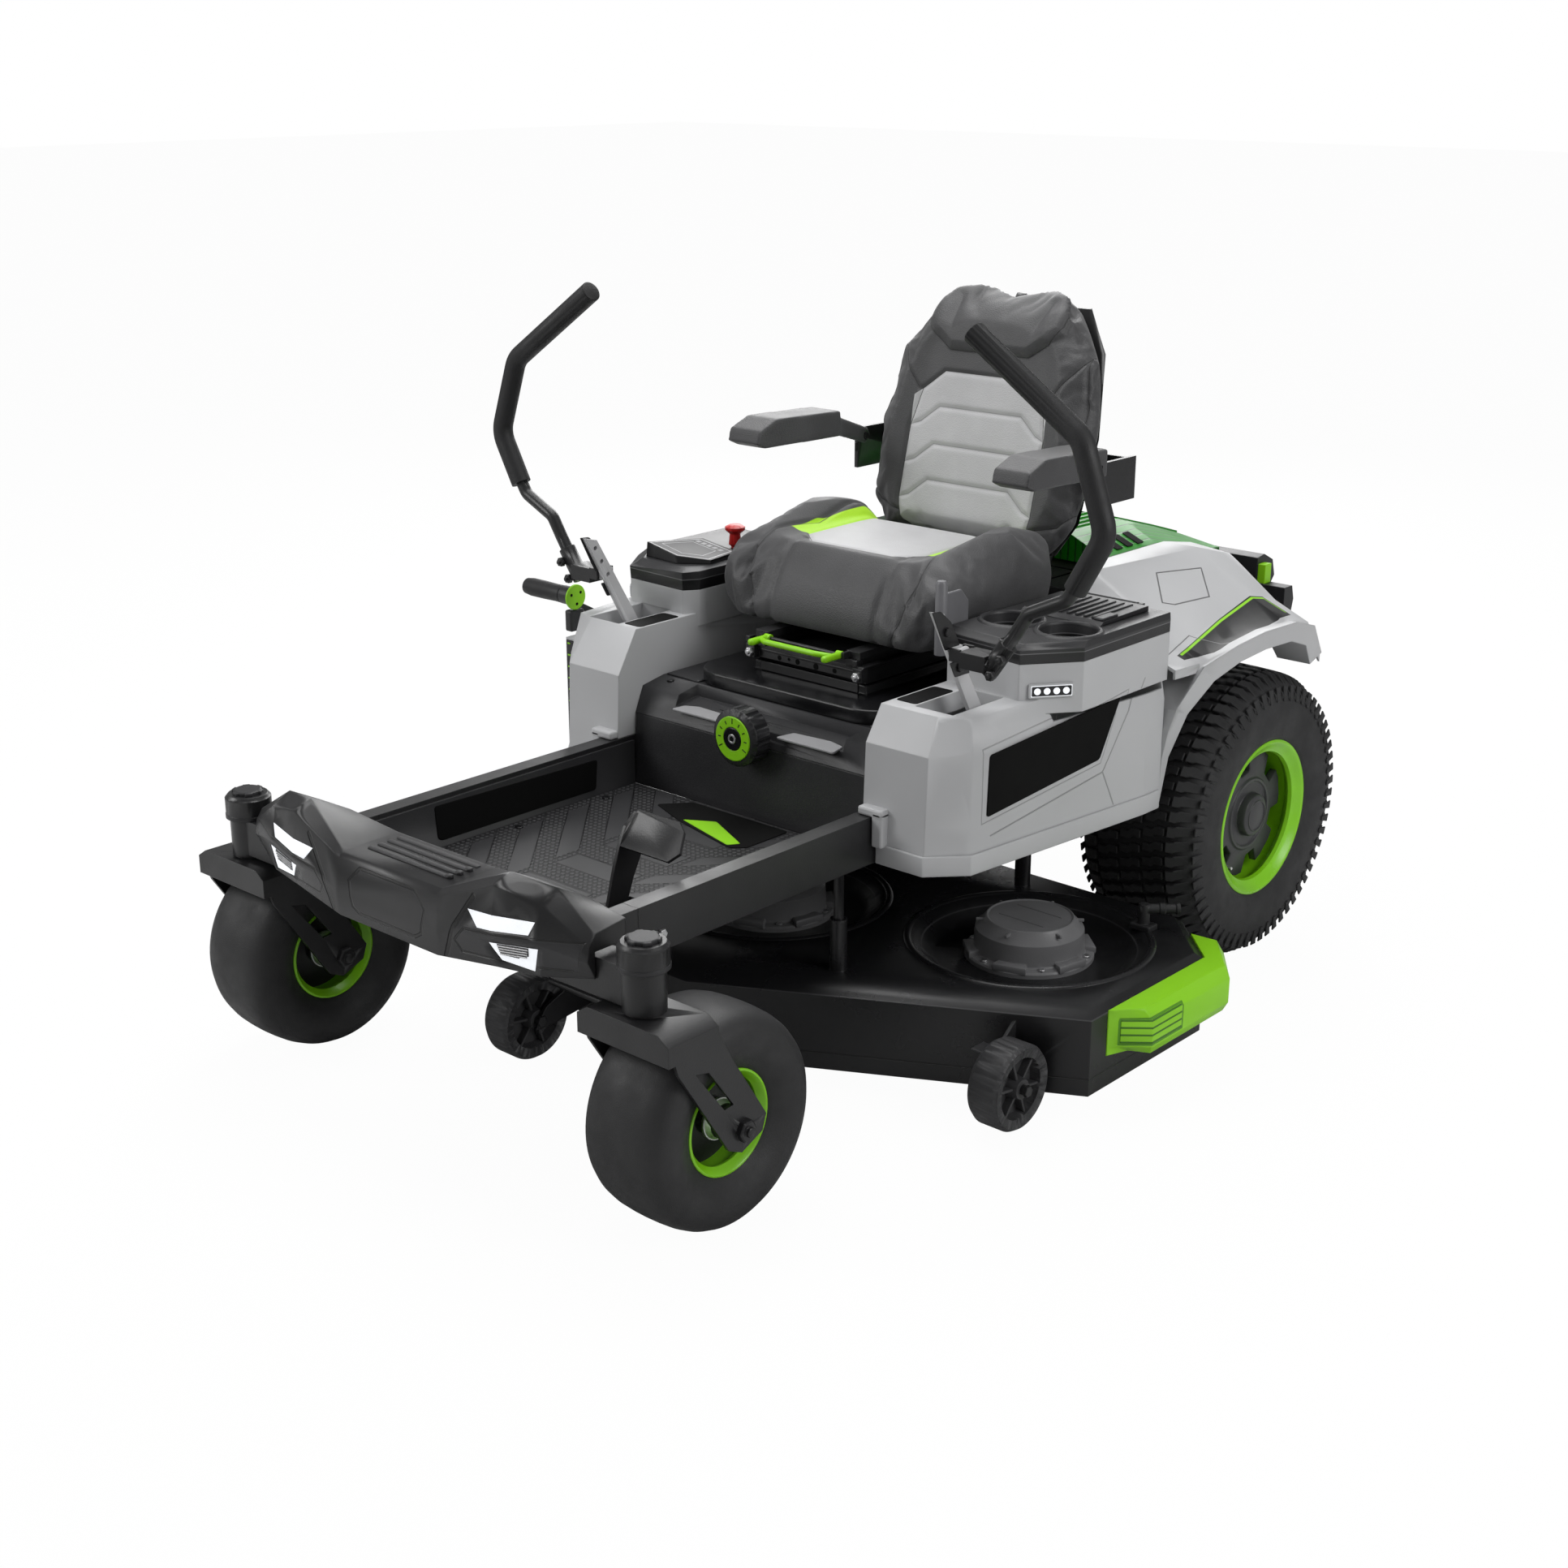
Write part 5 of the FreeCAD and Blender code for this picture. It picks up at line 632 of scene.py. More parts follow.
def make_seat():
    cushion = stuffed("seat_cushion", "seat_cushion_cover", 0.009, 4, 0.024,
                      lambda co: co.z < 0.64)

    def cushion_relief(co, normal):
        wide = abs(co.x)
        if normal.z > 0.45:
            gap = min(line_gap(wide, co.y, CUSHION_SEAM_TOP), line_gap(co.y, wide, PANEL_EDGE) + 0.002)
        elif normal.y < -0.2:
            gap = line_gap(wide, co.z, CUSHION_SEAM)
        else:
            return 0.0
        fold = 0.003 * math.exp(-((wide - 0.118) / 0.009) ** 2) if co.y < 0.09 else 0.0
        return seam_dent(gap) - fold

    pressed(cushion, cushion_relief)
    low = min(vertex.co.z for vertex in cushion.data.vertices)
    for vertex in cushion.data.vertices:
        vertex.co.z = low + (vertex.co.z - low) * CUSHION_RISE
        front = min(1.0, max(0.0, (0.09 - vertex.co.y) / 0.08))
        under = min(1.0, max(0.0, (0.7 - vertex.co.z) / 0.08))
        vertex.co.z -= NOSE_DROP * front * under

    def cushion_seams(wide, y, z):
        top = line_mask(wide, y, CUSHION_SEAM_TOP, 0.0012) * (z > 0.715)
        front = line_mask(wide, z, CUSHION_SEAM, 0.0012) * (y < 0.06)
        edge = line_mask(y, wide, PANEL_EDGE, 0.001) * (z > 0.7)
        return top.most(front).most(edge)

    def cushion_panel(wide, y, z):
        inside = (y - 0.072).least(0.132 - wide).least((y - wide) * 0.7 + 0.0168)
        return inside.ramp(*SHARP) * (z > 0.7)

    def cushion_lime(wide, y, z):
        inside = (wide - 0.132).least(0.17 - wide + (0.11 - y) * 0.06).least((y - 0.112) + (wide - 0.132) * 0.2)
        return inside.ramp(*SHARP) * (z > 0.7)

    dress(cushion, seat_leather("cushion_vinyl", cushion_seams, cushion_panel, cushion_lime), "seat_cushion")

    back = stuffed("seat_back_cushion", "seat_back_cover", 0.009, 4, 0.022,
                   lambda co: behind_face(co.y, co.z) > 0.062)

    def back_relief(co, normal):
        if normal.y > -0.15:
            return 0.0
        wide = abs(co.x)
        gap = min(line_gap(wide, co.z, line) for line in (SHOULDER, SIDE_PIPING, BACK_PANEL))
        if wide < 0.15:
            gap = min(gap, *(line_gap(wide, co.z, chevron(height, 0.152)) for height in CHEVRONS))
        over = min(co.z - 1.056, 0.15 - wide, (co.z - 1.056) * 0.82 + (0.088 - wide) * 0.57)
        raised = 0.011 * min(1.0, max(0.0, over / 0.016)) ** 0.6 if over > 0 else 0.0
        return seam_dent(gap) + raised

    pressed(back, back_relief)

    def back_seams(wide, y, z):
        total = line_mask(wide, z, SHOULDER, 0.0011).most(line_mask(wide, z, SIDE_PIPING, 0.0011))
        total = total.most(line_mask(wide, z, HEADREST, 0.0011)).most(
            line_mask(wide, z, BACK_PANEL, 0.0009))
        for height in CHEVRONS:
            total = total.most(line_mask(wide, z, chevron(height, 0.15), 0.001) * 0.45 * (wide < 0.15))
        return total * (1 - behind_face(y, z).ramp(0.03, 0.04))

    def back_panel(wide, y, z):
        edge = (0.15 - wide).least(1.017 - z).least((0.092 - wide) * 0.62 + (1.017 - z) * 0.78)
        edge = edge.least((0.15 - wide) + (z - 0.785) * 0.17)
        return edge.ramp(*SHARP) * (1 - behind_face(y, z).ramp(0.03, 0.04))

    dress(back, seat_leather("backrest_vinyl", back_seams, back_panel), "seat_back_cushion")

    def nowhere(wide, y, z):
        return (wide < 0.0) * 0.0

    arm_paint = seat_leather("armrest_skin", nowhere, nowhere)
    for _, side in SIDES:
        node = f"armrest_{side}"
        arm = stuffed(node, f"{node}_pad", voxel=0.003)
        dress(arm, arm_paint, node)


# ---------------------------------------------------------------- wheels
REAR_AXLE = mm(439, 578, 264)
FRONT_AXLE = (450, -783, 165)
CASTER_PIVOT_Y = -0.883
TREAD_RADIUS = 0.264
LUG_HEIGHT = 0.0105
LUG_COUNT = 60
HALF_PITCH = 0.0138


def mirrored(half):
    """The other half of a wheel's outline, run back from its end."""
    return [(radius, -along) for radius, along in reversed(half)]


def around_x(obj, count, name):
    """Copies a piece round the rear axle."""
    ring = [copy_of(obj, turn_about("X", 360 / count * k, REAR_AXLE)) for k in range(1, count)]
    return merged(name, obj, *ring)


def lug(outline):
    """One tread block: an outline (across, along the tread) raised from the carcass to the crown."""
    block = slab("lug", outline, lambda co: co, LUG_HEIGHT, 0.0012, 1)
    for vertex in block.data.vertices:
        across, along, up = vertex.co
        radius = crown_at(across) + up - LUG_HEIGHT
        angle = along / TREAD_RADIUS
        vertex.co = REAR_AXLE + Vector((across, radius * math.sin(angle), radius * math.cos(angle)))
    return block


def crown_at(across):
    """Outer radius of the tread at a distance across it."""
    wide = abs(across)
    if wide < 0.07:
        return TREAD_RADIUS - 0.3 * wide * wide
    if wide < 0.108:
        return 0.2625 - 7.5 * (wide - 0.07) ** 2
    return 0.2517 - 2.2 * (wide - 0.108)


def make_tread():
    rows = []
    zig_zag = [(-0.0205, -0.011), (-0.002, -0.011), (0.005, -0.0045), (0.0205, -0.0045), (0.0205, 0.0105),
               (0.002, 0.0105), (-0.005, 0.004), (-0.0205, 0.004)]
    for k, middle in enumerate((-0.046, 0.0, 0.046)):
        offset = HALF_PITCH * (k % 2)
        rows.append(around_x(lug([(x + middle, y + offset) for x, y in zig_zag]), LUG_COUNT, "lug_row"))
    shoulder = [(0.0715, -0.0115), (0.0845, -0.0115), (0.0905, -0.0075), (0.1185, -0.0045), (0.1185, 0.013),
                (0.088, 0.0115), (0.082, 0.0085), (0.0715, 0.0085)]
    wall = [(0.244, -0.0035), (0.244, 0.0115), (0.216, 0.01), (0.216, 0.0005)]
    for side in (1, -1):
        rows.append(around_x(lug([(side * x, side * y + HALF_PITCH * 0.5) for x, y in shoulder]), LUG_COUNT,
                             "lug_row"))
        skirt = slab("skirt", wall, lambda co: co, 0.0034, 0.001, 1)
        for vertex in skirt.data.vertices:
            out, along, up = vertex.co
            angle = (side * along + HALF_PITCH * 0.5) / 0.24
            across = side * (0.1172 + up - 0.16 * max(0.0, out - 0.226))
            vertex.co = REAR_AXLE + Vector((across, out * math.sin(angle), out * math.cos(angle)))
        rows.append(around_x(skirt, LUG_COUNT, "lug_row"))
    return smooth(editing(merged("rear_tyre_tread", *rows), outward), 30)


def make_rear_wheels():
    def round_part(name, points, steps, soft=40, off=(0, 0, 0)):
        return lathe(name, points, REAR_AXLE + mm(*off), REAR_AXLE + mm(*off) + mm(1000, 0, 0), steps, soft)

    wall = [(0.257, 0.035), (0.255, 0.07), (0.249, 0.096), (0.238, 0.1125), (0.222, 0.1175), (0.2, 0.1195),
            (0.175, 0.1195), (0.152, 0.116), (0.141, 0.11), (0.1375, 0.1)]
    carcass = round_part("rear_tyre_carcass", closed(mirrored(wall) + [(0.2575, 0.0)] + wall), 96, 60)
    tread = make_tread()
    flange = [(0.132, 0.08), (0.122, 0.086), (0.118, 0.094), (0.12, 0.101), (0.13, 0.106), (0.134, 0.111),
              (0.139, 0.1138), (0.1435, 0.1125), (0.1448, 0.108), (0.142, 0.104), (0.1375, 0.102)]
    rim = round_part("rear_wheel_rim", closed([(0.132, 0.0)] + flange + mirrored(flange)), 96)
    star = []
    for k in range(6):
        for turn, radius in ((-18, 0.1165), (-9, 0.1185), (9, 0.1185), (18, 0.1165), (20, 0.082), (40, 0.082)):
            angle = math.radians(60 * k + turn + 12)
            star.append((radius * math.cos(angle), radius * math.sin(angle)))

    def on_face(co):
        dish = 0.07 - 0.14 * max(0.0, math.hypot(co.x, co.y) - 0.06)
        return REAR_AXLE + Vector((dish + co.z, co.x, co.y))

    spokes = smooth(slab("rear_wheel_spokes", star, on_face, 0.014, 0.0022, 2), 25)
    hub = round_part("rear_wheel_hub", [
        (0.0, 0.052), (0.06, 0.052), (0.068, 0.081), (0.066, 0.0845), (0.061, 0.0845), (0.054, 0.072),
        (0.041, 0.07), (0.04, 0.09), (0.0375, 0.0955), (0.031, 0.0985), (0.0, 0.0995)], 64)
    ring = round_part("rear_wheel_ring", [(0.0265, 0.097), (0.0268, 0.1), (0.0285, 0.1), (0.029, 0.097)],
                       48)
    web = round_part("rear_wheel_web", [(0.015, 0.02), (0.1335, 0.02), (0.1335, 0.026), (0.015, 0.026)], 48)
    nut = round_part("wheel_nut", peg(0.026, 0.036, 0.038, 0.0105, 0.008), 6, 10, (0, 0, 50))
    nuts = around_x(nut, 5, "rear_wheel_nuts")
    valve = round_part("rear_valve", peg(0.06, 0.088, 0.09, 0.004, 0.0028), 12, 40, (0, -60, -88))
    insert = merged("rear_wheel_insert", spokes, hub, ring)
    parts = ((carcass, tread_rubber, "rear_tyre"), (tread, tread_rubber, "rear_tyre"),
             (rim, lime_paint, "rear_rim"), (insert, insert_grey, "rear_rim"), (web, black_steel, "rear_rim"),
             (nuts, plated, "rear_rim"), (valve, plated, "rear_rim"))
    for side, tag in SIDES:
        for piece, paint, node in parts:
            new = copy_of(piece, Matrix.Identity(4) if side > 0 else MIRROR)
            new.name = f"{piece.name}_{tag}"
            dress(new, paint, f"{node}_{tag}", "trim_plastic" if piece is insert else None)
            if piece in (carcass, rim):
                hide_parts(f"{node}_{tag}")
    for piece, *_ in parts:
        bpy.data.objects.remove(piece)


def make_front_wheels():
    wall = [(0.0768, 0.052), (0.0805, 0.0595), (0.0885, 0.063), (0.0965, 0.0685), (0.108, 0.0745),
            (0.1215, 0.0785), (0.134, 0.079), (0.145, 0.0755), (0.1535, 0.068), (0.1595, 0.056),
            (0.163, 0.04), (0.1645, 0.02)]
    flange = [(0.0755, 0.04), (0.068, 0.044), (0.067, 0.049), (0.0705, 0.0535), (0.074, 0.059),
              (0.0765, 0.0612), (0.0795, 0.06), (0.08, 0.057), (0.0785, 0.0545), (0.0765, 0.052)]
    core = [(0.0785, 0.012), (0.062, 0.012), (0.028, 0.02), (0.025, 0.055), (0.0185, 0.06), (0.0175, 0.078),
            (0.0098, 0.078)]
    for side, tag in SIDES:
        centre = mm(side * FRONT_AXLE[0], *FRONT_AXLE[1:])
        line = centre, centre + mm(1000, 0, 0)
        tyre = lathe(f"front_tyre_skin_{tag}", closed(wall + [(0.165, 0.0)] + mirrored(wall)), *line, 96, 60)
        dress(tyre, tyre_black, f"front_tyre_{tag}")
        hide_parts(f"front_tyre_{tag}")
        outline = closed([(0.0755, 0.0)] + flange + mirrored(flange))
        rim = lathe(f"front_wheel_rim_{tag}", outline, *line, 72, 40)
        dress(rim, lime_paint, f"front_rim_{tag}")
        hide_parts(f"front_rim_{tag}")
        hub = lathe(f"front_hub_{tag}", closed(mirrored(core) + core), *line, 48, 40)
        seal = lathe(f"front_seal_{tag}", [(0.0186, 0.061), (0.03, 0.0405), (0.0315, 0.0405), (0.0315, 0.036),
                                           (0.0256, 0.036)], *line, 48, 20)
        inner_seal = copy_of(seal, shift(2 * centre.x) @ MIRROR)
        dress(hub, soft_black, f"front_rim_{tag}", "trim_plastic")
        group(f"front_seals_{tag}", (seal, inner_seal), plated, f"front_rim_{tag}", "bare_steel")


# ---------------------------------------------------------------- small parts and plates
def soft_corners(outline, radius, steps=4):
    """An outline with its corners rounded."""
    soft = []
    for k, corner in enumerate(outline):
        corner = Vector(corner)
        ends = []
        for other in (outline[k - 1], outline[(k + 1) % len(outline)]):
            run = Vector(other) - corner
            ends.append(corner + run * min(radius / run.length, 0.45))
        for step in range(steps + 1):
            t = step / steps
            soft.append(tuple(ends[0].lerp(corner, t).lerp(corner.lerp(ends[1], t), t)))
    return soft


def on_plane(axis, level, spots):
    """Places (mm) on a plane across an axis, from their two other coordinates."""
    at = "xyz".index(axis)
    return [(*spot[:at], level, *spot[at:]) for spot in spots]


def oblong(u0, v0, u1, v1):
    return (u0, v0), (u1, v0), (u1, v1), (u0, v1)


def plate(name, corners, thick=0.001, toward=UP, radius=0.0, edge=0.0):
    """A flat plate on a surface: corners in space (mm), pushed out towards a direction."""
    corners = [mm(*c) for c in corners]
    origin = corners[0]
    u = (corners[1] - origin).normalized()
    n = u.cross(corners[-1] - origin).normalized()
    if n.dot(Vector(toward)) < 0:
        n = -n
    v = n.cross(u)
    flat = [((c - origin).dot(u), (c - origin).dot(v)) for c in corners]
    if radius:
        flat = soft_corners(flat, radius)
    return slab(name, flat, lambda co: origin + u * co.x + v * co.y + n * co.z, thick, edge, 2)


def peg(foot, shoulder, top, radius, tip, bore=0.0):
    """The outline of a turned peg: (radius, distance along) from its foot over its shoulder to its tip."""
    return [(bore, foot), (radius, foot), (radius, shoulder), (tip, top), (bore, top)]


def bolt(name, place, along, radius=0.008, length=0.006, thread=0.0):
    """A hex head standing on a place (mm), with an optional thread end beyond it."""
    start = mm(*place)
    line = start, start + Vector(along)
    head = lathe(name, peg(-0.002, length * 0.8, length, radius, radius * 0.86), *line, 6, 10)
    if not thread:
        return head
    shank = peg(0.0, length + thread * 0.8, length + thread, radius * 0.45, radius * 0.35)
    return merged(name, head, lathe("end", shank, *line, 14, 40))


def disc(name, place, along, radius, thick, rim=0.0):
    """A turned button or ring on a place (mm); a rim gives its bore."""
    start = mm(*place)
    points = peg(0.0, thick * 0.7, thick, radius, radius - min(thick * 0.3, 0.001), rim)
    return lathe(name, closed(points) if rim else points, start, start + Vector(along), 40, 35)


def pair(piece, paint, node, slot=None):
    """A piece on the left and its mirror image on the right; {} in the node's name is the side."""
    name = piece.name
    other = copy_of(piece, MIRROR)
    piece.name, other.name = f"{name}_left", f"{name}_right"
    dress(piece, paint, node.format("left"), slot)
    dress(other, paint, node.format("right"), slot)


def inside(u, v, corners):
    """1 within a convex outline in two coordinates; corners run anticlockwise."""
    deepest = None
    for (u0, v0), (u1, v1) in zip(corners, corners[1:] + corners[:1]):
        run_u, run_v = u1 - u0, v1 - v0
        length = math.hypot(run_u, run_v)
        depth = (v - v0) * (run_u / length) - (u - u0) * (run_v / length)
        deepest = depth if deepest is None else deepest.least(depth)
    return deepest.ramp(-0.0003, 0.0003)


def marked(name, color, rough, marks, depth=0.0002):
    """A moulded finish with marks: each is (mask, colour or None, how far it is sunk). Several marks are painted
    shade in grooves and creases, or painted highlights on edges.
    """
    paint = Paint(name, color, rough)
    spots = paint.place()[1:]
    drift = paint.noise(0.35, 3).ramp(0.3, 0.7)
    base = paint.blend(drift, tuple(c * 0.96 for c in color), tuple(c * 1.04 for c in color))
    height = paint.noise(0.0009, 2) * depth
    for mask, tint, sunk in marks(*spots):
        if tint:
            base = paint.blend(mask, base, tint)
        if sunk:
            height = height - mask * sunk
    paint.link(Base_Color=base, Roughness=paint.noise(0.14, 4).ramp(0.25, 0.75) * 0.12 + rough)
    return paint.bump(height, 1.0, 0.003)


# ---------------------------------------------------------------- bumper and lamps
def bumper_panel_and_groove_shade(x, y, z):
    wide = abs(x)
    face = (y < -0.905)
    badge = ((0.0, 0.448), (0.062, 0.448), (0.087, 0.424), (0.079, 0.386), (0.064, 0.377), (0.0, 0.377))
    split = ((0.188, 0.47), (0.15, 0.416), (0.13, 0.366))
    frame_line = ((0.372, 0.44), (0.172, 0.42), (0.152, 0.398), (0.164, 0.382), (0.352, 0.394))
    panel = inside(wide, z, [(0.164, 0.383), (0.36, 0.395), (0.372, 0.438), (0.172, 0.419), (0.153, 0.398)])
    yield panel * face, (0.03, 0.03, 0.032), 0.0008
    # Painted shade: the badge outline, the split lines and the lamp frame line are grooves coloured near black
    # where shade falls in them.
    yield line_mask(wide, z, badge, 0.003) * face, (0.006, 0.006, 0.006), 0.0016
    yield line_mask(wide, z, split, 0.0052) * face, (0.004, 0.004, 0.004), 0.003
    yield line_mask(wide, z, frame_line, 0.0024) * face, (0.01, 0.01, 0.01), 0.0012


def lens_face(x, z):
    """A place on the bumper's face round the lower lamps."""
    t = (x - 228) / 77
    low_z, high_z = 374 + 4 * t, 424 + 4 * t
    s = (z - low_z) / (high_z - low_z)
    return (x, -951 + 12 * t + s * (4 * t - 10), z)


def make_bumper():
    rows = (-0.922, -0.904, -0.886, -0.868)
    ribs = [cube("rib", (-0.092, y, 0.459), (0.092, y + 0.009, 0.4642), 0.0018) for y in rows]
    lugs = [cube("lug", (0.086, y + 0.001, 0.46), (0.096, y + 0.009, 0.4665), 0.0015) for y in rows[:3]]
    group("bumper_step_ribs", ribs + lugs, charcoal, "front_bumper")
    corners = [lens_face(x, z) for x, z in ((236, 413), (290, 418), (288, 398), (240, 397))]
    pair(plate("lamp_grille_back", corners, 0.0006, FRONT), gloss_black, "lamp_lenses", "lamp_lens")
    slats = []
    for k in range(4):
        top = 411.5 - 4.0 * k
        corners = [lens_face(237 + k, top), lens_face(289 - k, top + 4.4), lens_face(289 - k, top + 2.6),
                   lens_face(237 + k, top - 1.8)]
        slats.append(plate("slat", corners, 0.002, FRONT))
    pair(merged("lamp_grille_slats", *slats), plated, "lamp_lenses", "lamp_lens")


def make_casters():
    notches = [turned(cube("notch", (-0.006, 0.0205, 0.455), (0.006, 0.025, 0.4615), 0.001, 1), "Z", turn)
               for turn in range(0, 360, 60)]
    top = lathe("cap_top", peg(0.455, 0.4605, 0.462, 0.0225, 0.0205), (0, 0, 0), UP, 40)
    band = lathe("cap_band", [(0.03, 0.4175), (0.0372, 0.4175), (0.0372, 0.424), (0.0362, 0.425),
                              (0.03, 0.425)], (0, 0, 0), UP, 48)
    cap = merged("caster_cap_trim", top, band, *notches)
    for side, tag in SIDES:
        new = copy_of(cap, shift(side * 0.45, CASTER_PIVOT_Y, 0))
        new.name = f"caster_cap_trim_{tag}"
        dress(new, charcoal, "front_beam")
        x, y, z = FRONT_AXLE
        nuts = [bolt("axle_nut", (side * x + hand * 88, y, z), (hand, 0, 0), 0.017, 0.0105, 0.006)
                for hand in (1, -1)]
        group(f"caster_axle_nuts_{tag}", nuts, black_steel, f"caster_fork_{tag}")
    bpy.data.objects.remove(cap)


# ---------------------------------------------------------------- floor and pedal
def make_mat():
    paint = Paint("mat_rubber", (0.05, 0.05, 0.052), 0.5)
    x, y = paint.place()[1:3]
    along = (y - (abs(x) - 0.075).most(0.0) * 1.1 + 1.0).repeat(0.107)
    band = along.ramp(0.0, 0.002) * (1 - along.ramp(0.053, 0.055))
    ends = (1 - abs(abs(x) - 0.08).ramp(0.006, 0.008)).most(abs(x).ramp(0.236, 0.238))
    tile = band * (1 - ends)
    pebble = (((x + y) * 300).wave() * ((x - y) * 300).wave()).ramp(0.1, 0.4)
    border = (y < -0.775).most(y > -0.225)
    relief = (tile * 0.85 + pebble * (1 - tile)) * (1 - border) + border * 0.6
    groove = (along.ramp(0.0, 0.001) * (1 - along.ramp(0.003, 0.004))).most(
        along.ramp(0.05, 0.051) * (1 - along.ramp(0.053, 0.055)))
    color = paint.blend(tile, (0.01, 0.01, 0.011), (0.034, 0.034, 0.036))
    # Painted highlight: the pebble nubs are coloured paler where light catches their tops.
    color = paint.blend(pebble * (1 - tile), color, (0.062, 0.062, 0.065))
    # Painted shade: the grooves round the tiles are coloured near black.
    color = paint.blend(groove, color, (0.006, 0.006, 0.007))
    paint.link(Base_Color=color, Roughness=tile * -0.12 + 0.46 + paint.noise(0.1, 3) * 0.08)
    paint.bump(relief, 0.0026)
    form("floor_mat", paint)


def make_platform_details():
    outline = (-646, 356), (-638, 350), (-292, 350), (-287, 404), (-650, 412)
    dress(plate("rail_plate", on_plane("x", -273.5, outline), 0.0008, LEFT, 0.006), pure_black, "foot_platform",
          "frame_steel")
    outline = (-150, -265), (-60, -300), (90, -338), (112, -318), (112, -216), (-108, -216)
    dress(plate("floor_plate", on_plane("z", 344.1, outline), 0.001, UP, 0.008), pure_black, "floor_mat")
    outline = (-60, -292), (80, -331), (92, -312), (-10, -262)
    accent = plate("floor_plate_accent", on_plane("z", 345.1, outline), 0.0006, UP, 0.004)
    dress(accent, lime_gloss, "floor_mat")
    studs = [disc("stud", (x, y, 344), UP, 0.007, 0.002) for x in (-240, 240) for y in (-700, -500, -300)]
    group("mat_studs", studs, gloss_black, "floor_mat")
    heads = [bolt("head", (side * 311, y, 372), (side, 0, 0), 0.0085, 0.005)
             for side in (1, -1) for y in (-735, -712)]
    group("rail_bolts", heads, plated, "main_frame")


# ---------------------------------------------------------------- seat box, knob and suspension
def make_box_details():
    outline = (-113, -146, 494.4), (116, -143, 494.7), (94, -106, 497.6), (-118, -112, 497.1)
    dress(plate("cover_plate", outline, 0.0012, UP, 0.004), pure_black, "seat_box_cover")
    outlines = (
        ((-184, -190, 489.6), (-58, -190, 489.6), (-66, -160, 491.9), (-150, -156, 492.2), (-176, -166, 491.4)),
        ((60, -190, 489.6), (186, -190, 489.6), (182, -160, 491.9), (150, -152, 492.6), (72, -158, 492.0)))
    strips = [plate("strip", corners, 0.004, UP, 0.004, 0.001) for corners in outlines]
    group("cover_strips", strips, strip_grey, "seat_box_cover")
    screws = [disc("screw", (x, y, 520 - max(0, (-112 - y) * 0.17)), UP, 0.0065, 0.0025)
              for x in (-248, 248) for y in (-128, -30, 110, 300)]
    group("cover_screws", screws, gloss_black, "seat_box_cover")
    flanges = [beam("flange", side * 0.236, 0.04, (-0.11, 0.44), (0.519, 0.5235), 0.003) for side in (1, -1)]
    group("cover_flanges", flanges, charcoal, "seat_box_cover")
    face = (0, -230, 487)
    dress(disc("knob_dial", face, FRONT, 0.0385, 0.0022, 0.0205), lime_gloss, "suspension_knob", "lime_plastic")
    ticks = [turned(cube("tick", (-0.0008, -0.23275, 0.0265), (0.0008, -0.232, 0.0325 if k % 4 else 0.0355)),
                    "Y", -120 + 30 * k, (0, 0, 0.487)) for k in range(9)]
    group("knob_centre", [disc("knob_hub", face, FRONT, 0.02, 0.003), *ticks], gloss_black, "suspension_knob")
    dress(disc("knob_cap", (0, -233, 487), FRONT, 0.0085, 0.0012, 0.0048), plated, "suspension_knob")


def make_suspension_details():
    returns = [beam("return", x, 0.006, (-0.1, -0.052), (0.6055, 0.6175), 0.005, 3) for x in (0.0835, -0.0835)]
    group("slide_bar_returns", returns, lime_gloss, "seat_slide_bar")
    skirt = plate("suspension_skirt", on_plane("y", -38.2, oblong(-111, 547, 111, 562.4)), 0.0018, FRONT, 0.002)
    dress(skirt, black_steel, "suspension_base", "frame_steel")
    parts = [plate("face", on_plane("y", -41, oblong(-116, 570, 116, 587)), 0.0025, FRONT, 0.003, 0.0008)]
    for side in (1, -1):
        parts.append(beam("clamp", side * 0.122, 0.01, (-0.056, -0.0384), (0.57, 0.594), 0.001))
        parts.append(beam("clamp_ear", side * 0.122 - 0.009, 0.005, (-0.052, -0.036), (0.594, 0.606), 0.001))
        parts.append(beam("shelf_edge", side * 0.114, 0.018, (-0.05, 0.3), (0.5935, 0.5965), 0.001))
    parts.append(beam("fold", 0, 0.128, (-0.0455, -0.0405), (0.583, 0.587), 0.001))
    group("suspension_front_plate", parts, black_steel, "suspension_carriage", "frame_steel")
    # Painted shade: the holes in the front plate are thin flat-black discs standing in for the dark inside them.
    spots = ((-64, 576.5, 0.0045), (-22, 577, 0.005), (20, 576.5, 0.0058), (62, 577, 0.0045), (-42, 578, 0.003))
    holes = [disc("hole", (x, -43.4, z), FRONT, radius, 0.0004) for x, z, radius in spots]
    group("suspension_holes", holes, pure_black, "suspension_carriage")
    heads = [bolt("head", (side * 122, -56, 580), FRONT, 0.0085, 0.006, 0.004) for side in (1, -1)]
    group("suspension_bolts", heads, plated, "suspension_carriage", "bare_steel")


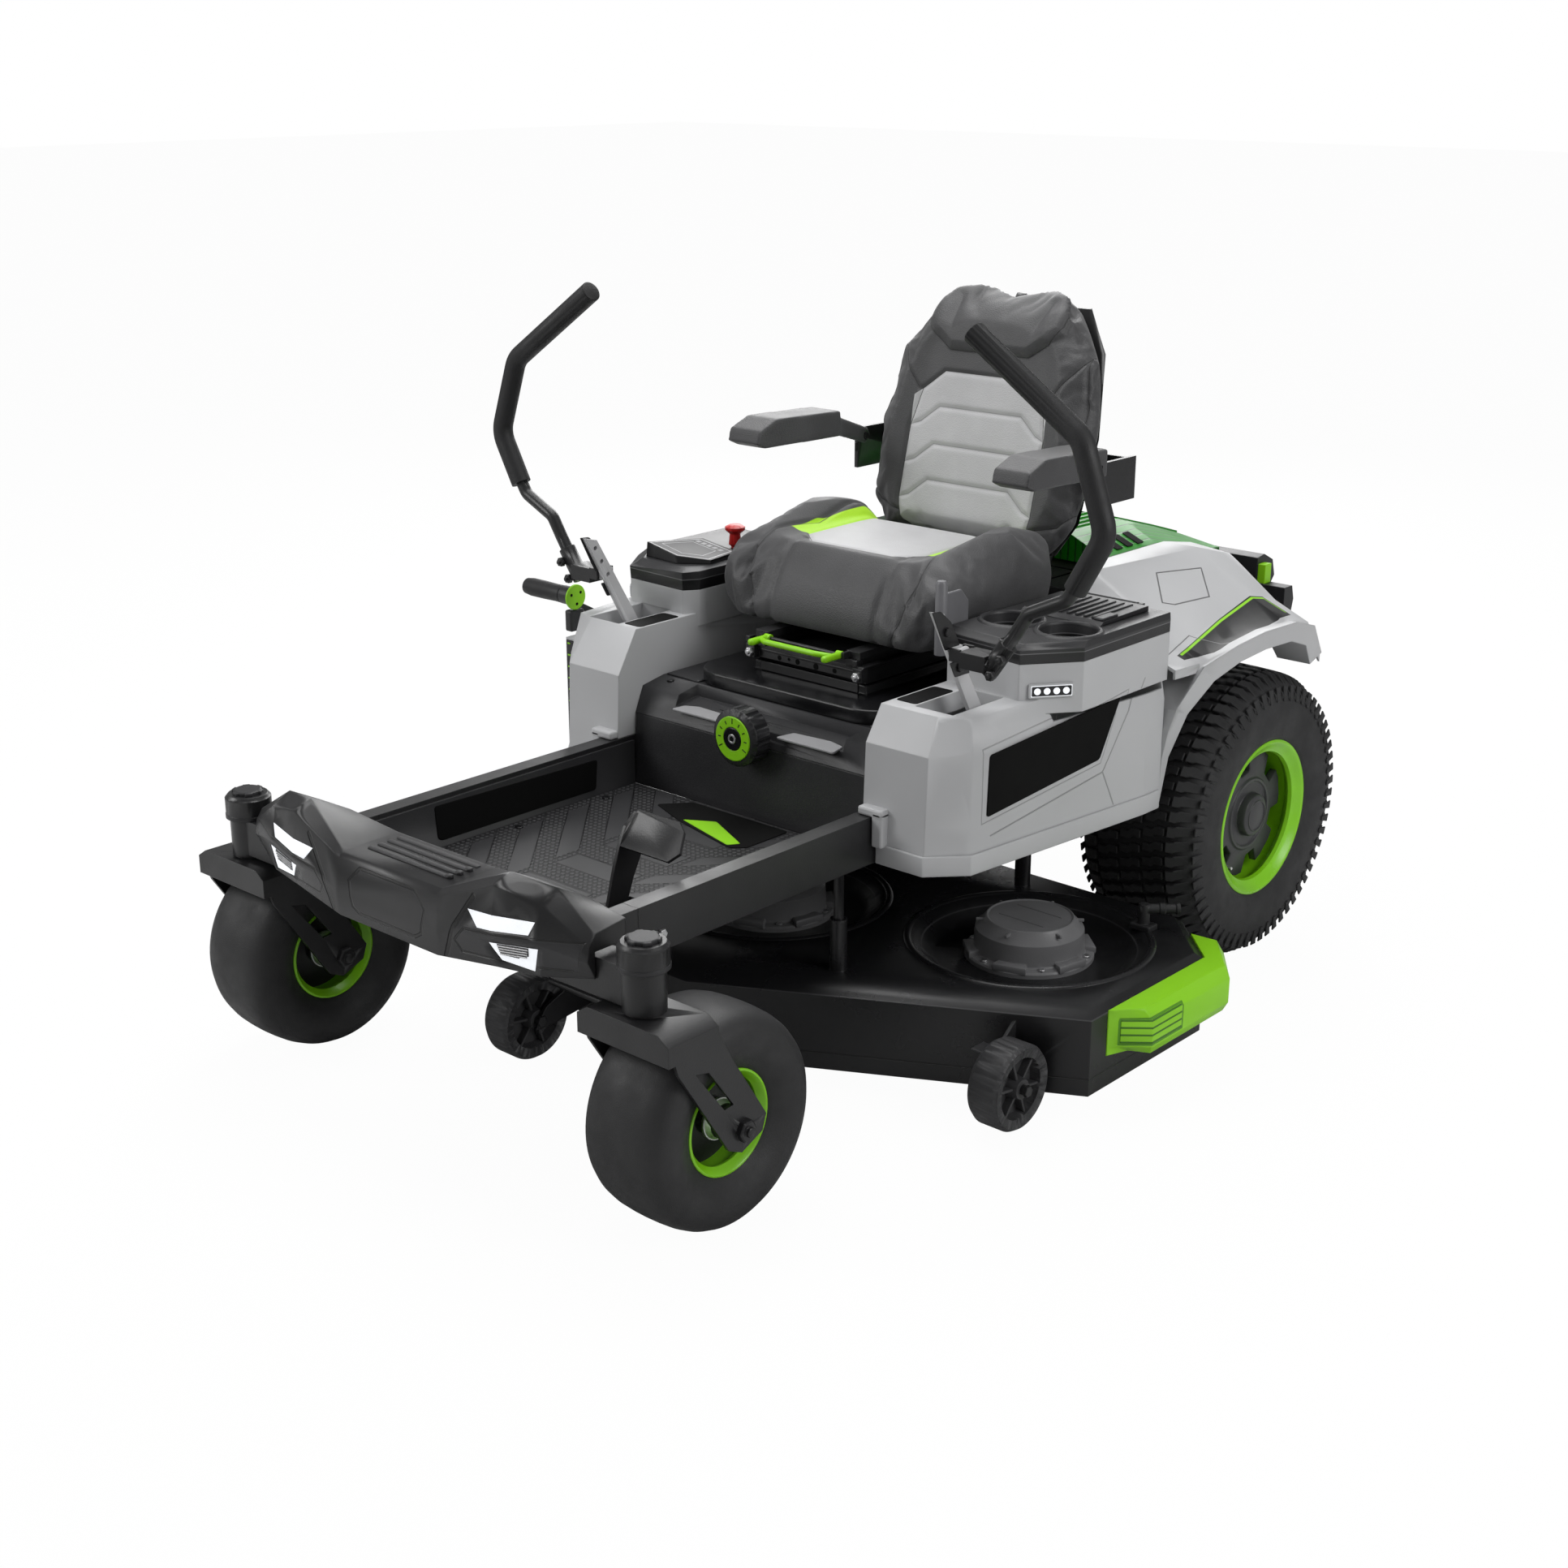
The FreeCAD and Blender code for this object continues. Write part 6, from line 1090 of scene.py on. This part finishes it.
# ---------------------------------------------------------------- pods, tray and console
def make_side_lamp(side, tag, low):
    """The bezel, face and four bright dots of a lamp on the slanted side of a pod."""
    ends = [Vector((440, -35, low)), Vector((505, 50, low))]
    along = (ends[1] - ends[0]).normalized()
    out = Vector((along.y, -along.x, 0))
    centre = (ends[0] + ends[1]) / 2 + out * 0.15
    toward = (side * out.x, out.y, 0)

    def spot(run, rise, off):
        place = centre + along * run + out * off + Vector((0, 0, rise))
        return (side * place.x, place.y, place.z)

    corners = [spot(*at, 0) for at in oblong(-38, -3, 38, 21)]
    bezel = plate(f"side_lamp_bezel_{tag}", corners, 0.0042, toward, 0.003, 0.0008)
    dress(bezel, body_grey, f"body_pod_{tag}")
    corners = [spot(*at, 5.05) for at in oblong(-33, 1, 33, 17)]
    face = plate(f"side_lamp_face_{tag}", corners, 0.0004, toward, 0.002)
    dress(face, charcoal, "lamp_lenses", "lamp_lens")
    dots = [disc("dot", spot(run, 9, 5.4), toward, 0.0055, 0.001) for run in (-24, -8, 8, 24)]
    group(f"side_lamp_dots_{tag}", dots, lamp_white, "lamp_lenses")


def make_pod_details():
    outline = (462.0, -136, 536), (461.6, -139.5, 434), (489.8, 129, 471), (494.4, 176, 570)
    pair(plate("side_plate", outline, 0.0016, LEFT, 0.006), pure_black, "body_pod_{}", "trim_plastic")
    for (side, tag), top in zip(SIDES, (598, 614)):
        corners = on_plane("z", top, oblong(side * 290, -160, side * 332, -60))
        card = plate(f"lever_plate_{tag}", corners, 0.0007, UP, 0.008)
        dress(card, pure_black, f"body_pod_{tag}", "trim_plastic")
        make_side_lamp(side, tag, top + 6)
    outer = [(0.3135, -0.2335), (0.409, -0.2335), (0.4625, -0.1765), (0.506, 0.249), (0.506, 0.297)]
    inner = [(0.502, 0.297), (0.502, 0.25), (0.4585, -0.1735), (0.407, -0.2285), (0.3135, -0.2285)]
    skirt = slab("pod_skirt", outer + inner, lambda co: co + Vector((0, 0, 0.3453)), 0.034, 0.0035, 3)
    pair(smooth(skirt, 30), body_grey, "body_pod_{}")
    tab = merged("rail_tab", cube("top", (0.284, -0.244, 0.4256), (0.334, -0.222, 0.44), 0.004),
                 cube("drop", (0.3125, -0.244, 0.376), (0.334, -0.222, 0.436), 0.004))
    pair(tab, body_grey, "body_pod_{}")


def pod_crease_shade(x, y, z):
    # Painted shade: the crease along the pod's side and the groove round its side plate are coloured darker grey
    # where shade falls in them.
    outside = (abs(x) > 0.44) * (z < 0.592)
    crease = line_mask(y, z, ((0.232, 0.592), (0.14, 0.446), (-0.128, 0.4)), 0.0016)
    crease = crease.most(line_mask(y, z, ((0.14, 0.446), (0.172, 0.382)), 0.0016))
    yield crease * outside, (0.36, 0.363, 0.37), 0.0012
    ring = closed(((-0.15, 0.547), (-0.15, 0.424), (0.134, 0.463), (0.184, 0.582)))
    yield line_mask(y, z, ring, 0.0012) * outside * (abs(x) > 0.455), (0.4, 0.403, 0.41), 0.0008


def tray_shade_and_highlight(x, y, z):
    # Painted shade: the tray below its lip is coloured near black. Painted highlight: a pale line runs along the
    # lip's edge.
    yield (z < 0.674) * (y < 0.3), (0.012, 0.012, 0.013), 0.0
    yield 1 - abs(z - 0.6745).ramp(0.0004, 0.001), (0.16, 0.16, 0.165), 0.0


def console_shade_and_highlight(x, y, z):
    # Painted shade: the console below its top edge is coloured near black. Painted highlight: a pale line runs
    # along that edge.
    yield z < 0.676, (0.01, 0.01, 0.011), 0.0
    yield 1 - abs(z - 0.6765).ramp(0.0004, 0.001), (0.18, 0.18, 0.185), 0.0


def display_marks(x, y, z):
    ring = ((-0.424, 0.001), (-0.347, -0.006), (-0.303, 0.029), (-0.312, 0.098), (-0.389, 0.098))
    glass = ((-0.408, 0.016), (-0.352, 0.01), (-0.322, 0.034), (-0.328, 0.074), (-0.386, 0.074))
    yield line_mask(x, y, closed(ring), 0.0016), (0.42, 0.42, 0.43), 0.0
    yield line_mask(x, y, closed(glass), 0.0012), (0.3, 0.3, 0.31), 0.0
    keys = (x.repeat(0.014) > 0.005) * (y > 0.08) * (y < 0.09) * (x > -0.388) * (x < -0.318)
    yield keys, (0.22, 0.22, 0.23), 0.0


def make_tray_details():
    rim = [(0.047, 0.689), (0.0475, 0.6925), (0.05, 0.6942), (0.0545, 0.6935), (0.058, 0.69)]
    rims = [lathe("rim", rim, mm(x, y, 0), mm(x, y, 1000), 64, 60) for x, y in ((337, 84), (448, 86))]
    group("cup_rims", rims, charcoal, "cup_holder_tray")
    ribs = [cube("rib", (0.328 + 0.0165 * k, 0.156, 0.6965), (0.3345 + 0.0165 * k, 0.27, 0.7008), 0.0012)
            for k in range(8)]
    latch = cube("latch", (0.452, 0.15, 0.696), (0.47, 0.196, 0.7016), 0.002)
    group("storage_lid_ribs", [*ribs, latch], charcoal, "storage_lid")
    outline = [(-0.03, 0.645), (0.04, 0.645), (0.04, 0.722), (0.02, 0.744), (-0.03, 0.744)]
    cheek = slab("side", outline, lambda co: Vector((0.2745 + co.z, co.x, co.y)), 0.006, 0.002)
    post = lathe("post", peg(0.0, 0.118, 0.123, 0.01, 0.007), mm(282, -36, 645), mm(282, -36, 1000), 24)
    group("tray_bracket", (cheek, post), grey_bracket, "cup_holder_tray")


# ---------------------------------------------------------------- rear body
def fender_panel_stripe_and_groove_shade(x, y, z):
    wide = abs(x)
    top = z > 0.585
    door = closed(((0.497, 0.349), (0.607, 0.373), (0.556, 0.424), (0.462, 0.412), (0.44, 0.4)))
    panel = [(0.346, 0.508), (0.345, 0.494), (0.52, 0.466), (0.64, 0.452), (0.705, 0.446), (0.716, 0.5),
             (0.64, 0.517), (0.44, 0.5215)]
    yield inside(y, wide, panel) * top, (0.018, 0.018, 0.019), 0.0
    stripe = ((0.356, 0.496), (0.52, 0.47), (0.64, 0.457), (0.699, 0.451), (0.708, 0.492))
    yield line_mask(y, wide, stripe, 0.003) * top, (0.3, 0.72, 0.02), 0.0
    # Painted shade: the door outline and the seam are grooves coloured darker grey where shade falls in them; the
    # dark panel and the lime stripe are the fender's own colours.
    yield line_mask(y, wide, door, 0.0016) * top, (0.16, 0.16, 0.165), 0.0012
    seam = ((0.302, 0.49), (0.42, 0.47), (0.47, 0.52))
    yield line_mask(y, wide, seam, 0.0012) * (z > 0.57), (0.2, 0.2, 0.205), 0.0008


def make_lid():
    paint = Paint("green_lid", (0.015, 0.24, 0.01), 0.3, Specular_IOR_Level=0.35, Alpha=0.86)
    ridge = (abs(paint.place()[1]).repeat(0.016)).ramp(0.001, 0.004)
    deep = paint.noise(0.06, 3)
    paint.link(Base_Color=paint.blend(ridge, (0.006, 0.11, 0.005), (0.02, 0.33, 0.012)),
               Roughness=deep * 0.1 + 0.26)
    paint.bump(ridge, 0.0012, 0.003)
    form("battery_lid", paint)
    profile = [(0.5, 0.7432), (0.662, 0.7412), (0.792, 0.7056), (0.884, 0.6785)]
    outline = profile + [(y, z + 0.004) for y, z in reversed(profile)]
    ribs = []
    for k in range(-7, 8):
        hand = 1 if k >= 0 else -1
        ribs.append(slab("rib", outline, lambda co: Vector((0.0205 * k + co.z * hand, co.x, co.y)), 0.004))
    group("lid_ribs", ribs, paint, "battery_lid")
    # Painted shade: the vent slots are thin flat-black plates standing in for the dark inside them.
    vents = []
    for side in (1, -1):
        for k in range(4):
            y = 512 + 34 * k
            inner, outer = side * 196, side * 232
            corners = [(inner, y, 728), (inner, y + 20, 728), (outer, y + 20, 713), (outer, y, 713)]
            vents.append(plate("vent", corners, 0.0012, (side * 0.4, 0, 1), 0.003))
    group("lid_vents", vents, pure_black, "battery_lid")


def make_rear_details():
    covers = cube("tail_lamp_cover", (0.3221, 0.8995, 0.6031), (0.3386, 0.9225, 0.6405), 0.001)
    pair(covers, lime_gloss, "lamp_lenses", "lamp_lens")
    handles = [beam("grip", x, 0.04, (y - 0.012, y + 0.012), (0.632, 0.65), 0.004)
               for y in (0.579, 0.717) for x in (-0.156, 0.0, 0.156)]
    group("battery_handles", handles, lime_gloss, "battery_packs", "battery_case")


# ---------------------------------------------------------------- levers
LEVER_LEAN = 0.557
LEVER_ROOT = (-21, 470)
HEIGHT_HUB = (-115, 625)


def make_lever_details():
    def on_lever(x, z, over):
        return (x, LEVER_ROOT[0] - (z - LEVER_ROOT[1]) * LEVER_LEAN + over, z)

    low = ((650, -19), (650, 19), (676, 19), (676, -19))
    high = ((699, -19), (699, 19), (742, 19), (764, 4), (766, -16))
    covers = [plate("cover", [on_lever(392.2, *spot) for spot in spots], 0.0016, LEFT, 0.003, 0.0005)
              for spots in (low, high)]
    pair(merged("lever_cover", *covers), black_steel, "lap_lever_{}", "frame_steel")
    heads = [bolt("head", on_lever(393.6, z, 0), LEFT, 0.0075, 0.005) for z in (664, 728)]
    pair(merged("lever_cover_bolts", *heads), black_steel, "lap_lever_{}", "frame_steel")
    front = [bolt("clamp_bolt", (x, -156, z), FRONT, 0.0085, 0.007, 0.004) for x, z in ((474, 672), (492, 700))]
    side = [bolt("clamp_bolt", (462.5, y, 688), LEFT, 0.0075, 0.006, 0.004) for y in (-153, -128)]
    pair(merged("clamp_bolts", *front, *side), black_steel, "lap_bar_{}")
    along = mm(412, -141, 1184), mm(212, -141, 1318)
    end = lathe("grip_end", peg(-0.001, 0.001, 0.0022, 0.0172, 0.015), *along, 36)
    pair(end, soft_black, "lap_grip_{}")


def make_height_details():
    y, z = HEIGHT_HUB
    grip = lathe("height_grip", [(0.0, 0.0), (0.014, 0.0), (0.0165, 0.003), (0.016, 0.02), (0.0168, 0.05),
                                 (0.0168, 0.086), (0.015, 0.0985), (0.01, 0.1015), (0.0, 0.102)],
                 mm(-534, y, z), mm(-1534, y, z), 36)
    dress(grip, soft_black, "height_lever")
    ring = disc("height_hub_ring", (-506.0, y, z), LEFT, 0.0235, 0.004)
    dress(ring, lime_gloss, "height_button", "lime_plastic")
    dots = [disc("dot", (-502.1, y + 13 * math.cos(a), z + 13 * math.sin(a)), LEFT, 0.0028, 0.0005)
            for a in (0.6, 2.7, 4.8)]
    group("height_hub_dots", dots, pure_black, "height_button")
    clamp = cube("height_clamp", (-0.5215, -0.128, 0.56), (-0.5035, -0.094, 0.6005), 0.004)
    dress(clamp, charcoal, "height_lever")
    strip = plate("strip", on_plane("x", -500.7, oblong(-142, 356, -106, 552)), 0.0006, RIGHT, 0.003)
    edge = plate("edge", on_plane("y", -145.2, oblong(-499, 356, -480, 552)), 0.0006, FRONT, 0.002)
    group("height_scale_strips", (strip, edge), gloss_black, "body_pod_right", "trim_plastic")
    ticks = []
    for z in range(368, 545, 22):
        ticks.append(plate("tick", on_plane("x", -501.3, oblong(-138, z, -124, z + 3)), 0.0004, RIGHT))
        ticks.append(plate("tick", on_plane("y", -145.8, oblong(-496, z, -489, z + 3)), 0.0004, FRONT))
    group("height_ticks", ticks, lime_gloss, "body_pod_right", "lime_plastic")


# ---------------------------------------------------------------- deck
SPINDLES = ((0.448, 0.01), (0.0, -0.13), (-0.448, 0.01))
ROLLERS = (("left", 0.628, -0.288), ("right", -0.628, -0.288), ("nose", -0.108, -0.614))
ROLLER_Z = 0.08


def make_motor_caps():
    ring = [(0.196, 0.177), (0.1985, 0.18), (0.203, 0.1812), (0.208, 0.18), (0.21, 0.177)]
    outline = [(0.1085, 0.15), (0.1085, 0.157), (0.106, 0.16), (0.0945, 0.1615), (0.0925, 0.164),
               (0.0905, 0.199), (0.0885, 0.201), (0.076, 0.214), (0.0735, 0.218), (0.0715, 0.219),
               (0.069, 0.217), (0.066, 0.2172), (0.0, 0.2172)]
    foot = [(-0.024, 0.086), (-0.03, 0.1075), (0.03, 0.1075), (0.024, 0.086)]
    rings, caps, heads = [], [], []
    for x, y in SPINDLES:
        line = (x, y, 0), (x, y, 1)
        rings.append(lathe("ring", ring, *line, 96, 60))
        parts = [lathe("cap", outline, *line, 72, 30)]
        for turn in range(0, 360, 60):
            lobe = slab("lobe", foot, lambda co: co + Vector((0, 0, 0.156)), 0.0135, 0.003, 2)
            parts.append(turned(lobe, "Z", turn + 18, (x, y, 0)))
            angle = math.radians(turn + 48 + 90)
            spot = ((x + 0.0985 * math.cos(angle)) * 1000, (y + 0.0985 * math.sin(angle)) * 1000, 161)
            heads.append(disc("bolt", spot, UP, 0.0058, 0.003))
            mark = cube("mark", (-0.002, 0.0735, 0.2085), (0.002, 0.0895, 0.2135), 0.0006, 1)
            parts.append(turned(mark, "Z", turn + 10, (x, y, 0)))
        for low in (y - 0.026, y + 0.026):
            parts.append(beam("line", x, 0.045, (low, low + 0.0016), (0.2168, 0.2182)))
        caps.append(merged("cap", *parts))
    group("deck_well_rings", rings, deck_black, "deck_shell")
    whole = smooth(merged("deck_motor_caps", *caps), 30)
    dress(whole, cap_grey, "deck_motors")
    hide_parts("deck_motors")
    group("deck_motor_bolts", heads, plated, "deck_motors")


def make_rollers():
    tab = merged("roller_tab", cube("flat", (0.578, -0.318, 0.132), (0.606, -0.286, 0.1352), 0.001),
                 cube("drop", (0.602, -0.318, 0.1), (0.6052, -0.286, 0.134), 0.001))
    pair(tab, grey_steel, "deck_shell")
    core = [(0.0082, -0.0275), (0.015, -0.0275), (0.0165, 0.0), (0.015, 0.0275), (0.0082, 0.0275)]
    for tag, x, y in ROLLERS:
        parts = [turned(cube("vane", (-0.022, -0.0022, 0.012), (0.022, 0.0022, 0.057), 0.001, 1), "X", turn,
                        (x, y, ROLLER_Z)) for turn in range(20, 380, 60)]
        parts.append(lathe("hub", closed(core), (x, y, ROLLER_Z), (x + 1, y, ROLLER_Z), 24))
        group(f"roller_vanes_{tag}", parts, roller_black, f"scalp_roller_{tag}")
        ends = [bolt("end", ((x + side * 0.036) * 1000, y * 1000, ROLLER_Z * 1000), (side, 0, 0), 0.0095, 0.005)
                for side in (1, -1)]
        group(f"roller_bolts_{tag}", ends, black_steel, "deck_shell")


def make_deck_details():
    make_motor_caps()
    base = cube("base", (-0.02, -0.014, 0.176), (0.02, 0.014, 0.188), 0.003)
    pipe = lathe("pipe", [(0.0, 0.185), (0.01, 0.185), (0.01, 0.216), (0.0085, 0.222), (0.0, 0.223)],
                 (0, 0, 0), UP, 24)
    nozzle = lathe("nozzle", [(0.0, -0.01), (0.009, -0.008), (0.009, 0.024), (0.0105, 0.026), (0.0105, 0.034),
                              (0.0085, 0.036), (0.0085, 0.052), (0.0102, 0.054), (0.0102, 0.06), (0.0, 0.06)],
                   (0, 0, 0.213), (0.74, 0.67, 0.213), 24)
    washer = merged("washout_elbow", base, pipe, nozzle)
    washer.data.transform(shift(0.566, 0.172, 0))
    dress(washer, soft_black, "deck_shell", "roller_plastic")
    make_rollers()
    stay = lathe("nose_stay", [(0.0, 0.0), (0.006, 0.0), (0.006, 0.21), (0.0, 0.21)], mm(-60, -600, 150),
                 mm(150, -600, 150), 16)
    dress(stay, black_steel, "deck_shell")


def guard_louvre_shade(x, y, z):
    window = (y > -0.112) * (y < 0.006) * (z > 0.112) * (z < 0.152)
    groove = (z - 0.112).repeat(0.0125) < 0.0032
    edge = line_mask(y, z, closed(((-0.112, 0.11), (0.008, 0.11), (0.008, 0.154), (-0.112, 0.154))), 0.002)
    # Painted shade: the louvre grooves and the edge of their window are coloured darker green where shade falls in
    # them.
    yield window * groove, (0.05, 0.2, 0.004), 0.0022
    yield edge, (0.1, 0.34, 0.008), 0.0012


def deck_seam_shade_and_edge_highlight(x, y, z):
    # Painted shade: a near-black line in the seam low on the skirt. Painted highlight: a paler line along the
    # deck's top edge.
    yield 1 - abs(z - 0.067).ramp(0.0008, 0.0014), (0.002, 0.002, 0.002), 0.001
    yield 1 - abs(z - 0.1665).ramp(0.0004, 0.0012), (0.05, 0.05, 0.052), 0.0


# ---------------------------------------------------------------- arms and back
def make_arm_details():
    heads = merged("arm_bolt", bolt("head", (274, 424, 880), LEFT, 0.0095, 0.006),
                   cube("stop", (0.2735, 0.404, 0.852), (0.2765, 0.444, 0.868), 0.001))
    pair(heads, black_steel, "armrest_{}", "frame_steel")
    # Painted shade: the hole in the armrest is a thin flat-black plate standing in for the dark inside it.
    hole = plate("arm_hole", on_plane("x", 336.2, oblong(322, 905, 330, 911)), 0.0003, LEFT, 0.002)
    pair(hole, pure_black, "armrest_{}")


# ---------------------------------------------------------------- finishes of single places
tread_rubber = rubbery("tread_rubber", (0.019, 0.019, 0.02), 0.55)
insert_grey = moulded("wheel_insert_moulding", (0.045, 0.045, 0.048), rough=0.32)
strip_grey = moulded("pale_strip_moulding", (0.33, 0.33, 0.34), rough=0.36)
# Flat black with low specular: the own colour of the black plates and labels, and painted shade on the sheets that
# stand for holes and vent slots.
pure_black = moulded("black_plate_and_hole_shade", (0.004, 0.004, 0.004), rough=0.6)
pure_black.surface.inputs["Specular IOR Level"].default_value = 0.12
cap_grey = coated("cast_cap_coat", (0.17, 0.17, 0.175), rough=0.36)
lever_steel = coated("bright_steel_plate", (0.62, 0.62, 0.63), rough=0.3)
grey_bracket = coated("grey_bracket_coat", (0.16, 0.16, 0.17), rough=0.36)
roller_black = rubbery("roller_moulding", (0.04, 0.04, 0.042), 0.42)
lamp_white = Paint("lit_lens", (0.9, 0.92, 0.95), 0.15,
                   Emission_Color=(0.93, 0.96, 1.0, 1), Emission_Strength=0.55)
shade(lamp_white, (0.88, 0.9, 0.93), 0.04, 0.02, 0.001, 0.002, 0.0002, 0.12, 0.08)
bumper_finish = marked("bumper_moulding", (0.019, 0.019, 0.02), 0.26, bumper_panel_and_groove_shade)
tray_finish = marked("tray_moulding", (0.03, 0.03, 0.032), 0.34, tray_shade_and_highlight)
console_finish = marked("console_moulding", (0.032, 0.032, 0.034), 0.34, console_shade_and_highlight)
display_finish = marked("display_face", (0.009, 0.009, 0.01), 0.46, display_marks, depth=0.00005)
pod_finish = marked("pod_moulding", (0.56, 0.565, 0.575), 0.36, pod_crease_shade)
fender_finish = marked("fender_moulding", (0.56, 0.565, 0.575), 0.36, fender_panel_stripe_and_groove_shade)
guard_finish = marked("guard_moulding", (0.3, 0.74, 0.012), 0.3, guard_louvre_shade)
deck_finish = marked("deck_coat", (0.01, 0.01, 0.011), 0.24, deck_seam_shade_and_edge_highlight)

BY_FINISH = (
    (black_steel, "main_frame front_beam suspension_carriage seat_pan seat_back_shell lap_bar_* caster_fork_* "
                  "deck_lift_pedal"),
    (grey_steel, "foot_platform"),
    (cast_alloy, "drive_motors"),
    (charcoal, "seat_box seat_box_cover storage_lid tail_panel battery_packs height_lever suspension_knob"),
    (lime_gloss, "seat_slide_bar height_button"),
    (pod_finish, "body_pod_*"),
    (red_gloss, "blade_switch_knob"),
    (lever_steel, "lap_lever_*"),
    (plated, "blade_left blade_centre blade_right"),
    (soft_black, "lap_grip_* discharge_chute"),
    (roller_black, "scalp_roller_* scalp_roller_nose"),
    (lamp_white, "lamp_lenses"), (bumper_finish, "front_bumper"), (tray_finish, "cup_holder_tray"),
    (console_finish, "control_console"), (display_finish, "control_display"), (deck_finish, "deck_shell"),
    (fender_finish, "fender_*"), (guard_finish, "deck_side_guard"))
for finish, nodes in BY_FINISH:
    for word in nodes.split():
        for node in (word.replace("*", "left"), word.replace("*", "right"))[:1 + word.count("*")]:
            form(node, finish)

form("suspension_base", gloss_black, 0.005, 3)

for make in (make_mat, make_lid, make_seat, make_rear_wheels, make_front_wheels, make_bumper, make_casters,
             make_platform_details, make_box_details, make_suspension_details, make_pod_details, make_tray_details,
             make_rear_details, make_lever_details, make_height_details, make_deck_details, make_arm_details):
    make()
